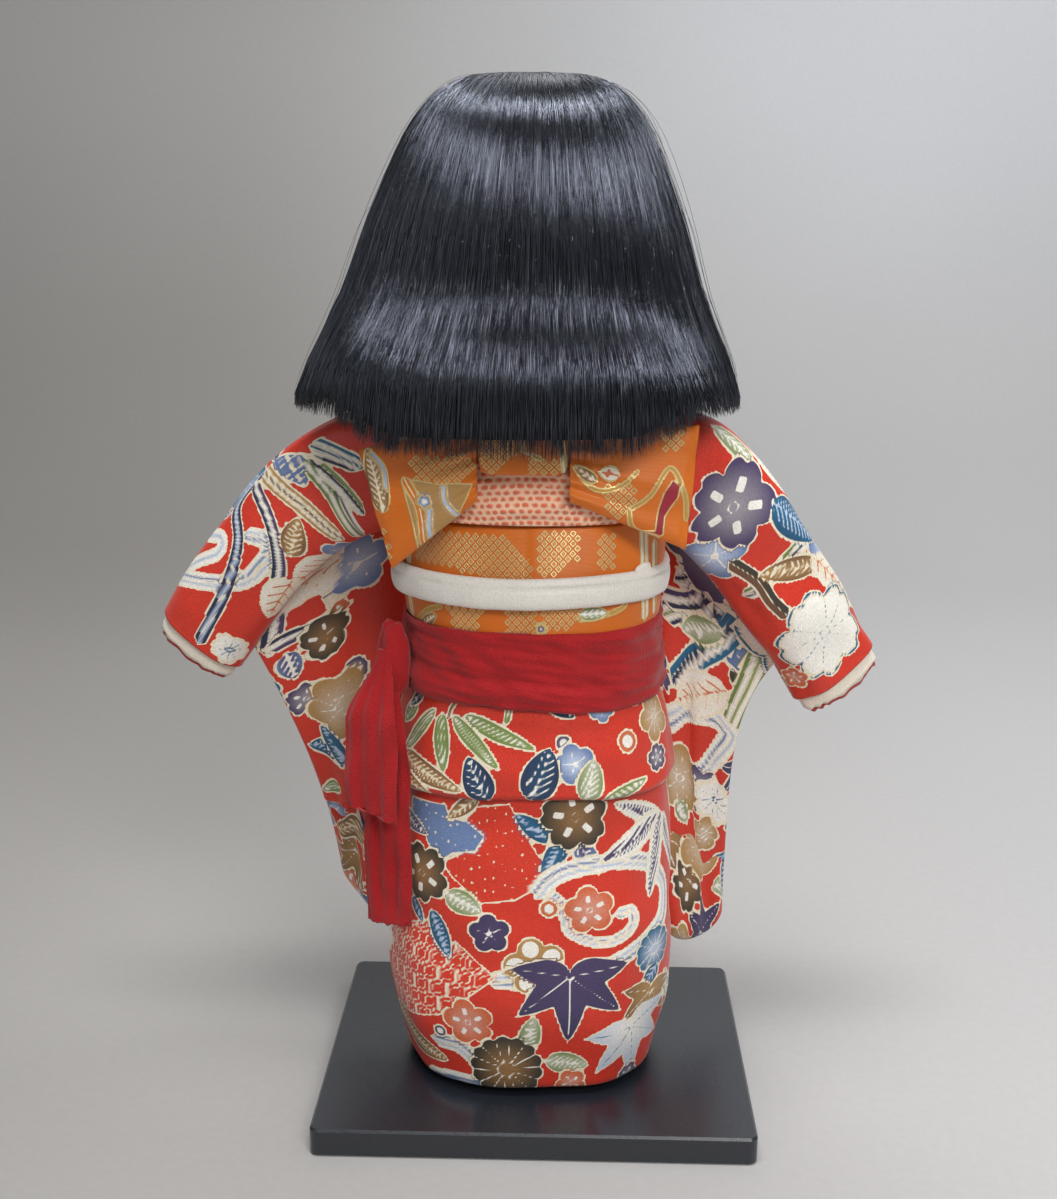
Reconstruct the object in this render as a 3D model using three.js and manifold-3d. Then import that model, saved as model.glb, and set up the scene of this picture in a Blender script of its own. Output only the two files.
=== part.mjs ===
// Ichimatsu doll in a long-sleeved silk kimono, standing on a lacquered board.
// Millimetres, +Z up. The doll faces -Y and its left hand is on the +X side.
// The origin is the centre of the board's underside.
import * as THREE from 'three';
import { mergeVertices } from 'three/addons/utils/BufferGeometryUtils.js';
import Module from 'manifold-3d';

const wasm = await Module();
wasm.setup();

// Clearances
const seat = 0.3; // gap between two pieces that touch
const sewn = 0.4; // gap between two layers of cloth
const overrun = 2; // how far a cutter runs past what it cuts
const weld = 0.004; // after a cut, points closer than this are one point
const join = 0.0001; // and before a cut

// Board, post and screw
const boardWidth = 170;
const boardDepth = 134;
const boardThickness = 11.3;
const boardCorner = 2.6;
const boardEdge = 0.9;
const cornerFacets = 3;
const postRadius = 4;
const postGrip = 26; // length of post inside the body
const postBehind = 9; // behind the middle of the figure
const postWeb = 3.8; // wood left under the post
const screwRadius = 1.6;
const screwHeadRadius = 3.6;
const screwHeadHeight = 2.2;
const screwBite = 13; // length of screw inside the post
const screwSlot = 0.9;
const boreSides = 24;
const screwSides = 12;
const screwHeadSides = 20;

// The figure's place on the board
const figureAside = 2.5;
const figureBehind = 3;

// Heights along the figure, each from the one below it
const hemGap = 3.7; // air under the hem
const skirtLength = 158.3; // hem to sash
const sashHeight = 27;
const obiHeight = 40.5;
const chestHeight = 37; // obi to shoulder
const neckRise = 28; // shoulder to chin
const headHeight = 84;

const hemLevel = hemGap;
const sashLevel = hemLevel + skirtLength;
const obiLevel = sashLevel + sashHeight;
const obiTop = obiLevel + obiHeight;
const shoulderLevel = obiTop + chestHeight;
const chinLevel = shoulderLevel + neckRise;
const crownLevel = chinLevel + headHeight;

// Half widths and half depths of the dressed body, under its cloth
const ovalPower = 2.3; // 2 is an ellipse, more is squarer
const hemHalfWidth = 46.5;
const hemHalfDepth = 36;
const kneeHalfWidth = 54;
const kneeHalfDepth = 41;
const hipHalfWidth = 49.8;
const hipHalfDepth = 39;
const seatHalfWidth = 45;
const seatHalfDepth = 37.5;
const waistHalfWidth = 38.4;
const waistHalfDepth = 35;
const ribHalfWidth = 41;
const ribHalfDepth = 33;
const kneeShare = 0.24;
const hipShare = 0.73;
const seatShare = 0.92;

// Cloth layers, from the body out
const underCloth = 1.2;
const silk = 1.4;
const foldCloth = 2.2;
const sashCloth = 2.6;
const obiCloth = 6;
const wrapOverlap = 67.5; // degrees by which the skirt's left front covers the right
const wrapStep = 42; // degrees over which the cloth climbs onto itself
const skirtFold = 1.1; // depth of the skirt's hanging folds
const foldShares = [0.6, 0.4]; // of that depth, for the broad and the narrow waves
const broadFolds = 5;
const narrowFolds = 9;
const foldCalmReach = 80; // degrees from the front over which the folds fade
const frontHemRise = 9.5; // the hem lifts over the toes
const hemLiftReach = 64; // degrees from the front
const hemSetBack = 3; // the under kimono ends above the outer hem
const waistFoldDrop = 36; // waist fold hangs below the sash
const waistFoldTuck = 1; // and stops short of the obi
const foldRollShare = 0.4; // how far its rounded lower edge draws in

// Torso and limbs
const crotchDrop = 12; // below the sash
const torsoHipHalfWidth = 31;
const torsoHipHalfDepth = 21;
const torsoWaistHalfWidth = 27;
const torsoWaistHalfDepth = 19;
const torsoShoulderHalfWidth = 34;
const torsoShoulderHalfDepth = 16;
const torsoShares = { crotchWide: 0.8, crotchDeep: 0.85, armpit: 0.65, cap: 0.88, capWide: 0.86 };
const armSeatDepth = 1; // flat seats for the arms, cut into the shoulders
const legAside = 14;
const legForward = 5; // in front of the post
const thighRadius = 11.5;
const kneeRadius = 8.6;
const calfRadius = 9.4;
const ankleRadius = 6.6;
const footLength = 38;
const footWidth = 15;
const footHeight = 12;
const footForward = 16; // heel to toe middle, in front of the ankle
const toeSlit = 1;
const sockCloth = 0.9;
const soleThickness = 4.6;
const soleMargin = 1.6;
const soleWaist = 0.9;
const heelShare = 0.86; // width of the sole's heel
const thongRadius = 1;
const thongSteps = 16;
const thighShares = [[0, 0], [0.33, 0.62], [0.67, 1], [1, 0.8]]; // up the thigh, fullness over the knee
const shinShares = [[0.3, 0], [0.68, 1], [1, 0.78]]; // up the shin, fullness over the ankle
const footShares = [
  // along the foot from the heel, of its width and of its height
  [0, 0.55, 0.72], [0.12, 0.86, 1], [0.42, 0.82, 0.94], [0.7, 1, 0.66], [0.9, 0.88, 0.5], [1, 0.5, 0.36],
];
const thongShares = [
  // aside of the foot, along it from the heel, and up its side
  [1, 0.36, 0], [0.92, 0.48, 0.8], [0.42, 0.62, 1], [0, 0.7, 1],
];
const footSquareness = 2.6;
const ankleShares = { cuffFoot: 0.4, cuffTop: 0.5, bottom: 0.2, instep: 0.66 };
const slitShares = { aside: 0.12, foot: 0.18, back: 0.86 };

// Neck, head and face
const neckRadius = 12.5;
const neckPlug = 17; // length of neck inside the torso
const neckSides = 20;
const neckTopShare = 0.3; // how far up the head the neck runs inside it
const headAside = 1.5;
const headBehind = 2;
const cheekHalfWidth = 36;
const headHalfDepth = 36;
const eyeRadius = 5.4;
const eyeAside = 13.5;
const eyeRise = 34; // above the chin
const eyeOpenShare = 0.56;
const eyeDeepShare = 0.8;
const eyeSet = 0.4; // how far the eye stands before the eye hollow
const eyeAcross = 12; // facets round the eye
const eyeUp = 6;
const noseRise = 24.5;
const noseOut = 3.6;
const noseBridge = 2.2; // half width
const noseTip = 1.1;
const mouthRise = 14.5;
const lipOut = 1.5;
const lipHalfWidth = 5;
const hollowDepth = 1.3;
const hollowHalfWidth = 7;
const cheekOut = 1;
const cheekAside = 16;
const cheekRise = 19.5;
const cheekReach = 9;
const earHeight = 13;
const earDepth = 3.2;
const earShares = { wide: 0.32, rise: 0.86 };
const earAcross = 8;
const earUp = 5;
const headSquareness = 2.15;
const faceCrowding = 0.6; // how much closer the facets lie on the face

// Hair
const hairGap = 0.8;
const hairDrop = 22; // hair below the chin at the sides
const hairDropBack = 34;
const hairRise = 6; // over the crown
const hairHemHalfWidth = 78;
const hairHemHalfDepth = 55;
const hairHemBehind = 9;
const hairLean = 4.5; // the hem's middle towards the left shoulder
const hairLock = 8.5; // thickness of the falling hair
const hairSquareness = 2.2;
const hairBackReach = 25; // degrees from the back that hang lowest
const hairSideReach = 55; // degrees from the back where the sides' length begins
const skullFitShares = [0.3, 0.56]; // up the head, where the hair leaves the skull
const fringeRise = 50; // above the chin
const faceHalfWidth = 31;
const faceCut = 12; // the face opening's back, in front of the head's middle

// Sleeves and arms
const seamHalfHeight = 23;
const seamHalfDepth = 12;
const elbowHalfHeight = 21;
const elbowHalfDepth = 12.5;
const cuffHalfHeight = 19.4;
const cuffHalfDepth = 11;
const sleeveCloth = 1.5;
const liningCloth = 0.9;
const liningLength = 15;
const liningPeep = 1.2; // lining that shows past the cuff
const liningRows = 3;
const upperArmRadius = 7.4;
const elbowRadius = 6.4;
const wristRadius = 5.2;
const handLength = 25;
const palmWidth = 12.5;
const palmThickness = 6.4;
const fingerRadius = 1.75;
const sleeveFold = 1.7; // depth of the hanging part's folds
const bagReachShare = 0.84; // the hanging part's reach along the sleeve
const bagSlimShare = 0.3; // how much thinner it is where it leaves the tube
const bagTopShares = { deep: 0.6, high: 0.3 }; // its inner corner at the seam
const bagTurn = 22; // degrees by which its broad side looks back
const bagFoldCount = 2.5;
const bagRows = 7;
const tubeRows = 7;
const sleeveSquareness = 2.6;
const panelSquareness = 2.5;
const elbowShare = 0.38; // places along the sleeve
const wristShare = 0.68;
const knuckleShare = 0.73;
const palmEndShare = 0.81;
const armSettleShare = 0.72; // how far the arm sinks to the sleeve's middle at the cuff
const upperArmShares = [0, 0.12, 0.26];
const wristFlatShare = 0.85;
const knuckleWideShare = 0.88;
const palmLengthShare = 0.5;
const fingerShares = [[-0.35, 0.82], [-0.12, 1], [0.12, 0.96], [0.35, 0.74]]; // aside and length
const fingertipShares = [[0, 1], [0.55, 0.95], [0.88, 0.72], [1, 0.3]]; // along and thickness
const thumbShares = { aside: 0.36, spread: 0.3, length: 0.42, thick: 1.15 };
const fingerSides = 6;
const sleeves = {
  left: {
    side: 1,
    elbowOut: 38, elbowDown: 2, elbowFront: 9,
    cuffOut: 84, cuffDown: 74.5, cuffFront: 28,
    bagInOut: 8.5, bagInFront: 11, bagInDrop: 208.5,
    bagOutOut: 32.5, bagOutFront: 44, bagOutDrop: 187.5,
    bagThickness: 9, bagFlare: 1.6,
  },
  right: {
    side: -1,
    elbowOut: 20, elbowDown: 4, elbowFront: 6,
    cuffOut: 70, cuffDown: 85, cuffFront: 28,
    bagInOut: 14.5, bagInFront: 8, bagInDrop: 210,
    bagOutOut: 30, bagOutFront: 40, bagOutDrop: 208,
    bagThickness: 8, bagFlare: 6,
  },
};

// Bodice and collars
const bodiceHalfWidth = 51.2;
const chestHalfDepth = 34.8;
const yokeHalfDepth = 16.7;
const neckHoleHalfWidth = 19;
const neckHoleHalfDepth = 15.5;
const yokeRise = 4.5; // neck hole above the shoulder
const armholeRoom = 2.8; // round the upper arm
const collarWidth = 11;
const collarCloth = 1.8;
const underCollarPeep = 3; // under collar past the kimono collar
const underCollarCloth = 1;
const underCollarOut = 1.5; // from the bodice
const collarOut = 4.7;
const collarFoot = 10.8; // above the obi in front
const collarEnd = 13; // degrees past the front middle where each end lies
const collarDip = 78; // degrees from the front over which it drops
const collarBend = 0.7;
const collarLineShare = 0.55; // of its width, below the neck hole
const collarLap = 30; // degrees over which its left end climbs onto the right
const collarSteps = 28;
const collarRows = 6;
// Rows above the obi: up the chest, of the half width and of the chest's half depth
const bodiceShares = [
  [0.3, 0.98, 1], [0.52, 1, 0.95], [0.75, 1, 0.776], [0.9, 0.97, 0.632], [1, 0.78, 0.489],
];
const yokeShares = { rise: 0.7, in: 0.6 }; // the row below the neck hole

// Obi, scarf, cord, sash ends and bow
const obiCrown = 0.8;
const scarfHeight = 22;
const scarfFrontHeight = 9;
const scarfCloth = 2.4;
const scarfRoundShare = 0.5;
const scarfRowShares = [0, 0.25, 0.75, 1];
const scarfTallReach = 40; // degrees from the back that are tall
const scarfLowReach = 80; // degrees from the back where it is low
const scarfFall = 26; // degrees over which it comes off the pillow
const pillowSlack = 8; // degrees of it past the pillow's ends
const pillowLength = 44;
const pillowHeight = 17;
const pillowThickness = 6;
const pillowSpanShare = 0.96;
const pillowShares = [[-1, 0.3], [-0.86, 0.75], [-0.5, 1], [0, 1], [0.5, 1], [0.86, 0.75], [1, 0.3]];
const cordHeight = 10.4;
const cordThickness = 5;
const cordLevel = 16.5; // middle of the cord above the obi's lower edge
const cordKnotWidth = 17;
const cordEndLength = 11;
const cordEndAngle = 142; // the tucked end, behind the right side
const cordSides = 6;
const cordSquareness = 2.6;
const cordKnotShares = [[-1, 0.67], [-0.7, 1.12], [0, 1.23], [0.7, 1.12], [1, 0.67]];
const cordKnotOut = 1.7;
const cordEndShares = [[-0.5, 0.42], [0, 0.5], [0.5, 0.42]];
const cordEndRiseShares = { rest: 0.52, lift: 0.1 };
const cordEndStart = 1.5; // knot half widths from the middle to a front end
const sashKnotWidth = 15;
const sashKnotHeight = 17;
const sashKnotDepth = 12;
const sashKnotAngle = 24; // degrees behind the left side
const sashKnotOver = 0.6; // over the sash's gathers
const sashKnotShares = [[-1, 0.45], [-0.7, 0.86], [-0.2, 1], [0.1, 0.9], [0.4, 1], [0.8, 0.8], [1, 0.45]];
const sashGather = 0.5; // depth of its gathers
// Up the band, of that depth
const sashGatherShares = [[0, 0.4], [0.33, -1], [0.5, 1], [0.67, -1], [1, 0.4]];
const sashEndThickness = 3.2;
const sashEndFold = 1;
const longEndWidth = 20;
const longEndLength = 111;
const longEndAside = 3;
const longEndBehind = 5;
const shortEndWidth = 22;
const shortEndLength = 63;
const shortEndAside = 8;
const shortEndBehind = 11;
const endGatherShare = 0.5; // width of an end where it leaves the knot
const endOpenShare = 0.5; // of its length, over which it opens out
const endTurn = -23; // degrees, the way its width runs
const endFoldCount = 3;
const endRowShares = [0, 0.12, 0.35, 0.6, 0.82, 1];
const bowKnotWidth = 31.5;
const bowKnotHeight = 17.5;
const bowKnotThickness = 6;
const bowRise = 37; // top of the knot above the obi
const bowAside = 2.4;
const bowThickness = 6;
const bowCrease = 1;
const bowCreaseCount = 2;
const bowSquareness = 2.6;
const bowKnotSquareness = 4;
const bowKnotSides = 20;
// Up the knot, of its width and of its thickness
const bowKnotShares = [[0, 0.8, 0.7], [0.08, 0.94, 1], [0.5, 1, 1.12], [0.92, 0.94, 1], [1, 0.8, 0.7]];
const bowKnotOut = 0.36;
const wingRowShares = [0, 0.14, 0.4, 0.7, 0.92, 1];
const wingThickShares = { root: 0.8, swell: 0.2, tip: 0.55 };
const wings = {
  left: {
    side: 1,
    rootLow: 10, rootHigh: 36, tipLow: -16.5, tipHigh: 26.5,
    lowOut: 31, tipOut: 42, sink: 8,
  },
  right: {
    side: -1,
    rootLow: 10, rootHigh: 36, tipLow: -9, tipHigh: 35.5,
    lowOut: 41.5, tipOut: 45, sink: 10.8,
  },
};

// Fan
const fanLength = 38;
const fanTopWidth = 9;
const fanFootWidth = 6.4;
const fanThickness = 2.6;
const fanAside = 30;
const fanTuck = 24; // length inside the obi
const fanPlay = 0.5;
const fanPleats = 5;
const fanDepthShare = 0.5; // place of its pocket in the obi's thickness
const pleatShare = 0.3; // depth of a pleat's notch

// Numbers of facets
const bodySides = 32;
const limbSides = 10;
const wrapSteps = 38;
const panelSides = 22;
const endSides = 20;
const obiRows = 4;
const hairSides = 30;
const faceSides = 28;

const degrees = Math.PI / 180;
const front = -90 * degrees;
const turn = 2 * Math.PI;

function point(x, y, z) {
  return new THREE.Vector3(x, y, z);
}

function geometryOf(points, faces) {
  const geometry = new THREE.BufferGeometry();
  const places = new Float32Array(points.flatMap((p) => p.toArray()));
  geometry.setAttribute('position', new THREE.BufferAttribute(places, 3));
  let volume = 0;
  for (const [a, b, c] of faces) {
    volume += points[a].dot(points[b].clone().cross(points[c]));
  }
  const outward = volume > 0 ? faces : faces.map(([a, b, c]) => [a, c, b]);
  geometry.setIndex(outward.flat());
  return geometry;
}

// A solid through closed sections, with a flat fan on each end.
function loft(sections) {
  const sides = sections[0].length;
  const points = sections.flat();
  const faces = [];
  for (let row = 0; row + 1 < sections.length; row += 1) {
    for (let side = 0; side < sides; side += 1) {
      const next = (side + 1) % sides;
      const [a, b] = [row * sides + side, row * sides + next];
      faces.push([a, b, b + sides], [a, b + sides, a + sides]);
    }
  }
  const last = (sections.length - 1) * sides;
  const foot = points.length;
  points.push(middle(sections[0]));
  const head = points.length;
  points.push(middle(sections[sections.length - 1]));
  for (let side = 0; side < sides; side += 1) {
    const next = (side + 1) % sides;
    faces.push([foot, next, side], [head, last + side, last + next]);
  }
  return geometryOf(points, faces);
}

function middle(points) {
  const sum = points.reduce((total, p) => total.add(p), point(0, 0, 0));
  return sum.divideScalar(points.length);
}

// A solid ring through closed sections, the last joined to the first
function hoop(sections) {
  const sides = sections[0].length;
  const rows = sections.length;
  const faces = [];
  for (let row = 0; row < rows; row += 1) {
    for (let side = 0; side < sides; side += 1) {
      const next = (side + 1) % sides;
      const ahead = (row + 1) % rows;
      const [a, b] = [row * sides + side, row * sides + next];
      const [c, d] = [ahead * sides + next, ahead * sides + side];
      faces.push([a, b, c], [a, c, d]);
    }
  }
  return geometryOf(sections.flat(), faces);
}

// Cloth with an outer and an inner face, each a grid of rows of points. A closed
// cloth runs all round, and an open one has its two side edges closed.
function cloth(outer, inner, closed) {
  const rows = outer.length;
  const columns = outer[0].length;
  const points = [...outer.flat(), ...inner.flat()];
  const within = rows * columns;
  const at = (row, column) => row * columns + (column % columns);
  const faces = [];
  const quad = (a, b, c, d) => faces.push([a, b, c], [a, c, d]);
  const spans = closed ? columns : columns - 1;
  for (let column = 0; column < spans; column += 1) {
    for (let row = 0; row + 1 < rows; row += 1) {
      const [a, b] = [at(row, column), at(row, column + 1)];
      const [c, d] = [at(row + 1, column + 1), at(row + 1, column)];
      quad(a, b, c, d);
      quad(within + b, within + a, within + d, within + c);
    }
    const [a, b] = [at(0, column), at(0, column + 1)];
    quad(b, a, within + a, within + b);
    const [c, d] = [at(rows - 1, column), at(rows - 1, column + 1)];
    quad(c, d, within + d, within + c);
  }
  if (!closed) {
    for (let row = 0; row + 1 < rows; row += 1) {
      const [a, d] = [at(row, 0), at(row + 1, 0)];
      quad(a, d, within + d, within + a);
      const [b, c] = [at(row, columns - 1), at(row + 1, columns - 1)];
      quad(c, b, within + b, within + c);
    }
  }
  return geometryOf(points, faces);
}

function solidOf(geometry) {
  const bare = geometry.clone();
  bare.deleteAttribute('normal');
  bare.deleteAttribute('uv');
  const merged = mergeVertices(bare, join);
  return new wasm.Manifold(new wasm.Mesh({
    numProp: 3,
    vertProperties: new Float32Array(merged.attributes.position.array),
    triVerts: new Uint32Array(merged.index.array),
  }));
}

// The surface of a solid, with the points that a cut left almost in one place welded
function geometryFrom(solid) {
  const mesh = solid.getMesh();
  const geometry = new THREE.BufferGeometry();
  const places = new Float32Array(mesh.vertProperties);
  geometry.setAttribute('position', new THREE.BufferAttribute(places, 3));
  geometry.setIndex([...mesh.triVerts]);
  const welded = mergeVertices(geometry, weld);
  const corners = [...welded.index.array];
  const kept = [];
  for (let i = 0; i < corners.length; i += 3) {
    const [a, b, c] = corners.slice(i, i + 3);
    if (a !== b && b !== c && c !== a) kept.push(a, b, c);
  }
  welded.setIndex(kept);
  return welded;
}

function joined(first, ...others) {
  return geometryFrom(others.reduce((whole, other) => whole.add(solidOf(other)), solidOf(first)));
}

function cut(first, ...others) {
  return geometryFrom(others.reduce((rest, other) => rest.subtract(solidOf(other)), solidOf(first)));
}

function common(first, second) {
  return geometryFrom(solidOf(first).intersect(solidOf(second)));
}

// A box between two corners
function block(low, high) {
  const size = high.clone().sub(low);
  const box = new THREE.BoxGeometry(size.x, size.y, size.z);
  return box.translate((low.x + high.x) / 2, (low.y + high.y) / 2, (low.z + high.z) / 2);
}

function rod(radius, bottom, top, x, y, sides = boreSides) {
  const cylinder = new THREE.CylinderGeometry(radius, radius, top - bottom, sides);
  return cylinder.rotateX(90 * degrees).translate(x, y, (bottom + top) / 2);
}

// A smooth curve through rows of numbers, the first of each row being its level.
function follow(rows, level) {
  const last = rows.length - 1;
  if (level <= rows[0][0]) return rows[0].slice(1);
  if (level >= rows[last][0]) return rows[last].slice(1);
  const i = rows.findIndex((row, k) => k < last && level < rows[k + 1][0]);
  const slope = (k, column) => {
    const [before, after] = [rows[Math.max(k - 1, 0)], rows[Math.min(k + 1, last)]];
    return (after[column] - before[column]) / (after[0] - before[0]);
  };
  const span = rows[i + 1][0] - rows[i][0];
  const t = (level - rows[i][0]) / span;
  const rise = t * t * (3 - 2 * t);
  const leave = t * (1 - t) * (1 - t) * span;
  const arrive = t * t * (t - 1) * span;
  return rows[i].slice(1).map((value, k) => value * (1 - rise) + rows[i + 1][k + 1] * rise
    + slope(i, k + 1) * leave + slope(i + 1, k + 1) * arrive);
}

function smooth(from, to, value) {
  const t = Math.min(Math.max((value - from) / (to - from), 0), 1);
  return t * t * (3 - 2 * t);
}

// A point on an oval section, at an angle counted from +X towards +Y.
function onOval(halfWidth, halfDepth, angle, level, power = ovalPower) {
  const [c, s] = [Math.cos(angle), Math.sin(angle)];
  const bend = 2 / power;
  const x = halfWidth * Math.sign(c) * Math.abs(c) ** bend;
  const y = halfDepth * Math.sign(s) * Math.abs(s) ** bend;
  return point(x, y, level);
}

function oval(halfWidth, halfDepth, level, sides, x = 0, y = 0, power = ovalPower) {
  return Array.from({ length: sides }, (_, i) => {
    return onOval(halfWidth, halfDepth, (i / sides) * turn, level, power).add(point(x, y, 0));
  });
}

function levels(from, to, count) {
  return Array.from({ length: count + 1 }, (_, i) => from + ((to - from) * i) / count);
}

// A straight line through rows of numbers, the first of each row being its level
function straight(rows, level) {
  const last = rows.length - 1;
  const i = Math.min(Math.max(rows.findIndex((row) => level < row[0]) - 1, 0), last - 1);
  const k = level >= rows[last][0] ? last - 1 : i;
  const t = Math.min(Math.max((level - rows[k][0]) / (rows[k + 1][0] - rows[k][0]), 0), 1);
  return rows[k].slice(1).map((value, column) => value + (rows[k + 1][column + 1] - value) * t);
}

// How close an angle is to the front of the figure, 1 there and 0 past a reach.
function towardsFront(angle, reach) {
  const off = Math.abs(Math.atan2(Math.sin(angle - front), Math.cos(angle - front)));
  return 1 - smooth(0, reach, off);
}

// Sections square to a path. Each station has its place, and its half sizes
// along the up direction that it is given and across it.
function limb(stations, up, sides, power = 2) {
  return stations.map(({ at, high, deep, heading }, i) => {
    const before = stations[Math.max(i - 1, 0)].at;
    const after = stations[Math.min(i + 1, stations.length - 1)].at;
    const along = heading ?? after.clone().sub(before).normalize();
    const across = along.clone().cross(up).normalize();
    const raised = across.clone().cross(along).normalize();
    return Array.from({ length: sides }, (_, k) => {
      const p = onOval(deep, high, (k / sides) * turn, 0, power);
      return at.clone().addScaledVector(across, p.x).addScaledVector(raised, p.y);
    });
  });
}

// The dressed body under its cloth
const bodyOutline = [
  [hemLevel, hemHalfWidth, hemHalfDepth],
  [hemLevel + skirtLength * kneeShare, kneeHalfWidth, kneeHalfDepth],
  [hemLevel + skirtLength * hipShare, hipHalfWidth, hipHalfDepth],
  [hemLevel + skirtLength * seatShare, seatHalfWidth, seatHalfDepth],
  [sashLevel + sashHeight / 2, waistHalfWidth, waistHalfDepth],
  [obiLevel + obiHeight / 2, (waistHalfWidth + ribHalfWidth) / 2, (waistHalfDepth + ribHalfDepth) / 2],
  [obiTop, ribHalfWidth, ribHalfDepth],
];

// Every layer of cloth has its rows of points on these levels, so that all lie alike
const kneeLevelOfSkirt = hemLevel + skirtLength * kneeShare;
const clothLevels = [
  kneeLevelOfSkirt,
  hemLevel + skirtLength * (kneeShare + hipShare) / 2,
  hemLevel + skirtLength * hipShare,
  hemLevel + skirtLength * seatShare,
  sashLevel,
  sashLevel + sashHeight / 2,
  obiLevel - seat,
  obiLevel + obiHeight / 2,
  obiTop,
];

function rowsBetween(low, high) {
  const inside = clothLevels.filter((level) => level > low + overrun && level < high - overrun);
  return [low, ...inside, high];
}

const underOut = seat + underCloth;
const silkIn = underOut + sewn;
const silkOut = silkIn + silk;
const climb = silk + sewn; // the overlap's step out
const foldIn = silkOut + climb + sewn;
const sashIn = foldIn + foldCloth + sewn;
const obiIn = silkOut + sewn;

function onBody(angle, level, out) {
  const [halfWidth, halfDepth] = follow(bodyOutline, level);
  return onOval(halfWidth + out, halfDepth + out, angle, level);
}

// The torso's own outline
const crotchLevel = sashLevel - crotchDrop;
const torsoOutline = [
  [crotchLevel, torsoHipHalfWidth * torsoShares.crotchWide, torsoHipHalfDepth * torsoShares.crotchDeep],
  [crotchLevel + crotchDrop, torsoHipHalfWidth, torsoHipHalfDepth],
  [obiLevel, torsoWaistHalfWidth, torsoWaistHalfDepth],
  [obiTop, (torsoWaistHalfWidth + torsoShoulderHalfWidth) / 2, torsoWaistHalfDepth],
  [obiTop + chestHeight * torsoShares.armpit, torsoShoulderHalfWidth, torsoShoulderHalfDepth],
  [
    obiTop + chestHeight * torsoShares.cap,
    torsoShoulderHalfWidth * torsoShares.capWide,
    torsoShoulderHalfDepth,
  ],
  [shoulderLevel, neckRadius + 3 * sewn + silk, neckRadius + silk],
];

// The bodice's outline, from under the obi to the neck hole
const bodiceOutline = [
  [obiLevel + seat, ...bodiceAt(obiLevel + seat)],
  [obiLevel + obiHeight / 2, ...bodiceAt(obiLevel + obiHeight / 2)],
  [obiTop, ...bodiceAt(obiTop)],
  ...bodiceShares.map(([rise, wide, deep]) => {
    return [obiTop + chestHeight * rise, bodiceHalfWidth * wide, chestHalfDepth * deep];
  }),
  [
    shoulderLevel + yokeRise * yokeShares.rise,
    bodiceHalfWidth + (neckHoleHalfWidth - bodiceHalfWidth) * yokeShares.in,
    yokeHalfDepth,
  ],
  [shoulderLevel + yokeRise, neckHoleHalfWidth, neckHoleHalfDepth],
];

function bodiceAt(level) {
  return follow(bodyOutline, level).map((half) => half + silkOut);
}

// Distance run along the bodice's side, and its outward direction there
const bareBodice = bodiceOutline.filter(([level]) => level >= obiTop);
const bodiceRuns = [0];
for (let i = 1; i < bareBodice.length; i += 1) {
  const [a, b] = [bareBodice[i - 1], bareBodice[i]];
  bodiceRuns.push(bodiceRuns[i - 1] + Math.hypot(b[0] - a[0], b[1] - a[1]));
}
const bodiceRun = bodiceRuns[bodiceRuns.length - 1];
const bodiceByRun = bodiceRuns.map((run, i) => {
  const before = bareBodice[Math.max(i - 1, 0)];
  const after = bareBodice[Math.min(i + 1, bareBodice.length - 1)];
  const length = Math.hypot(after[0] - before[0], after[1] - before[1]);
  return [run, ...bareBodice[i], (after[0] - before[0]) / length, (before[1] - after[1]) / length];
});

// A point that far along the bodice and away from it; past the neck hole it stands up
function onBodice(angle, run, away) {
  const [level, halfWidth, halfDepth, out, up] = straight(bodiceByRun, run);
  const past = Math.max(run - bodiceRun, 0);
  const wide = Math.max(halfWidth + away * out, neckHoleHalfWidth + away);
  const deep = Math.max(halfDepth + away * out, neckHoleHalfDepth + away);
  return onOval(wide, deep, angle, level + past + away * up);
}

function paint(hex, roughness, metalness = 0) {
  return new THREE.MeshStandardMaterial({ color: hex, roughness, metalness, side: THREE.FrontSide });
}

const finishes = {
  lacquer: paint(0x121315, 0.22),
  wood: paint(0xb98b58, 0.7),
  steel: paint(0xa8a8a8, 0.35, 1),
  composition: paint(0xe8d8c4, 0.8),
  cotton: paint(0xf3efe6, 0.95),
  gofun: paint(0xf7ece2, 0.45),
  glass: paint(0x15100d, 0.05),
  hair: paint(0x0c0d10, 0.4),
  redSilk: paint(0xd8371f, 0.75),
  underSilk: paint(0xb02018, 0.8),
  whiteSilk: paint(0xeee8dc, 0.8),
  liningSilk: paint(0xe9dfce, 0.8),
  brocade: paint(0xe07a14, 0.6),
  dottedSilk: paint(0xe8b8a8, 0.8),
  cord: paint(0xe8e4dc, 0.85),
  crepe: paint(0xa81a1e, 0.85),
  tabi: paint(0xf1eee8, 0.9),
  zori: paint(0xc8321e, 0.55),
  fan: paint(0xd9b24c, 0.4),
};

const group = new THREE.Group();
const figure = new THREE.Group();
figure.position.set(figureAside, figureBehind, boardThickness);
group.add(figure);

function add(parent, name, geometry, material) {
  const mesh = new THREE.Mesh(geometry, material);
  mesh.name = name;
  parent.add(mesh);
  return mesh;
}

// Board: a rounded plank with eased edges, bored for the post and its screw
const postX = figureAside;
const postY = figureBehind + postBehind;
const postFoot = postWeb + seat;
const postTop = boardThickness + crotchLevel + postGrip;

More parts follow.
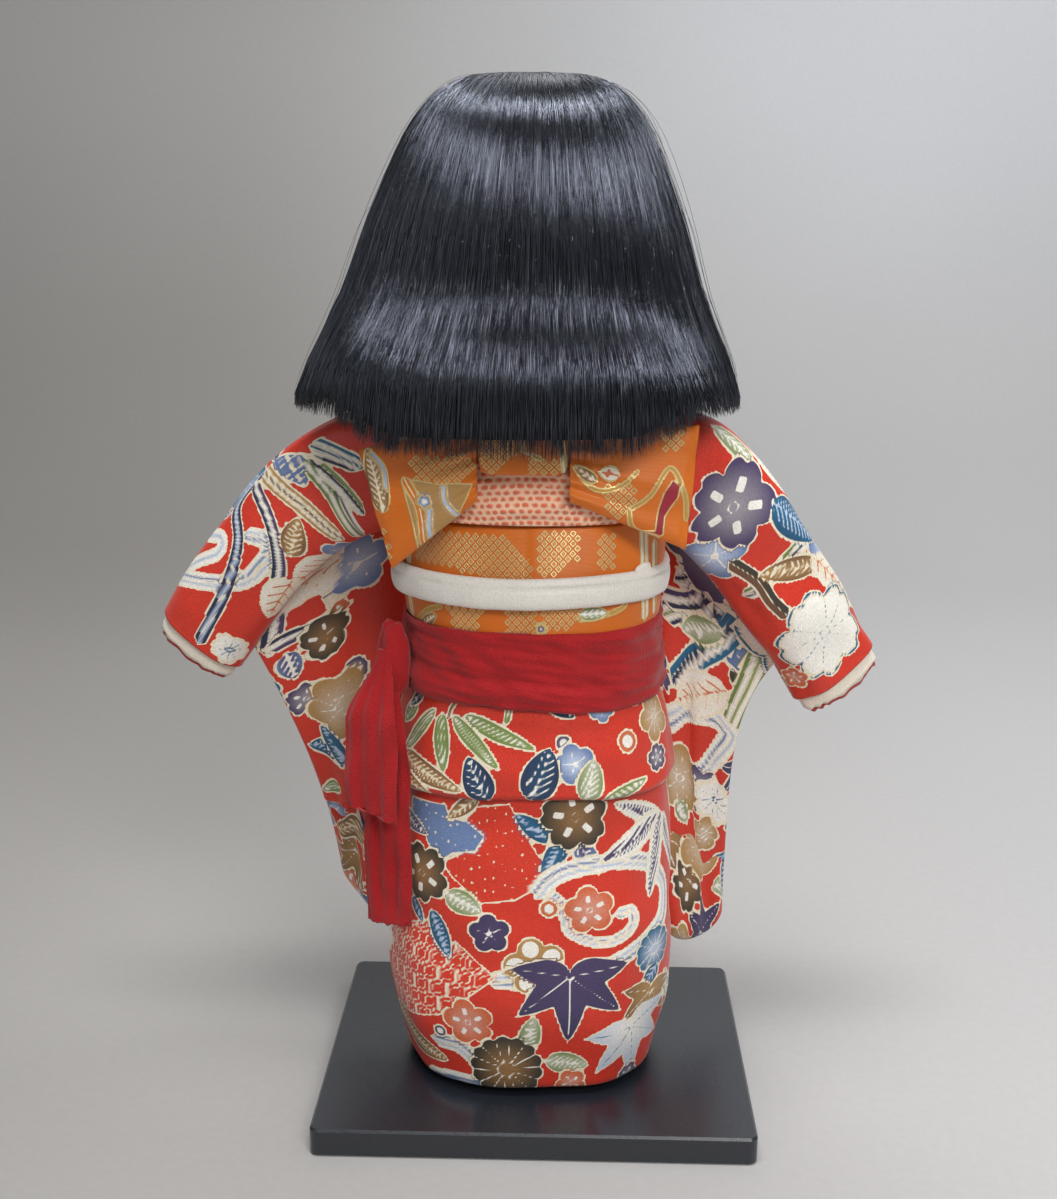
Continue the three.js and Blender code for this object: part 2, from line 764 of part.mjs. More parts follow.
function buildBoard() {
  const outline = new THREE.Shape();
  const [w, d] = [boardWidth / 2 - boardEdge, boardDepth / 2 - boardEdge];
  outline.moveTo(boardCorner - w, -d);
  outline.absarc(w - boardCorner, boardCorner - d, boardCorner, front, 0);
  outline.absarc(w - boardCorner, d - boardCorner, boardCorner, 0, -front);
  outline.absarc(boardCorner - w, d - boardCorner, boardCorner, -front, 2 * -front);
  outline.absarc(boardCorner - w, boardCorner - d, boardCorner, 2 * -front, 3 * -front);
  const plank = new THREE.ExtrudeGeometry(outline, {
    depth: boardThickness - 2 * boardEdge,
    bevelThickness: boardEdge,
    bevelSize: boardEdge,
    bevelSegments: 1,
    curveSegments: cornerFacets,
  });
  plank.translate(0, 0, boardEdge);
  const bore = rod(postRadius + seat, postWeb, boardThickness + overrun, postX, postY);
  const shank = rod(screwRadius + seat, -overrun, postWeb + overrun, postX, postY, screwSides);
  return cut(plank, bore, shank, screwCone(screwHeadRadius + seat, overrun));
}

// The head of the countersunk screw, or its seat when it is given room below
function screwCone(radius, below) {
  const bottom = below ? -below : seat;
  const profile = [
    new THREE.Vector2(0, bottom),
    new THREE.Vector2(radius, bottom),
    new THREE.Vector2(radius, seat),
    new THREE.Vector2(screwRadius, screwHeadHeight + seat),
    new THREE.Vector2(0, screwHeadHeight + seat),
  ].filter((p, i) => below || i !== 1);
  return new THREE.LatheGeometry(profile, screwHeadSides).rotateX(90 * degrees).translate(postX, postY, 0);
}

function buildScrew() {
  const shank = rod(screwRadius, screwHeadHeight, postFoot + screwBite, postX, postY, screwSides);
  const slot = block(
    point(postX - screwHeadRadius - overrun, postY - screwSlot / 2, -overrun),
    point(postX + screwHeadRadius + overrun, postY + screwSlot / 2, seat + screwSlot),
  );
  return cut(joined(screwCone(screwHeadRadius, 0), shank), slot);
}

function buildPost() {
  const post = rod(postRadius, postFoot, postTop, postX, postY);
  const pilot = rod(screwRadius + seat, 0, postFoot + screwBite + seat, postX, postY, screwSides);
  return cut(post, pilot);
}

add(group, 'base_board', buildBoard(), finishes.lacquer);
add(group, 'support_post', buildPost(), finishes.wood);
add(group, 'post_screw', buildScrew(), finishes.steel);

// Torso: one moulded piece with a neck socket, a post bore and flat shoulder seats
const armSeat = torsoShoulderHalfWidth - armSeatDepth;
const armLevel = shoulderLevel - 2 * upperArmRadius;

function buildTorso() {
  const above = torsoOutline.map((row) => row[0]).filter((level) => level > obiTop);
  const rows = [...rowsBetween(crotchLevel, obiTop), ...above];
  const body = loft(rows.map((level) => oval(...follow(torsoOutline, level), level, bodySides / 2)));
  const socketFoot = shoulderLevel - neckPlug;
  const socket = rod(neckRadius + seat, socketFoot, shoulderLevel + overrun, headAside, headBehind);
  const boreTop = crotchLevel + postGrip + seat;
  const bore = rod(postRadius + 2 * seat, crotchLevel - overrun, boreTop, 0, postBehind);
  const seats = [-1, 1].map((side) => {
    const reach = upperArmRadius + overrun;
    const near = side * armSeat;
    const far = side * (torsoShoulderHalfWidth + overrun);
    return block(
      point(Math.min(near, far), -reach, armLevel - reach),
      point(Math.max(near, far), reach, armLevel + reach),
    );
  });
  return cut(body, socket, bore, ...seats);
}

add(figure, 'torso', buildTorso(), finishes.composition);

// Waist padding: a thick roll between the torso and the kimono
function buildPadding() {
  const rows = rowsBetween(crotchLevel + seat, obiTop);
  const outer = rows.map((level) => oval(...follow(bodyOutline, level), level, bodySides / 2));
  const inner = rows.map((level) => {
    return oval(...follow(torsoOutline, level).map((half) => half + seat), level, bodySides / 2);
  });
  return cloth(outer, inner, true);
}

add(figure, 'waist_padding', buildPadding(), finishes.cotton);

// Legs: thigh and lower leg meet at the knee, the foot wears a split-toe sock
const legY = -legForward;
const soleTop = soleThickness + seat;
const ankleLevel = soleTop + seat + footHeight;
const kneeLevel = (crotchLevel + ankleLevel) / 2;

function buildLeg(x, rows) {
  return loft(rows.map(([level, radius]) => oval(radius, radius, level, limbSides, x, legY, 2)));
}

function buildFoot(x, side) {
  const heel = legY + footLength / 2 - footForward;
  const sections = footShares.map(([share, wideShare, highShare]) => {
    const y = heel - share * footLength;
    return Array.from({ length: limbSides }, (_, i) => {
      const angle = (i / limbSides) * turn;
      const p = onOval((footWidth / 2) * wideShare, footHeight / 2, angle, 0, footSquareness);
      return point(x + p.x, y, soleTop + seat + (p.y + footHeight / 2) * highShare);
    });
  });
  const slitX = x - side * footWidth * slitShares.aside;
  const under = soleTop + seat;
  const slit = block(
    point(slitX - toeSlit / 2, heel - footLength - overrun, under + footHeight * slitShares.foot),
    point(slitX + toeSlit / 2, heel - footLength * slitShares.back, ankleLevel),
  );
  const tube = (radius, low, high) => loft([low, high].map((level) => {
    return oval(radius, radius, level, limbSides, x, legY, 2);
  }));
  const cuffTop = ankleLevel + footHeight * ankleShares.cuffTop;
  const cuff = tube(ankleRadius + seat + sockCloth, under + footHeight * ankleShares.cuffFoot, cuffTop);
  const ankleFoot = ankleLevel - footHeight * ankleShares.bottom;
  const ankle = tube(ankleRadius + seat, ankleFoot, ankleLevel + footHeight);
  return cut(joined(loft(sections), cuff), slit, ankle);
}

function soleOutline(x) {
  const heel = legY + footLength / 2 - footForward + soleMargin;
  const length = footLength + 2 * soleMargin;
  const half = footWidth / 2 + soleMargin;
  const heelHalf = half * heelShare;
  const waist = heel - length / 2;
  const ball = heel - length + half;
  const shape = new THREE.Shape();
  shape.moveTo(x + heelHalf, heel - half);
  shape.absarc(x, heel - half, heelHalf, 0, Math.PI);
  shape.bezierCurveTo(x - heelHalf + soleWaist, waist, x - half, waist, x - half, ball);
  shape.absarc(x, ball, half, Math.PI, turn);
  shape.bezierCurveTo(x + half, waist, x + heelHalf - soleWaist, waist, x + heelHalf, heel - half);
  return shape;
}

function buildSole(x) {
  const bevel = soleWaist / 2;
  const sole = new THREE.ExtrudeGeometry(soleOutline(x), {
    depth: soleThickness - 2 * bevel,
    bevelThickness: bevel,
    bevelSize: bevel,
    bevelOffset: -bevel,
    bevelSegments: 1,
    curveSegments: cornerFacets + 1,
  });
  return sole.translate(0, 0, seat + bevel);
}

// The thong: two straps that rise from the sole's sides and meet between the toes
function buildThong(x) {
  const heel = legY + footLength / 2 - footForward;
  const low = soleTop + thongRadius;
  const over = footHeight * ankleShares.instep + soleTop + 2 * (thongRadius + seat);
  const half = footWidth / 2 + thongRadius + seat;
  const places = (side) => thongShares.map(([aside, along, up]) => {
    return point(x + side * half * aside, heel - footLength * along, low + (over - low) * up);
  });
  const route = new THREE.CatmullRomCurve3([...places(-1), ...places(1).reverse().slice(1)]);
  const section = new THREE.Shape();
  section.absarc(0, 0, thongRadius, 0, turn);
  const facets = { steps: thongSteps, extrudePath: route, curveSegments: cornerFacets };
  return new THREE.ExtrudeGeometry(section, facets);
}

for (const [name, side] of [['left', 1], ['right', -1]]) {
  const x = side * legAside;
  const thigh = thighShares.map(([up, full]) => {
    const [low, high] = [kneeLevel + seat, crotchLevel - seat];
    return [low + (high - low) * up, kneeRadius + (thighRadius - kneeRadius) * full];
  });
  const shin = shinShares.map(([up, full]) => {
    return [ankleLevel + (kneeLevel - ankleLevel) * up, ankleRadius + (calfRadius - ankleRadius) * full];
  });
  shin.unshift([ankleLevel - footHeight * ankleShares.bottom + seat, ankleRadius]);
  add(figure, `${name}_thigh`, buildLeg(x, thigh), finishes.gofun);
  add(figure, `${name}_lower_leg`, buildLeg(x, shin), finishes.gofun);
  add(figure, `${name}_tabi`, buildFoot(x, side), finishes.tabi);
  add(figure, `${name}_zori_sole`, buildSole(x), finishes.zori);
  add(figure, `${name}_zori_strap`, buildThong(x), finishes.zori);
}

// Hem height round the figure: level at the back, lifted over the toes
function hemAt(angle, start) {
  return start + frontHemRise * towardsFront(angle, hemLiftReach * degrees);
}

// Hanging folds: long shallow waves that fade out towards the waist
function foldOut(angle, level) {
  const [broadShare, narrowShare] = foldShares;
  const wave = broadShare * Math.cos(broadFolds * angle + 1) + narrowShare * Math.cos(narrowFolds * angle);
  const fade = 1 - smooth(kneeLevelOfSkirt, sashLevel - waistFoldDrop, level);
  return skirtFold * wave * fade * (1 - towardsFront(angle, foldCalmReach * degrees));
}

function buildUnderKimono() {
  const face = (out) => rowsBetween(hemLevel, obiLevel - seat).map((row, k) => {
    return Array.from({ length: bodySides }, (_, i) => {
      const angle = (i / bodySides) * turn;
      const level = k === 0 ? hemAt(angle, hemLevel + hemSetBack) : row;
      return onBody(angle, level, out + foldOut(angle, level));
    });
  });
  return cloth(face(underOut), face(seat), true);
}

add(figure, 'under_kimono', buildUnderKimono(), finishes.underSilk);

// Kimono skirt: one length of silk wrapped round the body, left front over right.
// The angle runs from the hidden right front, round the back, to the outer edge.
function buildSkirt() {
  const start = front + (wrapOverlap / 2) * degrees;
  const sweep = turn + wrapOverlap * degrees;
  const face = (out) => rowsBetween(hemLevel, obiLevel - seat).map((row, k) => {
    return levels(0, 1, wrapSteps).map((along) => {
      const angle = start - sweep * along;
      const laps = smooth(turn - wrapStep * degrees, turn - sewn * degrees, sweep * along);
      const level = k === 0 ? hemAt(angle, hemLevel) : row;
      return onBody(angle, level, out + climb * laps + foldOut(angle, level));
    });
  });
  return cloth(face(silkOut), face(silkIn), false);
}

add(figure, 'kimono_skirt', buildSkirt(), finishes.redSilk);

// Waist fold: the tuck of spare length that hangs below the sash
function buildWaistFold() {
  const low = sashLevel - waistFoldDrop;
  const high = obiLevel - waistFoldTuck;
  const face = (out, roll) => rowsBetween(low, high).map((level, k) => {
    return Array.from({ length: bodySides }, (_, i) => {
      return onBody((i / bodySides) * turn, level, out - (k === 0 ? roll : 0));
    });
  });
  return cloth(face(foldIn + foldCloth, foldCloth * foldRollShare), face(foldIn, 0), true);
}

add(figure, 'kimono_waist_fold', buildWaistFold(), finishes.redSilk);

// Bodice: closed cloth from under the obi to the neck hole, with two armholes
function buildBodice() {
  const last = bodiceOutline.length - 1;
  const outer = bodiceOutline.map(([level, halfWidth, halfDepth]) => {
    return oval(halfWidth, halfDepth, level, bodySides);
  });
  const inner = bodiceOutline.map(([level, halfWidth, halfDepth], i) => {
    const before = bodiceOutline[Math.max(i - 1, 0)];
    const after = bodiceOutline[Math.min(i + 1, last)];
    const length = Math.hypot(after[0] - before[0], after[1] - before[1]);
    const pull = i === last ? 0 : (silk * (after[0] - before[0])) / length;
    const slope = i === 0 ? 0 : (silk * (before[1] - after[1])) / length;
    const sink = i === last ? silk : slope;
    return oval(halfWidth - pull, halfDepth - pull, level - sink, bodySides);
  });
  const holes = [-1, 1].map((side) => {
    const hole = new THREE.CylinderGeometry(1, 1, bodiceHalfWidth, limbSides);
    hole.rotateZ(90 * degrees).scale(1, upperArmRadius + armholeRoom, upperArmRadius + armholeRoom);
    return hole.translate(side * bodiceHalfWidth, 0, armLevel);
  });
  return cut(cloth(outer, inner, true), ...holes);
}

add(figure, 'kimono_bodice', buildBodice(), finishes.redSilk);

// Collars: bands that lie along the neck hole and cross in front, left over right
function buildCollar(low, high, thick, away) {
  const start = front + collarEnd * degrees;
  const sweep = turn + 2 * collarEnd * degrees;
  const top = bodiceRun - collarWidth * collarLineShare;
  const face = (out) => levels(0, 1, collarRows).map((share) => levels(0, 1, collarSteps).map((along) => {
    const angle = start - sweep * along;
    const neck = (1 - towardsFront(angle, collarDip * degrees)) ** collarBend;
    const base = collarFoot + (top - collarFoot) * neck;
    const laps = smooth(turn - collarLap * degrees, turn - sewn * degrees, sweep * along);
    return onBodice(angle, base + low + (high - low) * share, away + out + (thick + sewn) * laps);
  }));
  return cloth(face(thick), face(0), false);
}

const underCollar = buildCollar(seat, collarWidth + underCollarPeep, underCollarCloth, underCollarOut);
add(figure, 'under_collar', underCollar, finishes.whiteSilk);
add(figure, 'kimono_collar', buildCollar(0, collarWidth, collarCloth, collarOut), finishes.redSilk);

// A flat piece of folded cloth. Each row has two edge points and a thickness, and the
// waves across it leave its thickness alike.
function panel(rows, facing, sides, waveDepth, waveCount, power = panelSquareness) {
  return loft(rows.map(({ from, to, thick, calm = 1 }) => {
    const centre = from.clone().add(to).divideScalar(2);
    const along = to.clone().sub(from).divideScalar(2);
    const across = facing.clone().addScaledVector(along, -facing.dot(along) / along.lengthSq()).normalize();
    return Array.from({ length: sides }, (_, i) => {
      const p = onOval(1, 1, (i / sides) * turn, 0, power);
      const wave = waveDepth * calm * Math.cos(waveCount * Math.PI * p.x) * (1 - p.x ** 4);
      return centre.clone().addScaledVector(along, p.x).addScaledVector(across, (p.y * thick) / 2 + wave);
    });
  }));
}

// Places and half sizes of a limb, sampled along a smooth path
function stationsOn(path, sizes, shares, lift = 0, up = point(0, 0, 1)) {
  return shares.map((share) => {
    const [high, deep] = follow(sizes, share);
    const place = path.getPointAt(Math.min(Math.max(share, 0), 1));
    const heading = path.getTangentAt(Math.min(Math.max(share, 0), 1));
    const over = share > 1 ? share - 1 : Math.min(share, 0);
    const across = heading.clone().cross(up).normalize();
    const raised = across.cross(heading).normalize();
    const at = place.addScaledVector(heading, over * path.getLength()).addScaledVector(raised, lift);
    return { at, high, deep, heading };
  });
}

// Sleeves: a flat tube round the arm, with the long part hanging from it
const seamLevel = shoulderLevel - seamHalfHeight;
const seamOut = bodiceHalfWidth + seat;
const upward = point(0, 0, 1);

function sleevePath(s) {
  const seam = point(s.side * seamOut, 0, seamLevel);
  const at = (out, ahead, down) => seam.clone().add(point(s.side * out, -ahead, -down));
  const elbow = at(s.elbowOut, s.elbowFront, s.elbowDown);
  return new THREE.QuadraticBezierCurve3(seam, elbow, at(s.cuffOut, s.cuffFront, s.cuffDown));
}

function sleeveTube(s, inset, shares) {
  const sizes = [
    [0, seamHalfHeight - inset, seamHalfDepth - inset],
    [elbowShare, elbowHalfHeight - inset, elbowHalfDepth - inset],
    [1, cuffHalfHeight - inset, cuffHalfDepth - inset],
  ];
  const stations = stationsOn(sleevePath(s), sizes, shares);
  return limb(stations, upward, bodySides / 2, sleeveSquareness);
}

function buildSleeve(s) {
  const path = sleevePath(s);
  const past = overrun / path.getLength();
  const shares = levels(0, 1, tubeRows);
  const tube = sleeveTube(s, 0, shares);
  tube[0] = tube[0].map((p) => point(s.side * seamOut, p.y, p.z));
  const inner = sleeveTube(s, sleeveCloth, [-seamHalfDepth / path.getLength(), ...shares, 1 + past]);
  const seam = point(s.side * seamOut, 0, seamLevel);
  const at = (out, ahead, down) => seam.clone().add(point(s.side * out, -ahead, -down));
  const lowIn = at(s.bagInOut, s.bagInFront, s.bagInDrop);
  const lowOut = at(s.bagOutOut, s.bagOutFront, s.bagOutDrop);
  const highIn = at(seamHalfDepth * bagTopShares.deep, 0, seamHalfHeight * bagTopShares.high);
  const highOut = path.getPointAt(bagReachShare);
  const facing = point(s.side * Math.cos(bagTurn * degrees), -Math.sin(bagTurn * degrees), 0);
  const rows = levels(0, 1, bagRows).map((share) => {
    const from = lowIn.clone().lerp(highIn, share);
    from.x = lowIn.x + (highIn.x - lowIn.x) * share ** 2;
    const to = lowOut.clone().lerp(highOut, share);
    to.x = lowOut.x + (highOut.x - lowOut.x) * share ** s.bagFlare;
    return { from, to, thick: s.bagThickness * (1 - bagSlimShare * share), calm: 1 - share ** 2 };
  });
  const bag = panel(rows, facing, panelSides, sleeveFold, bagFoldCount);
  return cut(joined(loft(tube), bag), loft(inner));
}

function buildLining(s) {
  const length = sleevePath(s).getLength();
  const shares = levels(1 - liningLength / length, 1 + liningPeep / length, liningRows);
  const outer = sleeveTube(s, sleeveCloth + seat, shares);
  const inner = sleeveTube(s, sleeveCloth + seat + liningCloth, shares);
  return cloth(outer, inner, true);
}

// Arms: a cloth-covered upper arm, then a forearm with its hand, near the sleeve's top
function armStations(s, sizes, shares) {
  const path = sleevePath(s);
  const root = point(s.side * (armSeat + seat), 0, armLevel);
  const lift = armLevel - seamLevel;
  return shares.map((share) => {
    const [radius, wide] = follow(sizes, share);
    if (share < 0) return { at: root, high: radius, deep: wide, heading: point(s.side, 0, 0) };
    const settle = lift * (1 - smooth(0, 1, share) * armSettleShare);
    return { ...stationsOn(path, sizes, [share], settle)[0], high: radius, deep: wide };
  });
}

function buildUpperArm(s) {
  const sizes = [
    [0, upperArmRadius, upperArmRadius],
    [elbowShare, elbowRadius, elbowRadius],
  ];
  const stations = armStations(s, sizes, [-1, ...upperArmShares, elbowShare]);
  return loft(limb(stations, upward, limbSides));
}

function buildForearm(s) {
  const length = sleevePath(s).getLength();
  const start = elbowShare + seat / length;
  const sizes = [
    [start, elbowRadius, elbowRadius],
    [wristShare, wristRadius * wristFlatShare, wristRadius],
    [knuckleShare, palmThickness / 2, (palmWidth / 2) * knuckleWideShare],
    [palmEndShare, palmThickness / 2, palmWidth / 2],
    [1, fingerRadius, (palmWidth / 2) * knuckleWideShare],
  ];
  const palmEnd = wristShare + (handLength * palmLengthShare) / length;
  const bareShares = [start, (start + wristShare) / 2, wristShare];
  const shares = [...bareShares, knuckleShare, (knuckleShare + palmEnd) / 2, palmEnd];
  const stations = armStations(s, sizes, shares);
  const arm = loft(limb(stations, upward, limbSides));
  const [before, end] = stations.slice(-2).map((station) => station.at);
  const ahead = end.clone().sub(before).normalize();
  const across = ahead.clone().cross(upward).normalize();
  const fingers = fingerShares.map(([asideShare, lengthShare]) => {
    const foot = end.clone().addScaledVector(across, asideShare * palmWidth);
    foot.addScaledVector(ahead, -fingerRadius);
    const reach = handLength * (1 - palmLengthShare) * lengthShare + fingerRadius;
    return finger(foot, ahead, reach, fingerRadius);
  });
  const knuckle = stations[shares.indexOf(knuckleShare)].at;
  const thumbFoot = knuckle.clone().addScaledVector(across, -palmWidth * thumbShares.aside);
  const thumbAhead = ahead.clone().addScaledVector(across, -thumbShares.spread).normalize();
  const thumbRadius = fingerRadius * thumbShares.thick;
  const thumb = finger(thumbFoot, thumbAhead, handLength * thumbShares.length, thumbRadius);
  return joined(arm, ...fingers, thumb);
}

function finger(foot, ahead, reach, radius) {
  return loft(limb(fingertipShares.map(([share, widthShare]) => {
    const at = foot.clone().addScaledVector(ahead, reach * share);
    return { at, high: radius * widthShare, deep: radius * widthShare };
  }), upward, fingerSides));
}

for (const [name, s] of Object.entries(sleeves)) {
  add(figure, `${name}_sleeve`, buildSleeve(s), finishes.redSilk);
  add(figure, `${name}_sleeve_lining`, buildLining(s), finishes.liningSilk);
  add(figure, `${name}_upper_arm`, buildUpperArm(s), finishes.cotton);
  add(figure, `${name}_forearm`, buildForearm(s), finishes.gofun);
}

// Obi band: stiff brocade round the waist, a little crowned, with a pocket for the fan
const obiOut = obiIn + obiCloth;

function obiBulge(level) {
  const share = Math.min(Math.max((level - obiLevel) / obiHeight, 0), 1);
  return obiCrown * 4 * share * (1 - share);
}

// The fan stands in the obi's front, turned and leaned as the obi's face is there
const fanFoot = onFront(obiTop - fanTuck);
const fanHead = onFront(obiTop);
const fanUp = fanHead.clone().sub(fanFoot).normalize();
const fanFacing = fanAcross().cross(fanUp).normalize();

function onFront(level, aside = fanAside) {
  const [halfWidth, halfDepth] = straight(bodyRowsByLevel(), level);
  const out = obiIn + obiCloth * fanDepthShare;
  const across = (aside / (halfWidth + out)) ** ovalPower;
  return point(aside, -(halfDepth + out) * (1 - across) ** (1 / ovalPower), level);
}

function fanAcross() {
  const level = obiTop - fanTuck / 2;
  const outer = onFront(level, fanAside + fanTopWidth / 2);
  return outer.sub(onFront(level, fanAside - fanTopWidth / 2)).normalize();
}

function bodyRowsByLevel() {
  return clothLevels.map((level) => [level, ...follow(bodyOutline, level)]);
}

function fanShape(length, footWidth, topWidth, thickness) {
  const shape = new THREE.Shape();
  shape.moveTo(-footWidth / 2, 0);
  shape.lineTo(footWidth / 2, 0);
  shape.lineTo(topWidth / 2, length);
  shape.lineTo(-topWidth / 2, length);
  const blank = new THREE.ExtrudeGeometry(shape, { depth: thickness, bevelEnabled: false });
  blank.translate(0, 0, -thickness / 2);
  const across = fanUp.clone().cross(fanFacing).normalize();
  return blank.applyMatrix4(new THREE.Matrix4().makeBasis(across, fanUp, fanFacing).setPosition(fanFoot));
}

// Its closed leaves show as pleats along the top
function buildFan() {
  const pitch = fanTopWidth / fanPleats;
  const across = fanUp.clone().cross(fanFacing).normalize();
  const first = (pitch - fanTopWidth) / 2;
  const notches = levels(first, -first, fanPleats - 1).map((aside) => {
    const notch = new THREE.CylinderGeometry(pitch * pleatShare, pitch * pleatShare, 2 * fanThickness, 4);
    notch.rotateX(90 * degrees);
    const top = fanFoot.clone().addScaledVector(fanUp, fanLength).addScaledVector(across, aside);
    return notch.applyMatrix4(new THREE.Matrix4().makeBasis(across, fanUp, fanFacing).setPosition(top));
  });
  return cut(fanShape(fanLength, fanFootWidth, fanTopWidth, fanThickness), ...notches);
}

function buildObi() {
  const rows = levels(obiLevel, obiTop, obiRows);
  const face = (out, crown) => rows.map((level) => Array.from({ length: bodySides }, (_, i) => {
    const [halfWidth, halfDepth] = straight(bodyRowsByLevel(), level);
    const away = out + crown * obiBulge(level);
    return onOval(halfWidth + away, halfDepth + away, (i / bodySides) * turn, level);
  }));
  const play = 2 * fanPlay;
  const pocket = fanShape(fanTuck + overrun, fanTopWidth + play, fanTopWidth + play, fanThickness + play);
  pocket.translate(0, 0, -fanPlay);
  return cut(cloth(face(obiOut, 1), face(obiIn, 0), true), pocket);
}

add(figure, 'obi_band', buildObi(), finishes.brocade);
add(figure, 'hand_fan', buildFan(), finishes.fan);

// Bow pillow on the bodice's back, and the dotted silk scarf that covers it
const pillowLevel = obiTop + seat + pillowHeight / 2;

function bodiceHalves(level) {
  return straight(bodiceOutline, level);
}

function fromBack(angle) {
  return Math.abs(Math.atan2(Math.sin(angle + front), Math.cos(angle + front)));
}

function buildPillow() {
  const [halfWidth, halfDepth] = bodiceHalves(obiTop);
  const away = seat + pillowThickness / 2;
  const span = (pillowLength / (2 * halfWidth)) * pillowSpanShare;
  return loft(limb(pillowShares.map(([share, sizeShare]) => ({
    at: onOval(halfWidth + away, halfDepth + away, -front - share * span, pillowLevel),
    high: (pillowHeight / 2) * sizeShare,
    deep: (pillowThickness / 2 - seat) * sizeShare,
  })), upward, limbSides));
}

function buildScarf() {
  const tall = (angle) => {
    const sides = smooth(scarfTallReach * degrees, scarfLowReach * degrees, fromBack(angle));
    return scarfHeight + (scarfFrontHeight - scarfHeight) * sides;
  };
  const overPillow = (angle) => 1 - smooth(pillowSpan, pillowSpan + scarfFall * degrees, fromBack(angle));
  const backDepth = bodiceHalves(obiTop)[1];
  const face = (out) => scarfRowShares.map((share) => Array.from({ length: bodySides }, (_, i) => {
    const angle = (i / bodySides) * turn;
    const level = obiTop + seat + tall(angle) * share;
    const [halfWidth, halfDepth] = bodiceHalves(level);
    const round = out * (1 - (2 * share - 1) ** 4 * scarfRoundShare);
    const away = 2 * sewn + (pillowThickness + seat) * overPillow(angle) + round;
    const deep = halfDepth + (backDepth - halfDepth) * overPillow(angle);
    return onOval(halfWidth + away, deep + away, angle, level);
  }));
  const play = 2 * fanPlay;
  const room = fanShape(fanLength + overrun, fanTopWidth + play, fanTopWidth + play, fanThickness + play);
  return cut(cloth(face(scarfCloth), face(0), true), room);
}

const pillowReach = pillowLength / (2 * (bodiceHalfWidth + pillowThickness));
const pillowSpan = Math.asin(pillowReach) + pillowSlack * degrees;
add(figure, 'bow_pillow', buildPillow(), finishes.cotton);
add(figure, 'obi_scarf', buildScarf(), finishes.dottedSilk);

// Obi cord: one closed padded round, tied in front, one end tucked in behind the side
function buildCord() {
  const level = obiLevel + cordLevel;
  const [halfWidth, halfDepth] = straight(bodyRowsByLevel(), level);
  const centre = obiOut + obiCrown + seat + cordThickness / 2;
  const section = (angle, away, rise, share) => Array.from({ length: cordSides }, (_, k) => {
    const around = ((k + 1 / 2) / cordSides) * turn;
    const p = onOval((cordThickness / 2) * share, (cordHeight / 2) * share, around, 0, cordSquareness);
    const out = centre + away + p.x;
    return onOval(halfWidth + out, halfDepth + out, angle, level + rise + p.y);
  });
  const round = hoop(Array.from({ length: bodySides }, (_, i) => section((i / bodySides) * turn, 0, 0, 1)));
  const knotSpan = cordKnotWidth / (2 * (halfWidth + centre));
  const knot = loft(cordKnotShares.map(([share, size]) => {
    return section(front + share * knotSpan, cordKnotOut, 0, size);
  }));
  const endSpan = cordEndLength / (halfWidth + centre);
  const frontEnd = knotSpan * cordEndStart;
  const ends = [cordEndAngle * degrees, front + frontEnd, front - frontEnd].map((angle) => {
    return loft(cordEndShares.map(([share, size]) => {
      const rise = cordHeight * (cordEndRiseShares.rest + cordEndRiseShares.lift * share);
      return section(angle + share * endSpan, 0, rise, size);
    }));
  });
  return joined(round, knot, ...ends);
}

add(figure, 'obi_cord', buildCord(), finishes.cord);

// Red crepe sash: the band, its knot on the left hip and two ends of unlike length
function buildSash() {
  const bodyRows = bodyRowsByLevel();
  const face = (out, gather) => sashGatherShares.map(([up, share]) => {
    const level = sashLevel + (sashHeight - seat) * up;
    const [halfWidth, halfDepth] = straight(bodyRows, level).map((half) => half + out + gather * share);
    return oval(halfWidth, halfDepth, level, bodySides);
  });
  return cloth(face(sashIn + sashCloth, sashGather), face(sashIn, 0), true);
}

const sashOut = sashIn + sashCloth + seat + sashKnotOver;
const knotAngle = sashKnotAngle * degrees;
const knotCentre = onBody(knotAngle, obiLevel - seat, sashOut + sashKnotDepth / 2);
const knotAlong = point(-Math.sin(knotAngle), Math.cos(knotAngle), 0);

function buildSashKnot() {
  return loft(limb(sashKnotShares.map(([share, size]) => ({
    at: knotCentre.clone().addScaledVector(knotAlong, (share * sashKnotWidth) / 2),
    high: (sashKnotHeight / 2) * size,
    deep: (sashKnotDepth / 2) * size,
  })), upward, limbSides));
}

function buildSashEnd(width, length, aside, behind) {
  const top = knotCentre.clone().add(point(aside / 3, behind / 2, -sashKnotHeight / 2 - seat));
  const along = point(Math.cos(endTurn * degrees), Math.sin(endTurn * degrees), 0);
  const facing = point(-along.y, along.x, 0);
  const rows = endRowShares.map((share) => {
    const spread = smooth(0, endOpenShare, share);
    const half = (width / 2) * (endGatherShare + (1 - endGatherShare) * spread);
    const centre = top.clone().add(point((aside * spread * 2) / 3, (behind * spread) / 2, -length * share));
    return {
      from: centre.clone().addScaledVector(along, -half),
      to: centre.clone().addScaledVector(along, half),
      thick: sashEndThickness,
      calm: spread,
    };
  });
  return panel(rows, facing, endSides, sashEndFold, endFoldCount);
}

add(figure, 'sash_band', buildSash(), finishes.crepe);
add(figure, 'sash_knot', buildSashKnot(), finishes.crepe);
const longEnd = buildSashEnd(longEndWidth, longEndLength, longEndAside, longEndBehind);
add(figure, 'sash_long_end', longEnd, finishes.crepe);
const shortEnd = buildSashEnd(shortEndWidth, shortEndLength, shortEndAside, shortEndBehind);
add(figure, 'sash_short_end', shortEnd, finishes.crepe);

// Bow: a tall knot between two folded wings, on the scarf's back
const bowFace = bodiceHalves(obiTop)[1] + 2 * sewn + pillowThickness + scarfCloth + seat;
const bowTop = obiTop + bowRise;

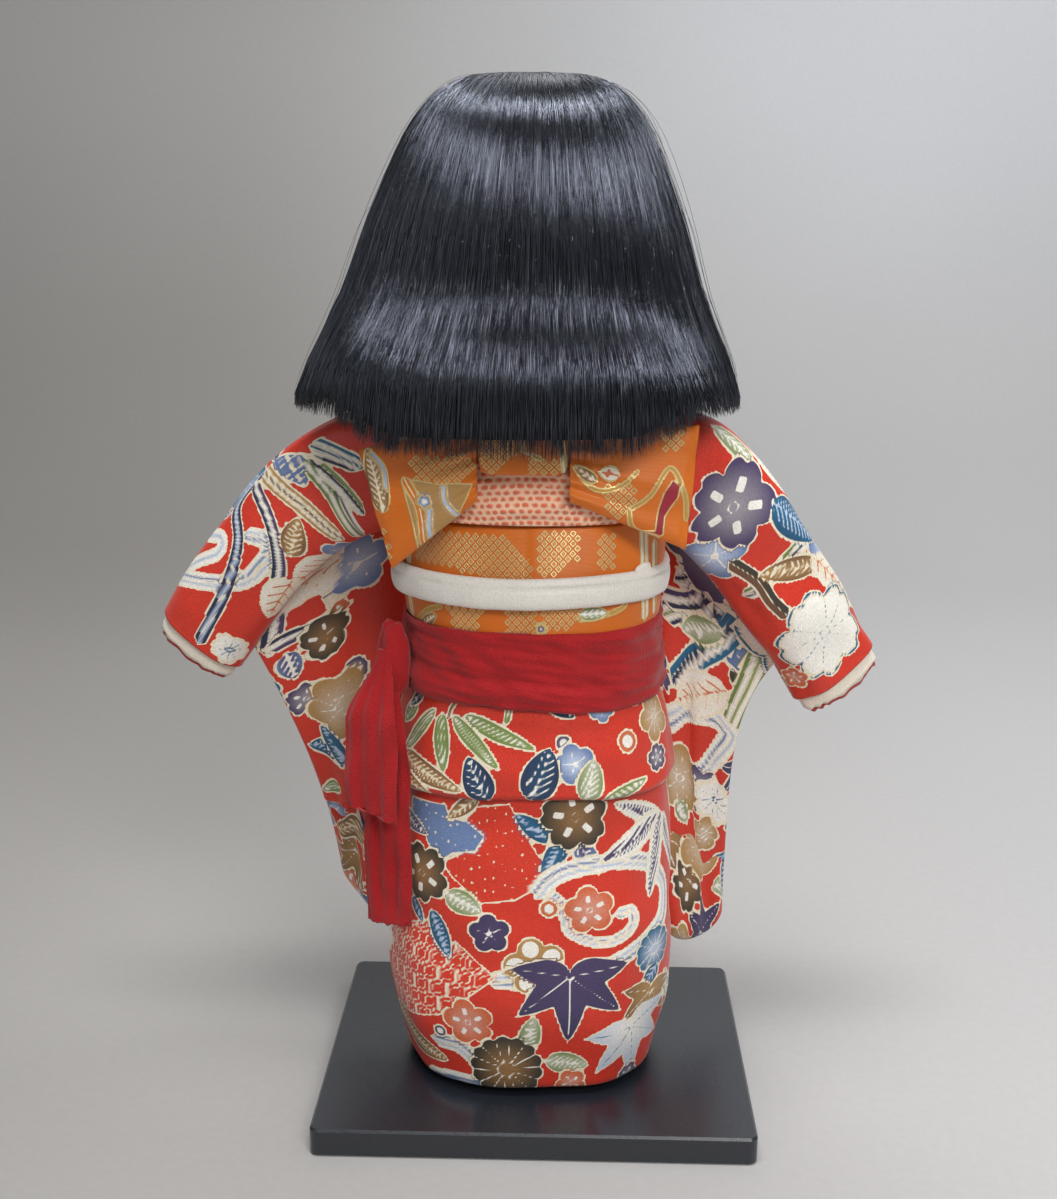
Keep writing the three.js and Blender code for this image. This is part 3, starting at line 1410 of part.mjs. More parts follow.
function buildBowKnot() {
  const y = bowFace + bowKnotThickness / 2 + bowKnotOut;
  return loft(bowKnotShares.map(([share, wideShare, deepShare]) => {
    const level = bowTop - bowKnotHeight * (1 - share);
    const [w, d] = [(bowKnotWidth / 2) * wideShare, (bowKnotThickness / 2) * deepShare];
    return oval(w, d, level, bowKnotSides, bowAside, y, bowKnotSquareness);
  }));
}

function buildWing(w) {
  const root = bowAside + w.side * (bowKnotWidth / 2 + seat);
  const rows = wingRowShares.map((share) => {
    const y = bowFace + bowThickness / 2 - w.sink * share;
    const lowLevel = obiTop + w.rootLow + (w.tipLow - w.rootLow) * share;
    const highLevel = obiTop + w.rootHigh + (w.tipHigh - w.rootHigh) * share;
    const swell = wingThickShares.root + wingThickShares.swell * Math.sin(Math.PI * share);
    return {
      from: point(root + w.side * w.lowOut * share, y, lowLevel),
      to: point(root + w.side * w.tipOut * share, y, highLevel),
      thick: bowThickness * (share === 1 ? wingThickShares.tip : swell),
      calm: share,
    };
  });
  return panel(rows, point(0, 1, 0), endSides, bowCrease, bowCreaseCount, bowSquareness);
}

add(figure, 'obi_bow_knot', buildBowKnot(), finishes.brocade);
for (const [name, w] of Object.entries(wings)) {
  add(figure, `obi_bow_${name}`, buildWing(w), finishes.brocade);
}

// Head: an oval skull with full cheeks, built from rows above the chin. Each row has
// its height and the shares of the half width and of the depths in front and behind.
const headShares = [
  [0, 0.3, 0.62, 0.1], [0.035, 0.5, 0.83, 0.25], [0.075, 0.63, 0.9, 0.38], [0.12, 0.74, 0.935, 0.52],
  [0.155, 0.81, 0.95, 0.61], [0.195, 0.87, 0.96, 0.7], [0.24, 0.925, 0.968, 0.775],
  [0.285, 0.965, 0.97, 0.83], [0.33, 0.988, 0.965, 0.88], [0.38, 1, 0.965, 0.925], [0.43, 1, 0.97, 0.955],
  [0.48, 1, 0.975, 0.975], [0.56, 0.995, 0.97, 1], [0.66, 0.97, 0.94, 1], [0.76, 0.9, 0.87, 0.94],
  [0.86, 0.76, 0.74, 0.82], [0.93, 0.58, 0.57, 0.64], [0.98, 0.32, 0.32, 0.36], [1, 0.1, 0.1, 0.12],
];

function bump(value, centre, width) {
  return Math.exp(-(((value - centre) / width) ** 2));
}

// Nose, lips, cheeks and eye hollows, as a distance forward
function featureOut(x, rise) {
  const up = smooth(eyeRise + noseOut, noseRise, rise);
  const ridge = up * smooth(noseRise - noseOut, noseRise - noseTip, rise);
  const nose = noseOut * ridge * bump(x, 0, noseBridge + noseTip * ridge);
  const upper = lipOut * bump(rise, mouthRise + lipOut, lipOut);
  const lower = lipOut * bump(rise, mouthRise - lipOut, lipOut);
  const lips = (upper + lower) * bump(x, 0, lipHalfWidth);
  const aside = Math.abs(x);
  const hollow = hollowDepth * bump(aside, eyeAside, hollowHalfWidth) * bump(rise, eyeRise, eyeRadius);
  const cheek = cheekOut * bump(aside, cheekAside, cheekReach) * bump(rise, cheekRise, cheekReach);
  return nose + lips + cheek - hollow;
}

function headPoint(angle, share, out = 0) {
  const [wide, ahead, behind] = straight(headShares, share);
  const depth = Math.sin(angle) < 0 ? ahead : behind;
  const level = chinLevel + headHeight * share;
  const p = onOval(cheekHalfWidth * wide + out, headHalfDepth * depth + out, angle, level, headSquareness);
  const forward = Math.max(-Math.sin(angle), 0) ** 2;
  p.y -= forward * featureOut(p.x, headHeight * share);
  return p.add(point(headAside, headBehind, 0));
}

// Angles round the head, closer together in front
function headAngles(count) {
  return Array.from({ length: count }, (_, i) => {
    const t = ((i + 1 / 2) / count) * turn - Math.PI;
    return front + t - faceCrowding * Math.sin(t);
  });
}

function eyeShape(out) {
  const eye = new THREE.SphereGeometry(1, eyeAcross, eyeUp).rotateX(90 * degrees);
  return eye.scale(eyeRadius + out, eyeRadius * eyeDeepShare + out, eyeRadius * eyeOpenShare + out);
}

function eyePlace(side) {
  const face = headPoint(front, eyeRise / headHeight).y;
  return point(headAside + side * eyeAside, face + eyeRadius * eyeDeepShare - eyeSet, chinLevel + eyeRise);
}

function buildHead() {
  const angles = headAngles(faceSides);
  const skull = loft(headShares.map((row) => angles.map((angle) => headPoint(angle, row[0]))));
  const [neckLow, neckHigh] = [shoulderLevel - neckPlug + seat, chinLevel + headHeight * neckTopShare];
  const neck = rod(neckRadius, neckLow, neckHigh, headAside, headBehind, neckSides);
  const ears = [-1, 1].map((side) => {
    const ear = new THREE.SphereGeometry(1, earAcross, earUp);
    ear.scale(earDepth, earHeight * earShares.wide, earHeight / 2);
    const level = chinLevel + eyeRise * earShares.rise;
    return ear.translate(headAside + side * cheekHalfWidth, headBehind + earDepth, level);
  });
  const sockets = [-1, 1].map((side) => eyeShape(seat).translate(...eyePlace(side).toArray()));
  return cut(joined(skull, neck, ...ears), ...sockets);
}

add(figure, 'head', buildHead(), finishes.gofun);
for (const [name, side] of [['left', 1], ['right', -1]]) {
  add(figure, `${name}_eye`, eyeShape(0).translate(...eyePlace(side).toArray()), finishes.glass);
}

// Hair: a bell-shaped bob, thick at its hem, close to the skull above
const hairHem = chinLevel - hairDrop;
const hairTop = crownLevel + hairRise;
const hairShares = [
  // up the hair, of the hem's half width and of its half depth
  [0, 1, 1], [0.115, 0.945, 0.98], [0.24, 0.87, 0.92], [0.425, 0.75, 0.85], [0.61, 0.626, 0.805],
  [0.78, 0.524, 0.736], [0.885, 0.434, 0.619], [0.956, 0.31, 0.443], [0.99, 0.18, 0.25], [1, 0.05, 0.067],
];

function hairHemAt(angle) {
  const sides = smooth(hairBackReach * degrees, hairSideReach * degrees, fromBack(angle));
  return hairHem - (hairDropBack - hairDrop) * (1 - sides);
}

function hairMiddle(share) {
  const low = 1 - share;
  return point(headAside + hairLean * low, headBehind + (hairHemBehind - headBehind) * low, 0);
}

function hairOuter(angle, share) {
  const [wide, deep] = straight(hairShares, share);
  const low = share === 0 ? hairHemAt(angle) : hairHem;
  const level = low + (hairTop - hairHem) * share;
  const p = onOval(hairHemHalfWidth * wide, hairHemHalfDepth * deep, angle, level, hairSquareness);
  return p.add(hairMiddle(share));
}

function hairInner(angle, share) {
  const outer = hairOuter(angle, share);
  const centre = hairMiddle(share);
  const away = outer.clone().sub(centre).setZ(0);
  const falling = centre.clone().addScaledVector(away, 1 - hairLock / away.length()).setZ(outer.z);
  const skullShare = Math.min(Math.max((outer.z - chinLevel) / headHeight, 0), 1);
  const [wide, ahead, behind] = straight(headShares, skullShare);
  const depth = Math.sin(angle) < 0 ? ahead : behind;
  const [w, d] = [cheekHalfWidth * wide + hairGap, headHalfDepth * depth + hairGap];
  const skull = onOval(w, d, angle, outer.z, hairSquareness).add(point(headAside, headBehind, 0));
  const [from, to] = skullFitShares.map((up) => chinLevel + headHeight * up);
  return falling.lerp(skull, smooth(from, to, outer.z));
}

function buildHairDome() {
  const angles = Array.from({ length: hairSides }, (_, i) => (i / hairSides) * turn);
  const outer = loft(hairShares.map((row) => angles.map((angle) => hairOuter(angle, row[0]))));
  const toShare = (level) => (level - hairHem) / (hairTop - hairHem);
  const fitShare = toShare(chinLevel + headHeight * skullFitShares[0]);
  const fallingShares = hairShares.map((row) => row[0]).filter((share) => share < fitShare);
  const onHead = headShares.map((row) => toShare(chinLevel + headHeight * row[0]));
  const skullShares = onHead.filter((share) => share > fitShare && share < toShare(crownLevel));
  const rings = [...fallingShares, ...skullShares].map((share) => {
    return angles.map((angle) => hairInner(angle, share));
  });
  const lid = angles.map((angle) => hairInner(angle, toShare(crownLevel)).setZ(crownLevel + hairGap));
  const foot = rings[0].map((p) => p.clone().setZ(hairHem - (hairDropBack - hairDrop) - overrun));
  return cut(outer, loft([foot, ...rings, lid]));
}

const faceY = headBehind - faceCut;
const fringeLevel = chinLevel + fringeRise;

function faceBlock(inset, low) {
  const reach = headAside + faceHalfWidth - inset;
  return block(
    point(2 * headAside - reach, -hairHemHalfDepth - overrun, low),
    point(reach, faceY - inset, hairTop + overrun),
  );
}

const dome = buildHairDome();
add(figure, 'hair', cut(dome, faceBlock(0, hairHem - hairLock - overrun)), finishes.hair);
add(figure, 'hair_fringe', common(dome, faceBlock(seat, fringeLevel)), finishes.hair);

export default group;
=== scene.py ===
# Ichimatsu doll in a long-sleeved silk kimono on a lacquered board, seen from behind.
import math

import bpy
import numpy as np
from mathutils import Matrix


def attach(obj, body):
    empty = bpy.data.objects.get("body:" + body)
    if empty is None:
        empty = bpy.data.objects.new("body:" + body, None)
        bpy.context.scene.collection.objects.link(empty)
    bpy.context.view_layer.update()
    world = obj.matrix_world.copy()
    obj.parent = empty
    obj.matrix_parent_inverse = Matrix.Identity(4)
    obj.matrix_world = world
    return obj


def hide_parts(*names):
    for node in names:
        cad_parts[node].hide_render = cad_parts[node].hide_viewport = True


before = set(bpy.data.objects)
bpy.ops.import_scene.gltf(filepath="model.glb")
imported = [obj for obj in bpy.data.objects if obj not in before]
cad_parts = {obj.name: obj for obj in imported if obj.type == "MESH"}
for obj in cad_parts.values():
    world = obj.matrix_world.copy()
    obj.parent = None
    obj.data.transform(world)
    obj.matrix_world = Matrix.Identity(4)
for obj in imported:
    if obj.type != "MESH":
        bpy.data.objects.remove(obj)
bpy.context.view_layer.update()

# ---------------------------------------------------------------- sizes in millimetres
MM = 0.001
TURN = 2 * math.pi
FIGURE = np.array([2.5, 3.0, 11.3])  # the figure's place on the board

HEM, SASH, OBI, OBI_TOP = 3.7, 162.0, 189.0, 229.5
SHOULDER, CHIN, CROWN = 266.5, 294.5, 378.5
KNEE = 41.69
BODY = [  # level, half width, half depth of the dressed body
    [3.7, 46.5, 36], [41.69, 54, 41], [119.26, 49.8, 39], [149.34, 45, 37.5],
    [175.5, 38.4, 35], [209.25, 39.7, 34], [229.5, 41, 33],
]
OVAL = 2.3  # power of the body's ovals
INNER = 900.0  # added to a place round the body on a cloth's inner face, which no figure reaches
UNDER_OUT, SILK_OUT = 1.5, 3.3  # each layer's outer face past the body
CLIMB = 1.8  # rise of the silk where the left front laps over the right
FOLD_OUT, SASH_OUT, OBI_OUT = 7.7, 10.7, 9.7
CHEST_HALF_WIDTH, CHEST_HALF_DEPTH = 51.2, 34.8
NECK_HALF_WIDTH, NECK_HALF_DEPTH, YOKE = 19.0, 15.5, 4.5
HAIR_HEM, HAIR_TOP, FRINGE_END = 272.5, 384.5, 344.5
SKIRT_TOP, FOLD_FOOT, FOLD_TOP = 168, 126, 166
CORD_LEVEL, CORD_OUT = 205.5, 12.7
SEAM_OUT, SEAM_LEVEL = 51.5, 243.5  # middle of the seam between sleeve and bodice
HEAD_HEIGHT, HEAD_HALF, EYE_RISE, EYE_ASIDE = 84, 36, 34, 13.5

# ---------------------------------------------------------------- camera
SPOT = np.array([-11.588, 564.516, 346.577])
YAW, PITCH, ROLL = math.radians(1.622), math.radians(14.324), math.radians(0.2655)
PHOTO_HEIGHT, FOCAL_PIXELS, SENSOR = 1199, 1500, 36.0
AHEAD = np.array([math.sin(YAW) * math.cos(PITCH), -math.cos(YAW) * math.cos(PITCH), -math.sin(PITCH)])
LEVEL_RIGHT = np.array([-math.cos(YAW), -math.sin(YAW), 0])
LEVEL_UP = np.cross(LEVEL_RIGHT, AHEAD)
RIGHT = math.cos(ROLL) * LEVEL_RIGHT + math.sin(ROLL) * LEVEL_UP
UP = math.cos(ROLL) * LEVEL_UP - math.sin(ROLL) * LEVEL_RIGHT
MIDDLE = (528.5, 599.5)  # of the photograph, in its pixels


def add_camera():
    """The photograph's place and angle: the heading is turned by the yaw, dipped by the pitch and rolled a little."""
    data = bpy.data.cameras.new("camera")
    data.sensor_width = SENSOR
    data.lens = FOCAL_PIXELS / PHOTO_HEIGHT * SENSOR
    data.clip_start, data.clip_end = 0.02, 20
    camera = bpy.data.objects.new("camera", data)
    bpy.context.scene.collection.objects.link(camera)
    place = Matrix.Identity(4)
    for row in range(3):
        place[row][0], place[row][1], place[row][2] = RIGHT[row], UP[row], -AHEAD[row]
        place[row][3] = SPOT[row] * MM
    camera.matrix_world = place
    bpy.context.scene.camera = camera


add_camera()


# ---------------------------------------------------------------- curves and surfaces
def smooth(low, high, value):
    """0 below low, 1 above high, and 3t^2 - 2t^3 between."""
    t = np.clip((np.asarray(value, float) - low) / (high - low), 0, 1)
    return t * t * (3 - 2 * t)


def follow(rows, level):
    """Smooth curve through rows [level, values]: a cubic on each span, with the slopes of the neighbouring rows."""
    rows = np.asarray(rows, float)
    x, y = rows[:, 0], rows[:, 1:]
    k = np.arange(len(x))
    before, after = np.maximum(k - 1, 0), np.minimum(k + 1, len(x) - 1)
    slope = (y[after] - y[before]) / (x[after] - x[before])[:, None]
    held = np.clip(np.asarray(level, float), x[0], x[-1])
    i = np.clip(np.searchsorted(x, held, side="right") - 1, 0, len(x) - 2)
    span = (x[i + 1] - x[i])[..., None]
    t = (held - x[i])[..., None] / span
    rise = t * t * (3 - 2 * t)
    leave, arrive = t * (1 - t) ** 2 * span, t * t * (t - 1) * span
    return y[i] * (1 - rise) + y[i + 1] * rise + slope[i] * leave + slope[i + 1] * arrive


def signed_power(value, power):
    """|value| to a power, with value's sign."""
    return np.sign(value) * np.abs(value) ** power


def on_oval(half_width, half_depth, angle, level, power=OVAL):
    """Point of the oval |x/w|^p + |y/d|^p = 1 at an angle from +X towards +Y."""
    x = half_width * signed_power(np.cos(angle), 2 / power)
    y = half_depth * signed_power(np.sin(angle), 2 / power)
    return np.stack(np.broadcast_arrays(x, y, level), -1)


def on_body(angle, level, out, rows=BODY):
    """Point of the body's oval at that level, moved out by the cloth below it."""
    half = follow(rows, level)
    return on_oval(half[..., 0] + out, half[..., 1] + out, angle, level)


def off_front(angle):
    """Angle from the front of the figure, 0 to pi."""
    return np.abs((angle + math.pi / 2 + math.pi) % TURN - math.pi)


def off_back(angle):
    """Angle from the back of the figure, 0 to pi."""
    return math.pi - off_front(angle)


def ripple(u, v, seed, size, count=18):
    """Uneven waves: a sum of sines of random heading and of wavelengths near size, about 1 high."""
    rng = np.random.default_rng(seed)
    total = 0.0
    for _ in range(count):
        heading, phase = rng.uniform(0, TURN, 2)
        wave = TURN / (size * rng.uniform(0.6, 1.9))
        total = total + np.sin(wave * (u * math.cos(heading) + v * math.sin(heading)) + phase)
    return total / math.sqrt(count / 2)


def spread(low, high, count):
    return np.linspace(low, high, count)


def round_in(count):
    """That many even angles of one turn."""
    return spread(0, TURN, count + 1)[:-1]


def length_of(path):
    """Distance along a path at each of its points."""
    return np.concatenate([[0], np.cumsum(np.linalg.norm(np.diff(path, axis=0), axis=1))])


def unit(vectors):
    """The vectors at length 1."""
    return vectors / np.maximum(np.linalg.norm(vectors, axis=-1, keepdims=True), 1e-9)


def grid_faces(rows, columns, round_rows=False, round_columns=False):
    """Quads of a grid of points, joined end to end where it runs round."""
    r = np.arange(rows if round_rows else rows - 1)[:, None]
    c = np.arange(columns if round_columns else columns - 1)[None, :]
    r1, c1 = (r + 1) % rows, (c + 1) % columns
    corners = [r * columns + c, r * columns + c1, r1 * columns + c1, r1 * columns + c]
    return np.stack([np.broadcast_to(x, (r.size, c.size)) for x in corners], -1).reshape(-1, 4)


def outward(points, faces):
    """The faces, turned round if the volume that they enclose about their middle is negative."""
    p = points[faces] - points.mean(0)
    volume = np.einsum("ij,ij->i", p[:, 0], np.cross(p[:, 1], p[:, 2])).sum()
    volume += np.einsum("ij,ij->i", p[:, 0], np.cross(p[:, 2], p[:, 3])).sum()
    return faces if volume > 0 else faces[:, ::-1]


def mesh_piece(name, points, faces, material, fields=None, body="figure", soft_edges=True):
    """A piece from points in millimetres, quads (a triangle has its last corner twice) and point fields."""
    mesh = bpy.data.meshes.new(name)
    sides = np.where(faces[:, 2] == faces[:, 3], 3, 4)
    starts = np.concatenate([[0], np.cumsum(sides)[:-1]])
    keep = np.ones(faces.shape, bool)
    keep[:, 3] = sides == 4
    mesh.vertices.add(len(points))
    mesh.vertices.foreach_set("co", (points * MM).astype(np.float32).ravel())
    mesh.loops.add(int(sides.sum()))
    mesh.loops.foreach_set("vertex_index", faces[keep].astype(np.int32))
    mesh.polygons.add(len(faces))
    mesh.polygons.foreach_set("loop_start", starts.astype(np.int32))
    mesh.polygons.foreach_set("use_smooth", np.full(len(faces), soft_edges))
    mesh.update(calc_edges=True)
    kinds = {1: ("FLOAT", "value"), 3: ("FLOAT_VECTOR", "vector"), 4: ("FLOAT_COLOR", "color")}
    for field, values in (fields or {}).items():
        values = np.asarray(values, np.float32)
        width = 1 if values.ndim == 1 else values.shape[1]
        if width == 2:
            values = np.concatenate([values, np.zeros((len(values), 1), np.float32)], 1)
            width = 3
        kind, key = kinds[width]
        mesh.attributes.new(field, kind, "POINT").data.foreach_set(key, values.ravel())
    mesh.validate()
    mesh.materials.append(material)
    piece = bpy.data.objects.new(name, mesh)
    bpy.context.scene.collection.objects.link(piece)
    if body:
        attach(piece, body)
    return piece


def end_strip(first, second):
    """Triangles that close the slit between two rows of point numbers."""
    n, m = len(first), len(second)
    near = np.round((np.arange(n - 1) + 0.5) / (n - 1) * (m - 1)).astype(int)
    low = np.stack([first[:-1], first[1:], second[near], second[near]], -1)
    turn = np.searchsorted(near, np.arange(m - 1), side="right")
    high = np.stack([second[1:], second[:-1], first[turn], first[turn]], -1)
    return np.concatenate([low, high])


def surface(name, grid, material, fields=None, round_rows=False, round_columns=False, caps=False, body="figure",
            place=FIGURE, faces_turned=None, sewn_ends=0):
    """A piece from a grid of points. Caps close its first and last rows with a fan round their middle. Sewn ends close
    its first and last columns, where that many rows are the cloth's outer face."""
    rows, columns = grid.shape[:2]
    points = grid.reshape(-1, 3)
    faces = grid_faces(rows, columns, round_rows, round_columns)
    fields = {k: np.asarray(v).reshape(rows * columns, -1).squeeze() for k, v in (fields or {}).items()}
    if caps:
        c = np.arange(columns)
        c1 = (c + 1) % columns
        foot, head = len(points), len(points) + 1
        last = (rows - 1) * columns
        points = np.concatenate([points, grid[0].mean(0)[None], grid[-1].mean(0)[None]])
        low = np.stack([np.full(columns, foot), c1, c, c], -1)
        high = np.stack([np.full(columns, head), last + c, last + c1, last + c1], -1)
        faces = np.concatenate([faces, low, high])
        ends = {k: np.stack([v[:columns].mean(0), v[-columns:].mean(0)]) for k, v in fields.items()}
        fields = {k: np.concatenate([v, ends[k]]) for k, v in fields.items()}
    if sewn_ends:
        first, second = np.arange(sewn_ends) * columns, np.arange(rows - 1, sewn_ends - 1, -1) * columns
        strip = end_strip(first, second)
        faces = np.concatenate([faces, strip, strip[:, [1, 0, 2, 3]] + columns - 1])
    faces = outward(points, faces) if faces_turned is None else (faces[:, ::-1] if faces_turned else faces)
    turned = faces[:, 0] == faces[:, 1]
    faces = np.where(turned[:, None], faces[:, [1, 2, 3, 3]], faces)
    return mesh_piece(name, points + place, faces, material, fields, body)


def both_sides(outer, inner):
    """A grid that goes up the outer face of a cloth and down its inner face."""
    return np.concatenate([outer, inner[::-1]])


def sections(places, headings, up, high, deep, angles, power=2.0):
    """Oval rings square to a path: across it by deep and along its raised direction by high."""
    across = unit(np.cross(headings, up))
    raised = np.cross(across, unit(headings))
    x = deep[:, None] * signed_power(np.cos(angles), 2 / power)[None]
    y = high[:, None] * signed_power(np.sin(angles), 2 / power)[None]
    return places[:, None] + across[:, None] * x[..., None] + raised[:, None] * y[..., None]


def curve_through(points, count):
    """Even steps along the smooth curve through points, each span the cubic of the four points around it."""
    p = np.asarray(points, float)
    p = np.concatenate([[2 * p[0] - p[1]], p, [2 * p[-1] - p[-2]]])
    t = spread(0, len(p) - 3 - 1e-9, 24 * len(p))
    i = t.astype(int)
    f = (t - i)[:, None]
    a, b, c, d = p[i], p[i + 1], p[i + 2], p[i + 3]
    q = 0.5 * (2 * b + (c - a) * f + (2 * a - 5 * b + 4 * c - d) * f**2 + (3 * b - a - 3 * c + d) * f**3)
    run = length_of(q)
    even = spread(0, run[-1], count)
    return np.stack([np.interp(even, run, q[:, k]) for k in range(q.shape[1])], -1)


def headings_of(path):
    """Direction of a path at each of its points."""
    return unit(np.gradient(path, axis=0))


# ---------------------------------------------------------------- dyed silk
OUTLINE = 1.0  # width of the resist line round each dyed shape
LOZENGE = 3.6  # pitch of the woven lozenges


def colour(hexa):
    """An sRGB hex colour as linear RGBA."""
    srgb = np.array([int(hexa[i : i + 2], 16) for i in (1, 3, 5)]) / 255
    linear = np.where(srgb <= 0.04045, srgb / 12.92, ((srgb + 0.055) / 1.055) ** 2.4)
    return np.append(linear, 1.0)


CREAM, WHITE, GOLD = colour("#EFE3C8"), colour("#F1ECE2"), colour("#C79A3E")
NAVY, TEAL, SLATE = colour("#262C4C"), colour("#1C6488"), colour("#6C83AE")
VIOLET, OLIVE, TAN = colour("#4C3D63"), colour("#71843F"), colour("#B3894E")
DARK, CORAL, PALE_BLUE = colour("#3B3529"), colour("#D2653A"), colour("#B9C6DC")
RED, BROWN, MOSS = colour("#D8371F"), colour("#6E4A33"), colour("#8A9C5C")
CRIMSON = colour("#9E1B30")


class Dye:
    """Fields over points (u, v) of flat cloth, in millimetres: distance into the dyed shape and its colour, and
    distance off a drawn line and its ink. A later shape covers an earlier one."""

    def __init__(self, u, v):
        self.u, self.v = np.ravel(u), np.ravel(v)
        self.edge = np.full(self.u.size, -3.0)
        self.line = np.full(self.u.size, 2.0)
        self.fill = np.tile(CREAM, (self.u.size, 1))
        self.ink = np.tile(CREAM, (self.u.size, 1))

    def near(self, u, v, reach, angle=0.0):
        """The points within reach of a place, and their coordinates from it, turned by the angle in degrees."""
        k = np.nonzero((np.abs(self.u - u) < reach) & (np.abs(self.v - v) < reach))[0]
        a = math.radians(angle)
        x, y = self.u[k] - u, self.v[k] - v
        return k, x * math.cos(a) + y * math.sin(a), y * math.cos(a) - x * math.sin(a)

    def lay(self, k, inside, fill, line=None, ink=CREAM):
        """Lays a shape over the cloth where it is inside, or within the outline of it."""
        on = inside > -OUTLINE
        k, inside = k[on], inside[on]
        self.edge[k] = np.where(self.edge[k] > 0, np.maximum(inside, -OUTLINE * 0.7), np.maximum(inside, self.edge[k]))
        self.fill[k] = fill[on] if np.ndim(fill) == 2 else fill
        self.line[k] = 2.0 if line is None else np.clip(line[on], -2, 2)
        self.ink[k] = ink

    def fields(self):
        return {"dye_edge": np.clip(self.edge, -3, 3), "dye_fill": self.fill, "dye_line": self.line,
                "dye_ink": self.ink,
                "cloth": np.stack([self.u, self.v], -1)}


def shaded(inner, outer, share):
    """Colours from inner to outer by a share of each point."""
    s = np.clip(share, 0, 1)[:, None]
    return inner * (1 - s) + outer * s


def petals(x, y, count, radius, low=0.66, round_by=0.7, notch=0.0):
    """Distance into a flower whose radius is r(low + (1-low)|cos(n phi/2)|^k - notch), and the places across and along
    each petal."""
    rho, phi = np.hypot(x, y), np.arctan2(x, y)
    part = (phi * count / TURN + 0.5) % 1 - 0.5
    edge = low + (1 - low) * np.abs(np.cos(math.pi * part)) ** round_by - notch * np.exp(-((part / 0.09) ** 2))
    across, along = rho * np.sin(TURN * part / count), rho * np.cos(TURN * part / count)
    rest = rho * np.sin(TURN * (0.5 - np.abs(part)) / count)
    return (radius * edge - rho) * 0.86, rho, across, along, rest


def blossom(dye, u, v, radius, outer, inner, ink=CREAM, count=5, notch=0.0, kind="strokes", angle=0.0, rim=None):
    """A flower with shaded petals and drawn strokes, seeds or rays."""
    k, x, y = dye.near(u, v, radius * 1.3 + 2, angle)
    low, round_by = (0.9, 1.0) if count > 8 else (0.68, 0.62)
    inside, rho, across, along, rest = petals(x, y, count, radius, low, round_by, notch)
    fill = shaded(inner, outer, (rho / radius - 0.15) * 1.35)
    if kind == "strokes":
        stroke = np.maximum(np.abs(across) - 0.09 * radius, np.abs(along - 0.47 * radius) - 0.15 * radius)
        line = np.minimum(stroke, np.abs(rho - 0.12 * radius) - 0.26)
    elif kind == "rays":
        line = np.maximum(np.minimum(np.abs(rest), np.abs(across)) - 0.22, np.abs(rho - 0.48 * radius) - 0.26 * radius)
        line = np.minimum(line, np.abs(rho - 0.13 * radius) - 0.3)
    elif kind == "cups":
        cup = np.hypot(across / 0.27, (along - 0.62 * radius) / 0.3) / radius - 1
        line = np.minimum(cup * 0.27 * radius, rho - 0.1 * radius)
    elif kind == "star":
        line = np.minimum(np.maximum(np.abs(across) - 0.3, rho - 0.62 * radius), rho - 0.11 * radius)
    else:
        line = np.minimum(np.maximum(rest - 0.3, 0.25 * radius - rho), np.abs(rho - 0.22 * radius) - 0.3)
    if rim is not None:
        dye.lay(k, inside + 0.11 * radius, rim)
    dye.lay(k, inside, fill, line, ink)


def leaf_half(share, width):
    """Half width of a leaf at a share of its length: widest past its foot, drawn in to the tip."""
    return width * np.sqrt(np.clip(3.2 * share * (1 - share) * (1.25 - 0.5 * share), 0, None)) * (1 - 0.35 * share**4)


def leaf(dye, u, v, length, width, fill, shade, ink=CREAM, angle=0.0, veins=2.4):
    """A pointed leaf from its stalk at (u, v), with a midrib and side veins."""
    k, x, y = dye.near(u, v, length * 1.1 + 3, angle)
    half = leaf_half(np.clip(y / length, 0, 1), width)
    inside = np.where((y > 0) & (y < length), half - np.abs(x), -np.hypot(x, np.maximum(-y, y - length))) * 0.85
    line = np.maximum(np.abs(x) - 0.27, y - 0.92 * length)
    if veins:
        vein = np.abs(((y - np.abs(x) * 1.1) / veins) % 1 - 0.5) * veins * 0.65 - 0.3
        line = np.minimum(line, np.maximum(vein, np.abs(x) - 0.72 * half))
    dye.lay(k, inside, shaded(fill, shade, np.abs(x) / width), line, ink)


def maple(dye, u, v, radius, fill, shade, ink, angle):
    """A leaf of five pointed lobes that spread from its stalk 50 degrees apart, each with a rib."""
    k, x, y = dye.near(u, v, radius * 1.15 + 2, angle)
    best, line = np.full(k.size, -9.0), np.full(k.size, 2.0)
    for off in range(-2, 3):
        a, long = off * math.radians(50), radius * (1 - 0.11 * abs(off))
        lx, ly = x * math.cos(a) - y * math.sin(a), y * math.cos(a) + x * math.sin(a)
        t = np.clip(ly / long, 0, 1)
        half = radius * 0.21 * (np.sqrt(np.clip(t * 2.2, 0, 1)) * (1 - t) ** 0.75 * 1.55)
        inside = np.where(ly > -0.5, np.minimum(half - np.abs(lx), (long - ly) * 0.5), -np.hypot(lx, ly))
        best = np.maximum(best, inside)
        rib = np.maximum(np.abs(lx) - 0.26, ly - 0.9 * long)
        line = np.minimum(line, np.where(ly > 0, rib, 2))
    dye.lay(k, best, shaded(fill, shade, np.hypot(x, y) / radius), line, ink)


def from_curve(x, y, path):
    """Signed distance off a path of points and how far past its ends, by the nearest of its points."""
    run = length_of(path)
    heading = headings_of(path)
    best = np.argmin((x[:, None] - path[None, :, 0]) ** 2 + (y[:, None] - path[None, :, 1]) ** 2, 1)
    dx, dy = x - path[best, 0], y - path[best, 1]
    along = run[best] + dx * heading[best, 0] + dy * heading[best, 1]
    off = dy * heading[best, 0] - dx * heading[best, 1]
    return off, np.maximum(np.maximum(-along, along - run[-1]), 0)


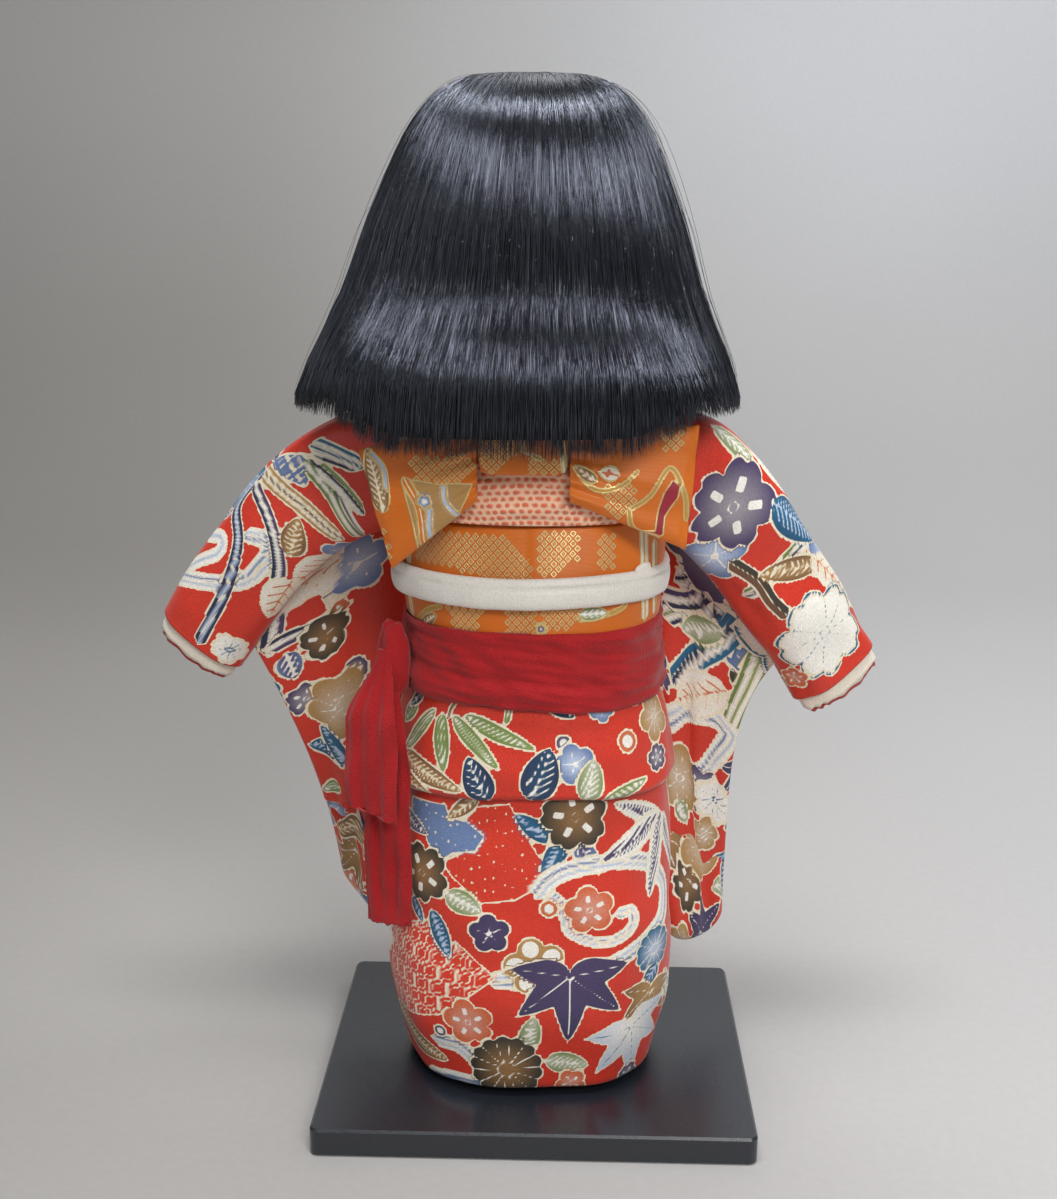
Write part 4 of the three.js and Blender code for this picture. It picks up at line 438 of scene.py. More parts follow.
def band(dye, points, half, fills):
    """A band along a curve, dyed in stripes side by side with a drawn line between them."""
    path = curve_through(points, 110)
    u, v = path.mean(0)
    reach = np.abs(path - [u, v]).max() + half + 2
    k, x, y = dye.near(u, v, reach)
    if not k.size:
        return
    off, past = from_curve(x + u, y + v, path)
    place = np.clip((off / np.maximum(half, 0.1) + 1) / 2, 0, 0.999) * len(fills)
    fill = np.array(fills)[place.astype(int)]
    line = np.abs(place - np.round(place)) * 2 * half / len(fills) - 0.24
    line = np.where((np.round(place) < 1) | (np.round(place) > len(fills) - 1), 2, line)
    dye.lay(k, half - np.abs(off) - past, fill, line)


def inside_of(x, y, corners):
    """Distance inside a polygon, negative outside it: to its nearest edge, with the side found by crossing edges."""
    corners = np.array(corners, float)
    inside, nearest = np.zeros(np.shape(x), bool), np.full(np.shape(x), 1e9)
    for a, b in zip(corners, np.roll(corners, -1, 0)):
        e = b - a
        t = np.clip(((x - a[0]) * e[0] + (y - a[1]) * e[1]) / (e @ e), 0, 1)
        nearest = np.minimum(nearest, np.hypot(x - a[0] - t * e[0], y - a[1] - t * e[1]))
        crossed = (a[1] > y) != (b[1] > y)
        inside ^= crossed & (x < a[0] + (y - a[1]) * e[0] / (e[1] if abs(e[1]) > 1e-9 else 1e-9))
    return np.where(inside, nearest, -nearest)


def patch(dye, corners, fill, kind):
    """A patch with spots, tortoise-shell cells or a key pattern, or plain."""
    corners = np.array(corners, float)
    u, v = corners.mean(0)
    k, x, y = dye.near(u, v, np.abs(corners - [u, v]).max() + 2)
    inside = inside_of(x + u, y + v, corners)
    line = None
    if kind == "spots":
        i, j = np.round(x / 3.1), np.round(y / 3.1)
        jitter = np.sin(i * 12.9 + j * 78.2) * 0.85, np.sin(i * 39.3 + j * 11.1) * 0.85
        size = 0.42 + 0.28 * np.sin(i * 5.1 + j * 9.7)
        line = np.hypot(x - i * 3.1 - jitter[0], y - j * 3.1 - jitter[1]) - size
    elif kind == "tortoise":
        cells = np.stack([x / 7.4, y / 7.4 / 1.732], -1)
        near0, near1 = cells - np.round(cells), cells - 0.5 - np.round(cells - 0.5)
        pick = (near0[:, 0] ** 2 + 3 * near0[:, 1] ** 2) < (near1[:, 0] ** 2 + 3 * near1[:, 1] ** 2)
        cell = np.where(pick[:, None], near0, near1) * [1, 1.732]
        hexa = np.maximum(np.abs(cell[:, 0]), 0.5 * np.abs(cell[:, 0]) + 0.866 * np.abs(cell[:, 1])) * 7.4
        line = np.minimum(np.abs(hexa - 3.35) - 0.22, np.abs(hexa - 1.9) - 0.28)
    elif kind == "key":
        p, q = np.abs(x / 3.4 % 1 - 0.5) * 3.4, np.abs(y / 3.4 % 1 - 0.5) * 3.4
        line = np.maximum(np.minimum(np.abs(p - 0.5), np.abs(q - 0.9)) - 0.24, np.maximum(p, q) - 1.35)
    dye.lay(k, inside, fill, line)


def blade(dye, u, v, length, width, fill, shade, ink, angle):
    """A long leaf with a line along each side of its midrib."""
    leaf(dye, u, v, length, width, fill, shade, ink, angle, 0)
    k, x, y = dye.near(u, v, length + 2, angle)
    t = np.clip(y / length, 0, 1)
    half = leaf_half(t, width)
    side = np.maximum(np.abs(np.abs(x) - half * 0.5) - 0.2, np.maximum(1.5 - y, y - 0.86 * length))
    on = (np.abs(x) < half) & (t > 0) & (t < 1)
    dye.line[k[on]] = np.minimum(dye.line[k[on]], side[on])


def flower_of(outer, inner, ink=WHITE, **how):
    return lambda dye, u, v, radius, angle: blossom(dye, u, v, radius, outer, inner, ink, angle=angle, **how)


def leaf_of(fill, shade, ink=WHITE, veins=2.4):
    return lambda dye, u, v, length, width, angle: leaf(dye, u, v, length, width, fill, shade, ink, angle, veins)


def maple_of(fill, shade, ink=WHITE):
    return lambda dye, u, v, length, width, angle: maple(dye, u, v, length, fill, shade, ink, angle)


FLOWERS = {
    "dark": flower_of(DARK, BROWN * 0.6 + TAN * 0.4, notch=0.12),
    "slate": flower_of(SLATE, PALE_BLUE, kind="star"),
    "coral": flower_of(CORAL, CORAL * 0.75 + WHITE * 0.25),
    "tan": flower_of(TAN, TAN * 0.6 + WHITE * 0.4, kind="rays"),
    "white": flower_of(TAN, TAN, kind="cups"),
    "violet": flower_of(VIOLET, VIOLET * 0.7 + WHITE * 0.3, notch=0.12),
    "navy": flower_of(VIOLET * 0.6 + NAVY * 0.4, VIOLET, kind="star"),
    "blue_edge": flower_of(WHITE, WHITE, TEAL, kind="rays", notch=0.14, rim=TEAL),
    "kiku": flower_of(DARK, TAN * 0.5 + BROWN * 0.5, count=14, kind="petals"),
    "teal_kiku": flower_of(TEAL, PALE_BLUE, count=12, kind="petals"),
    "bud": flower_of(VIOLET, VIOLET * 0.7 + WHITE * 0.3, count=40, kind="star"),
    "coral_bud": flower_of(CORAL, TAN, count=40, kind="star"),
}
LEAVES = {
    "green": leaf_of(MOSS * 0.6 + WHITE * 0.4, OLIVE),
    "teal": leaf_of(TEAL, NAVY * 0.5 + TEAL * 0.5, PALE_BLUE),
    "navy_vein": leaf_of(NAVY * 0.6 + TEAL * 0.4, NAVY, WHITE, 3.4),
    "pale": leaf_of(WHITE, WHITE, VIOLET, 2.0),
    "brown": leaf_of(TAN, BROWN, CREAM),
    "violet_leaf": leaf_of(VIOLET, SLATE),
    "knot": leaf_of(CREAM, WHITE, CORAL, 5.0),
    "blade": lambda dye, u, v, length, width, angle: blade(dye, u, v, length, width, MOSS, OLIVE, WHITE, angle),
    "violet_maple": maple_of(VIOLET, VIOLET * 0.5 + NAVY * 0.5),
    "brown_maple": maple_of(TAN, BROWN),
    "teal_maple": maple_of(WHITE, PALE_BLUE, TEAL),
}
WATER = (WHITE, PALE_BLUE, WHITE, SLATE, WHITE)


def scatter(dye, low, high, seed, pitch=21.0, seen=None):
    """Motifs over the cloth that the photograph doesn't show, one near each place of a staggered grid."""
    rng = np.random.default_rng(seed)
    names = list(FLOWERS)[:10] + list(LEAVES)[:6] + list(LEAVES)[8:]
    for row in range(int((high[1] - low[1]) / (pitch * 0.8)) + 1):
        for column in range(int((high[0] - low[0]) / pitch) + 1):
            u = low[0] + (column + 0.5 * (row % 2)) * pitch + rng.uniform(-2.5, 2.5)
            v = low[1] + row * pitch * 0.8 + rng.uniform(-2.5, 2.5)
            name, size, angle = names[rng.integers(len(names))], rng.uniform(8.0, 13.0), rng.uniform(0, 360)
            if seen is not None and seen.shows(u, v):
                continue
            if name in FLOWERS:
                FLOWERS[name](dye, u, v, size, angle)
            else:
                LEAVES[name](dye, u, v, size * 1.5, size * 0.42, angle)


class Seen:
    """The points of a cloth's outer face that look towards the photograph, with the pixel and the (u, v) of each."""

    def __init__(self, grid, u, v):
        p = grid + FIGURE
        normal = np.cross(np.gradient(p, axis=0), np.gradient(p, axis=1))
        if (normal * (p - p.mean(1, keepdims=True))).sum() < 0:
            normal = -normal
        way = unit(SPOT - p)
        facing = (unit(normal) * way).sum(-1) > 0.04
        self.u, self.v, self.facing = np.ravel(u), np.ravel(v), facing.ravel()
        d = (p - SPOT).reshape(-1, 3)[self.facing]
        self.depth = d @ AHEAD
        self.x = MIDDLE[0] + FOCAL_PIXELS * (d @ RIGHT) / self.depth
        self.y = MIDDLE[1] - FOCAL_PIXELS * (d @ UP) / self.depth
        self.places = np.stack([self.u, self.v], -1)[self.facing]

    def shows(self, u, v):
        """Whether the cloth near that place looks towards the photograph."""
        k = np.argmin((self.u - u) ** 2 + (self.v - v) ** 2)
        return self.facing[k]

    def place(self, x, y):
        """The cloth's (u, v) at a pixel, millimetres a pixel there, and how many pixels off the nearest point is."""
        far = (self.x - x) ** 2 + (self.y - y) ** 2
        k = np.argmin(far)
        return self.places[k], self.depth[k] / FOCAL_PIXELS, math.sqrt(far[k])


def draw(dye, seen, shapes, view, reach=30):
    """Lays shapes that were read off an enlargement of the photograph (its corner's pixel and its scale), in order:
    (flower, x, y, radius), (leaf, foot x, y, tip x, y, half width), (band, half width, dyes, places...) or
    (patch, dye, kind, corners...)."""
    left, top, scale = view

    def at(x, y):
        return seen.place(left + x / scale, top + y / scale)

    for name, *values in shapes:
        if name in FLOWERS:
            (u, v), size, off = at(*values[:2])
            if off < values[2] / scale + 2:
                turned = values[3] if len(values) > 3 else values[0] * 7 + values[1]
                FLOWERS[name](dye, u, v, values[2] / scale * size, turned)
        elif name in LEAVES:
            (u, v), size, off = at(*values[:2])
            (u1, v1), _, off1 = at(*values[2:4])
            if min(off, off1) < reach / scale:
                angle = math.degrees(math.atan2(u - u1, v1 - v))
                if min(off, off1) < 3 < max(off, off1):
                    length = math.hypot(values[2] - values[0], values[3] - values[1]) / scale * size
                else:
                    length = math.hypot(u1 - u, v1 - v)
                LEAVES[name](dye, u, v, max(length, 3), values[4] / scale * size, angle)
        else:
            places = [at(*place) for place in values[2:]]
            near = [uv for uv, _, off in places if off < reach / scale]
            if len(near) < 2:
                continue
            size = places[0][1]
            if name == "band":
                band(dye, near, values[0] / scale * size, values[1])
            else:
                patch(dye, near, values[0], values[1])


# ---------------------------------------------------------------- the kimono's pattern, read off the photograph
SKIRT_VIEW, LEFT_VIEW, RIGHT_VIEW, OBI_VIEW = (380, 680, 3), (140, 400, 2.2), (640, 400, 2.2), (340, 410, 3)
KEY_SLATE = SLATE * 0.85 + NAVY * 0.15
WAIST_MOTIFS = [
    ("band", 5, (BROWN, TAN), (300, 38), (255, 45), (215, 80), (203, 112)),
    ("band", 9, (OLIVE, MOSS, OLIVE), (388, 20), (390, 70), (378, 122)),
    ("blade", 110, 60, 80, 120, 26),
    ("blade", 165, 92, 75, 208, 24),
    ("blade", 255, 108, 470, 208, 27),
    ("blade", 222, 108, 358, 268, 26),
    ("blade", 188, 100, 188, 272, 30),
    ("navy_vein", 495, 30, 582, 110, 30),
    ("band", 6, (TAN, BROWN), (575, 52), (660, 50), (770, 72)),
    ("slate", 662, 88, 44),
    ("tan", 822, 108, 76, 20),
    ("coral_bud", 740, 182, 33),
    ("bud", 553, 193, 24),
    ("slate", 586, 250, 66, 15),
    ("navy_vein", 322, 385, 270, 245, 52),
    ("navy_vein", 452, 400, 500, 228, 62),
    ("green", 618, 385, 640, 255, 44),
    ("blade", 670, 360, 798, 294, 20),
    ("brown", 70, 215, 240, 332, 34),
    ("brown", 60, 250, 150, 340, 22),
    ("slate", 52, 250, 40),
    ("violet", 832, 232, 44),
    ("band", 5, (WHITE, TAN), (640, 8), (700, 24), (760, 44)),
    ("navy_vein", 130, 30, 95, 75, 20),
]
SKIRT_MOTIFS = [
    ("patch", RED, "spots", (268, 388), (385, 376), (442, 478), (516, 598), (400, 660), (302, 670), (214, 590),
     (190, 545), (284, 505), (300, 470), (262, 430)),
    ("patch", SLATE, "spots", (100, 352), (196, 372), (205, 410), (262, 425), (308, 472), (282, 508), (216, 520),
     (190, 535), (150, 510), (140, 465), (98, 410)),
    ("violet_leaf", 70, 372, 140, 462, 26),
    ("brown", 290, 352, 205, 412, 26),
    ("dark", 128, 578, 98, 30),
    ("green", 196, 640, 300, 694, 40),
    ("teal", 520, 480, 412, 402, 34),
    ("teal", 562, 478, 486, 588, 36),
    ("violet_leaf", 594, 488, 655, 582, 36),
    ("band", 15, WATER, (466, 634), (530, 650), (552, 700), (566, 752), (632, 782), (706, 778), (758, 738),
     (758, 694), (716, 702)),
    ("band", 25, WATER, (478, 640), (508, 606), (560, 572), (640, 555), (730, 545), (806, 552), (846, 606),
     (848, 690), (812, 762), (742, 826),
     (650, 872), (550, 898), (440, 908), (345, 898)),
    ("pale", 838, 402, 708, 374, 30),
    ("pale", 846, 398, 874, 560, 30),
    ("pale", 836, 400, 662, 546, 38),
    ("pale", 840, 396, 808, 646, 36),
    ("dark", 588, 410, 112, 10),
    ("coral_bud", 506, 688, 26),
    ("coral", 632, 690, 76, 8),
    ("navy", 326, 762, 62, 8),
    ("patch", RED, "tortoise", (44, 722), (150, 720), (192, 822), (228, 786), (340, 892), (232, 972), (176, 1000),
     (60, 962)),
    ("teal", 158, 690, 206, 830, 32),
    ("teal", 98, 652, 128, 724, 20),
    ("white", 466, 858, 92, 14),
    ("violet_maple", 568, 892, 560, 1085, 40),
    ("teal_kiku", 826, 806, 74),
    ("teal", 830, 850, 790, 920, 30),
    ("green", 852, 868, 864, 972, 26),
    ("brown_maple", 812, 930, 782, 1050, 40),
    ("band", 26, WATER, (176, 1078), (236, 1100), (292, 1150), (330, 1200)),
    ("band", 20, (PALE_BLUE, SLATE, WHITE), (100, 1160), (160, 1175), (250, 1195), (330, 1215)),
    ("brown", 54, 965, 200, 1136, 46),
    ("coral", 262, 1030, 78, 12),
    ("bud", 178, 1050, 18),
    ("green", 436, 1122, 468, 1010, 36),
    ("green", 500, 1140, 622, 1152, 40),
    ("teal_maple", 752, 1040, 748, 1172, 40),
    ("coral", 572, 1210, 50),
    ("violet", 742, 1192, 46),
    ("teal", 878, 1010, 858, 1110, 24),
    ("kiku", 378, 1168, 116, 5),
]
LEFT_SLEEVE_MOTIFS = [
    ("patch", KEY_SLATE, "key", (275, 112), (395, 128), (362, 190), (272, 150)),
    ("band", 17, (NAVY, WHITE, TEAL, WHITE, TEAL), (318, 72), (390, 108), (480, 146)),
    ("band", 17, (TAN, CREAM, BROWN, CREAM, TAN), (262, 140), (330, 212), (430, 296)),
    ("band", 20, (OLIVE, WHITE, OLIVE, NAVY, WHITE), (380, 150), (432, 220), (480, 292)),
    ("band", 13, (WHITE, NAVY, MOSS), (400, 150), (450, 195), (486, 240)),
    ("band", 13, WATER[:3], (92, 362), (132, 352), (172, 336), (178, 304), (152, 296)),
    ("band", 16, WATER, (76, 380), (150, 402), (228, 398), (276, 352), (276, 306), (240, 298)),
    ("band", 13, (WHITE, SLATE), (246, 160), (214, 196), (186, 250)),
    ("band", 14, (NAVY, PALE_BLUE, NAVY), (250, 146), (216, 228), (214, 320), (190, 420), (132, 528)),
    ("band", 14, (NAVY, WHITE, VIOLET), (256, 190), (286, 280), (306, 360), (300, 430), (286, 550)),
    ("band", 13, (NAVY, WHITE, VIOLET), (368, 388), (418, 440), (404, 492), (300, 540)),
    ("brown", 330, 340, 352, 262, 30),
    ("slate", 470, 362, 46),
    ("knot", 440, 350, 330, 410, 44),
    ("knot", 336, 396, 284, 476, 40),
    ("blue_edge", 198, 552, 36),
    ("coral_bud", 446, 460, 16),
    ("dark", 416, 520, 42, 5),
    ("bud", 476, 596, 24),
    ("violet", 366, 656, 36),
    ("violet_leaf", 318, 560, 345, 610, 20),
    ("tan", 444, 672, 62, 30),
    ("teal", 455, 800, 372, 758, 22),
    ("teal", 452, 805, 398, 716, 22),
    ("blade", 440, 855, 402, 856, 14),
    ("slate", 430, 905, 34),
    ("bud", 462, 940, 12),
    ("band", 13, (OLIVE, WHITE, MOSS), (434, 1004), (468, 1046), (510, 1064)),
    ("tan", 500, 1010, 40),
    ("teal_kiku", 490, 1130, 40),
    ("violet", 530, 1180, 36),
]
RIGHT_SLEEVE_MOTIFS = [
    ("green", 160, 60, 250, 150, 24),
    ("pale", 240, 100, 320, 190, 22),
    ("slate", 164, 344, 70),
    ("band", 34, (KEY_SLATE, SLATE, KEY_SLATE), (180, 520), (246, 578), (330, 660)),
    ("band", 15, (OLIVE, WHITE, NAVY, WHITE), (240, 428), (160, 404), (92, 398)),
    ("band", 15, (NAVY, WHITE, OLIVE, WHITE, NAVY), (240, 446), (150, 452), (60, 470)),
    ("band", 18, (TEAL, WHITE, NAVY, TEAL), (240, 474), (160, 540), (84, 614)),
    ("band", 12, (NAVY, WHITE, VIOLET), (150, 420), (110, 440), (60, 436)),
    ("band", 16, (OLIVE, WHITE, MOSS, WHITE, OLIVE), (270, 560), (236, 640), (196, 726)),
    ("green", 176, 506, 92, 506, 20),
    ("band", 16, WATER, (56, 704), (128, 690), (196, 738), (150, 800), (120, 830)),
    ("knot", 186, 640, 84, 664, 34),
    ("coral_bud", 304, 632, 26),
    ("violet", 130, 862, 52),
    ("tan", 90, 832, 64, 12),
    ("blue_edge", 166, 880, 44, 10),
    ("tan", 142, 956, 36),
    ("white", 112, 1016, 44),
    ("teal", 190, 990, 150, 1050, 18),
    ("green", 84, 880, 100, 930, 14),
    ("dark", 92, 1112, 58),
    ("band", 14, (TEAL, WHITE, NAVY), (140, 1050), (172, 1110), (160, 1204)),
    ("tan", 120, 1220, 40),
    ("band", 13, (DARK, BROWN), (206, 362), (262, 398), (290, 440), (322, 474)),
    ("violet", 208, 236, 98, 10),
    ("teal", 296, 226, 404, 322, 44),
    ("brown", 388, 362, 262, 386, 28),
    ("knot", 382, 346, 470, 452, 30),
    ("blue_edge", 410, 512, 96, 12),
    ("coral", 340, 610, 30),
]
# woven fields of lozenges and the shapes between them
OBI_LOZENGES = [
    [(225, 385), (300, 370), (480, 372), (575, 455), (580, 510), (430, 505), (330, 470), (230, 450)],
    [(590, 372), (715, 362), (722, 440), (660, 500), (590, 505)],
    [(770, 376), (832, 366), (822, 480), (776, 484)],
    [(320, 590), (440, 592), (410, 670), (338, 650)],
    [(500, 595), (585, 595), (585, 680), (500, 680)],
    [(600, 595), (730, 585), (700, 660), (600, 668)],
]
OBI_MOTIFS = [
    ("band", 16, (CREAM, GOLD, CREAM), (912, 350), (914, 480), (916, 620)),
    ("band", 12, (CREAM, GOLD), (944, 400), (944, 480), (944, 600)),
    ("band", 14, (CREAM, GOLD, CREAM), (208, 430), (206, 520), (212, 640)),
    ("band", 5, (GOLD,), (232, 640), (262, 600), (300, 590)),
    ("band", 5, (GOLD,), (860, 560), (850, 590), (780, 620), (720, 632)),
    ("brown", 250, 655, 310, 600, 18),
    ("green", 722, 615, 800, 606, 22),
    ("coral_bud", 606, 656, 18),
    ("violet", 604, 660, 12),
]
KNOT_LOZENGES = [[(410, 60), (540, 60), (520, 130), (470, 190), (415, 192)],
                 [(560, 150), (660, 150), (660, 190), (540, 190)]]
KNOT_MOTIFS = [("band", 6, (CREAM, GOLD), (655, 70), (668, 130), (676, 190)),
               ("band", 4, (GOLD,), (540, 80), (560, 120), (600, 150))]
WING_LOZENGES = {
    "left": [[(205, 140), (385, 130), (400, 175), (350, 235), (230, 215)],
             [(86, 320), (130, 360), (160, 450), (118, 470)]],
    "right": [[(770, 240), (860, 210), (900, 250), (830, 330)], [(960, 70), (1030, 60), (1020, 120), (980, 120)],
              [(1060, 200), (1085, 150), (1080, 330), (1055, 340)]],
}
WING_MOTIFS = {
    "left": [
        ("brown", 128, 306, 82, 104, 34),
        ("band", 5, (PALE_BLUE,), (92, 130), (130, 170), (138, 230)),
        ("patch", TAN, "plain", (186, 205), (300, 225), (392, 225), (350, 320), (300, 380), (246, 424), (214, 320)),
        ("band", 11, (colour("#D97A12"), colour("#D97A12")), (196, 214), (236, 290), (256, 400)),
        ("band", 5, (PALE_BLUE,), (308, 228), (318, 280), (356, 318)),
        ("band", 6, (PALE_BLUE,), (268, 300), (268, 350), (282, 392)),
        ("slate", 253, 276, 18),
    ],
    "right": [
        ("band", 4, (GOLD,), (726, 200), (770, 240), (840, 230), (892, 186)),
        ("brown", 770, 215, 705, 168, 17),
        ("knot", 838, 200, 780, 180, 22),
        ("band", 4, (GOLD,), (866, 300), (930, 260), (990, 176), (1034, 250), (1040, 330)),
        ("patch", CRIMSON, "plain", (900, 376), (946, 366), (958, 300), (976, 252), (1000, 218), (1018, 236),
         (1012, 262), (992, 290), (972, 320),
         (968, 372), (940, 396), (910, 394)),
        ("band", 4, (GOLD,), (866, 300), (874, 370), (940, 402)),
    ],
}


# ---------------------------------------------------------------- materials
COLOURS, SMOOTHLY = {"data_type": "RGBA"}, {"interpolation_type": "SMOOTHSTEP"}  # node settings
DARKEN = {"data_type": "RGBA", "blend_type": "MULTIPLY"}


def node(tree, kind, inputs=None, **settings):
    """Adds a shader node with its settings, values and links. A node as a value is linked by its first live output."""
    made = tree.nodes.new("ShaderNode" + kind)
    for key, value in settings.items():
        setattr(made, key, value)
    for key, value in (inputs or {}).items():
        if isinstance(value, bpy.types.Node):
            value = next(socket for socket in value.outputs if socket.enabled)
        if isinstance(value, bpy.types.NodeSocket):
            tree.links.new(value, made.inputs[key])
        else:
            made.inputs[key].default_value = value
    return made


def finish_material(name, build):
    """A material whose build function adds nodes and returns the inputs of its shader."""
    material = bpy.data.materials.new(name)
    material.use_nodes = True
    tree = material.node_tree
    tree.nodes.clear()
    shader = node(tree, "BsdfPrincipled", build(tree))
    node(tree, "OutputMaterial", {"Surface": shader})
    return material


def silk_of(base, deep, roughness, sheen, crepe):
    """Dyed silk crepe: a soft lustre over a pebbled weave, shapes with a resist line round them and drawn lines."""

    def build(t):
        edge, line = (node(t, "Attribute", attribute_name=name).outputs["Fac"] for name in ("dye_edge", "dye_line"))
        fill, ink = (node(t, "Attribute", attribute_name=name) for name in ("dye_fill", "dye_ink"))
        place = node(t, "TexCoord").outputs["Object"]
        cloud = node(t, "TexNoise", {"Vector": place, "Scale": 55.0, "Detail": 3.0})
        grain = node(t, "TexNoise", {"Vector": place, "Scale": 1500.0, "Detail": 1.0})
        pebble = node(t, "TexVoronoi", {"Vector": place, "Scale": 1250.0})
        ground = node(t, "Mix", {0: cloud, 6: base, 7: deep}, **COLOURS)
        resist = node(t, "MapRange", {0: edge, 1: -OUTLINE + 0.02, 2: -OUTLINE + 0.3}, **SMOOTHLY)
        dyed = node(t, "MapRange", {0: edge, 1: -0.12, 2: 0.12}, **SMOOTHLY)
        drawn = node(t, "MapRange", {0: line, 1: 0.14, 2: -0.14}, **SMOOTHLY)
        inked = node(t, "Math", {0: drawn, 1: dyed}, operation="MULTIPLY")
        rim = node(t, "Mix", {0: resist, 6: ground, 7: CREAM}, **COLOURS)
        body = node(t, "Mix", {0: dyed, 6: rim, 7: fill}, **COLOURS)
        lines = node(t, "Mix", {0: inked, 6: body, 7: ink}, **COLOURS)
        fleck = node(t, "MapRange", {0: grain, 1: 0.3, 2: 0.7, 3: 0.86, 4: 1.08})
        worn = node(t, "Mix", {0: 1.0, 6: lines, 7: fleck}, **DARKEN)
        bump = node(t, "Bump", {"Strength": crepe, "Distance": 0.00022, "Height": pebble})
        slub = node(t, "Bump", {"Strength": 0.25, "Distance": 0.0006, "Height": cloud, "Normal": bump})
        gloss = node(t, "MapRange", {0: grain, 1: 0.25, 2: 0.75, 3: roughness - 0.08, 4: roughness + 0.12})
        return {"Base Color": worn, "Roughness": gloss, "Normal": slub, "Sheen Weight": sheen, "Sheen Roughness": 0.4,
                "Specular IOR Level": 0.5}

    return build


def brocade_build(t):
    """Woven obi silk: orange satin warp with raised flat gold thread in lozenges, and woven shapes edged in gold."""
    edge, line = (node(t, "Attribute", attribute_name=name).outputs["Fac"] for name in ("dye_edge", "dye_line"))
    fill, ink = (node(t, "Attribute", attribute_name=name) for name in ("dye_fill", "dye_ink"))
    field = node(t, "Attribute", attribute_name="lozenges").outputs["Fac"]
    cloth = node(t, "Attribute", attribute_name="cloth").outputs["Vector"]
    parts = node(t, "SeparateXYZ", {0: cloth})
    place = node(t, "TexCoord").outputs["Object"]
    u, v = parts.outputs[0], parts.outputs[1]
    rising = node(t, "Math", {0: u, 1: v}, operation="ADD")
    falling = node(t, "Math", {0: u, 1: v}, operation="SUBTRACT")
    cells = []
    for slope in (rising, falling):
        step = node(t, "Math", {0: slope, 1: 1 / LOZENGE}, operation="MULTIPLY")
        part = node(t, "Math", {0: step}, operation="FRACT")
        middle = node(t, "Math", {0: part, 1: 0.5}, operation="SUBTRACT")
        cells.append(node(t, "Math", {0: middle}, operation="ABSOLUTE"))
    lozenge = node(t, "Math", {0: cells[0], 1: cells[1]}, operation="MAXIMUM")
    ring = node(t, "Math", {0: lozenge, 1: 0.3}, operation="SUBTRACT")
    ring = node(t, "Math", {0: ring}, operation="ABSOLUTE")
    ring = node(t, "MapRange", {0: ring, 1: 0.12, 2: 0.05}, **SMOOTHLY)
    dot = node(t, "MapRange", {0: lozenge, 1: 0.12, 2: 0.06}, **SMOOTHLY)
    figure = node(t, "Math", {0: ring, 1: dot}, operation="MAXIMUM")
    inside = node(t, "MapRange", {0: field, 1: 0.4, 2: 0.6})
    dyed = node(t, "MapRange", {0: edge, 1: -0.12, 2: 0.12}, **SMOOTHLY)
    undyed = node(t, "Math", {0: 1.0, 1: dyed}, operation="SUBTRACT")
    figure = node(t, "Math", {0: figure, 1: inside}, operation="MULTIPLY")
    figure = node(t, "Math", {0: figure, 1: undyed}, operation="MULTIPLY")
    rim = node(t, "MapRange", {0: edge, 1: -0.75, 2: -0.5}, **SMOOTHLY)
    rim = node(t, "Math", {0: rim, 1: undyed}, operation="MULTIPLY")
    drawn = node(t, "MapRange", {0: line, 1: 0.14, 2: -0.14}, **SMOOTHLY)
    drawn = node(t, "Math", {0: drawn, 1: dyed}, operation="MULTIPLY")
    gold = node(t, "Math", {0: figure, 1: rim}, operation="MAXIMUM")
    cloud = node(t, "TexNoise", {"Vector": place, "Scale": 40.0, "Detail": 2.0})
    satin = node(t, "Mix", {0: cloud, 6: colour("#E27605"), 7: colour("#CC6202")}, **COLOURS)
    body = node(t, "Mix", {0: dyed, 6: satin, 7: fill}, **COLOURS)
    body = node(t, "Mix", {0: drawn, 6: body, 7: ink}, **COLOURS)
    body = node(t, "Mix", {0: gold, 6: body, 7: colour("#E2C88A")}, **COLOURS)
    # ribs 0.45 mm apart stand for a weave too fine to show; their troughs are darkened and their crests lightened in
    # the colour as painted shade and highlight
    rib = node(t, "Math", {0: v, 1: TURN / 0.45}, operation="MULTIPLY")
    rib = node(t, "Math", {0: rib}, operation="SINE")
    shade = node(t, "MapRange", {0: rib, 1: -1.0, 2: 1.0, 3: 0.86, 4: 1.05})
    body = node(t, "Mix", {0: 1.0, 6: body, 7: shade}, **DARKEN)
    weave = node(t, "Bump", {"Strength": 0.35, "Distance": 0.0001, "Height": rib})
    raised = node(t, "Bump", {"Strength": 0.8, "Distance": 0.0002, "Height": gold, "Normal": weave})
    metal = node(t, "Math", {0: gold, 1: 0.55}, operation="MULTIPLY")
    gloss = node(t, "MapRange", {0: gold, 3: 0.42, 4: 0.3})
    return {"Base Color": body, "Roughness": gloss, "Metallic": metal, "Normal": raised, "Sheen Weight": 0.2,
            "Sheen Roughness": 0.4}


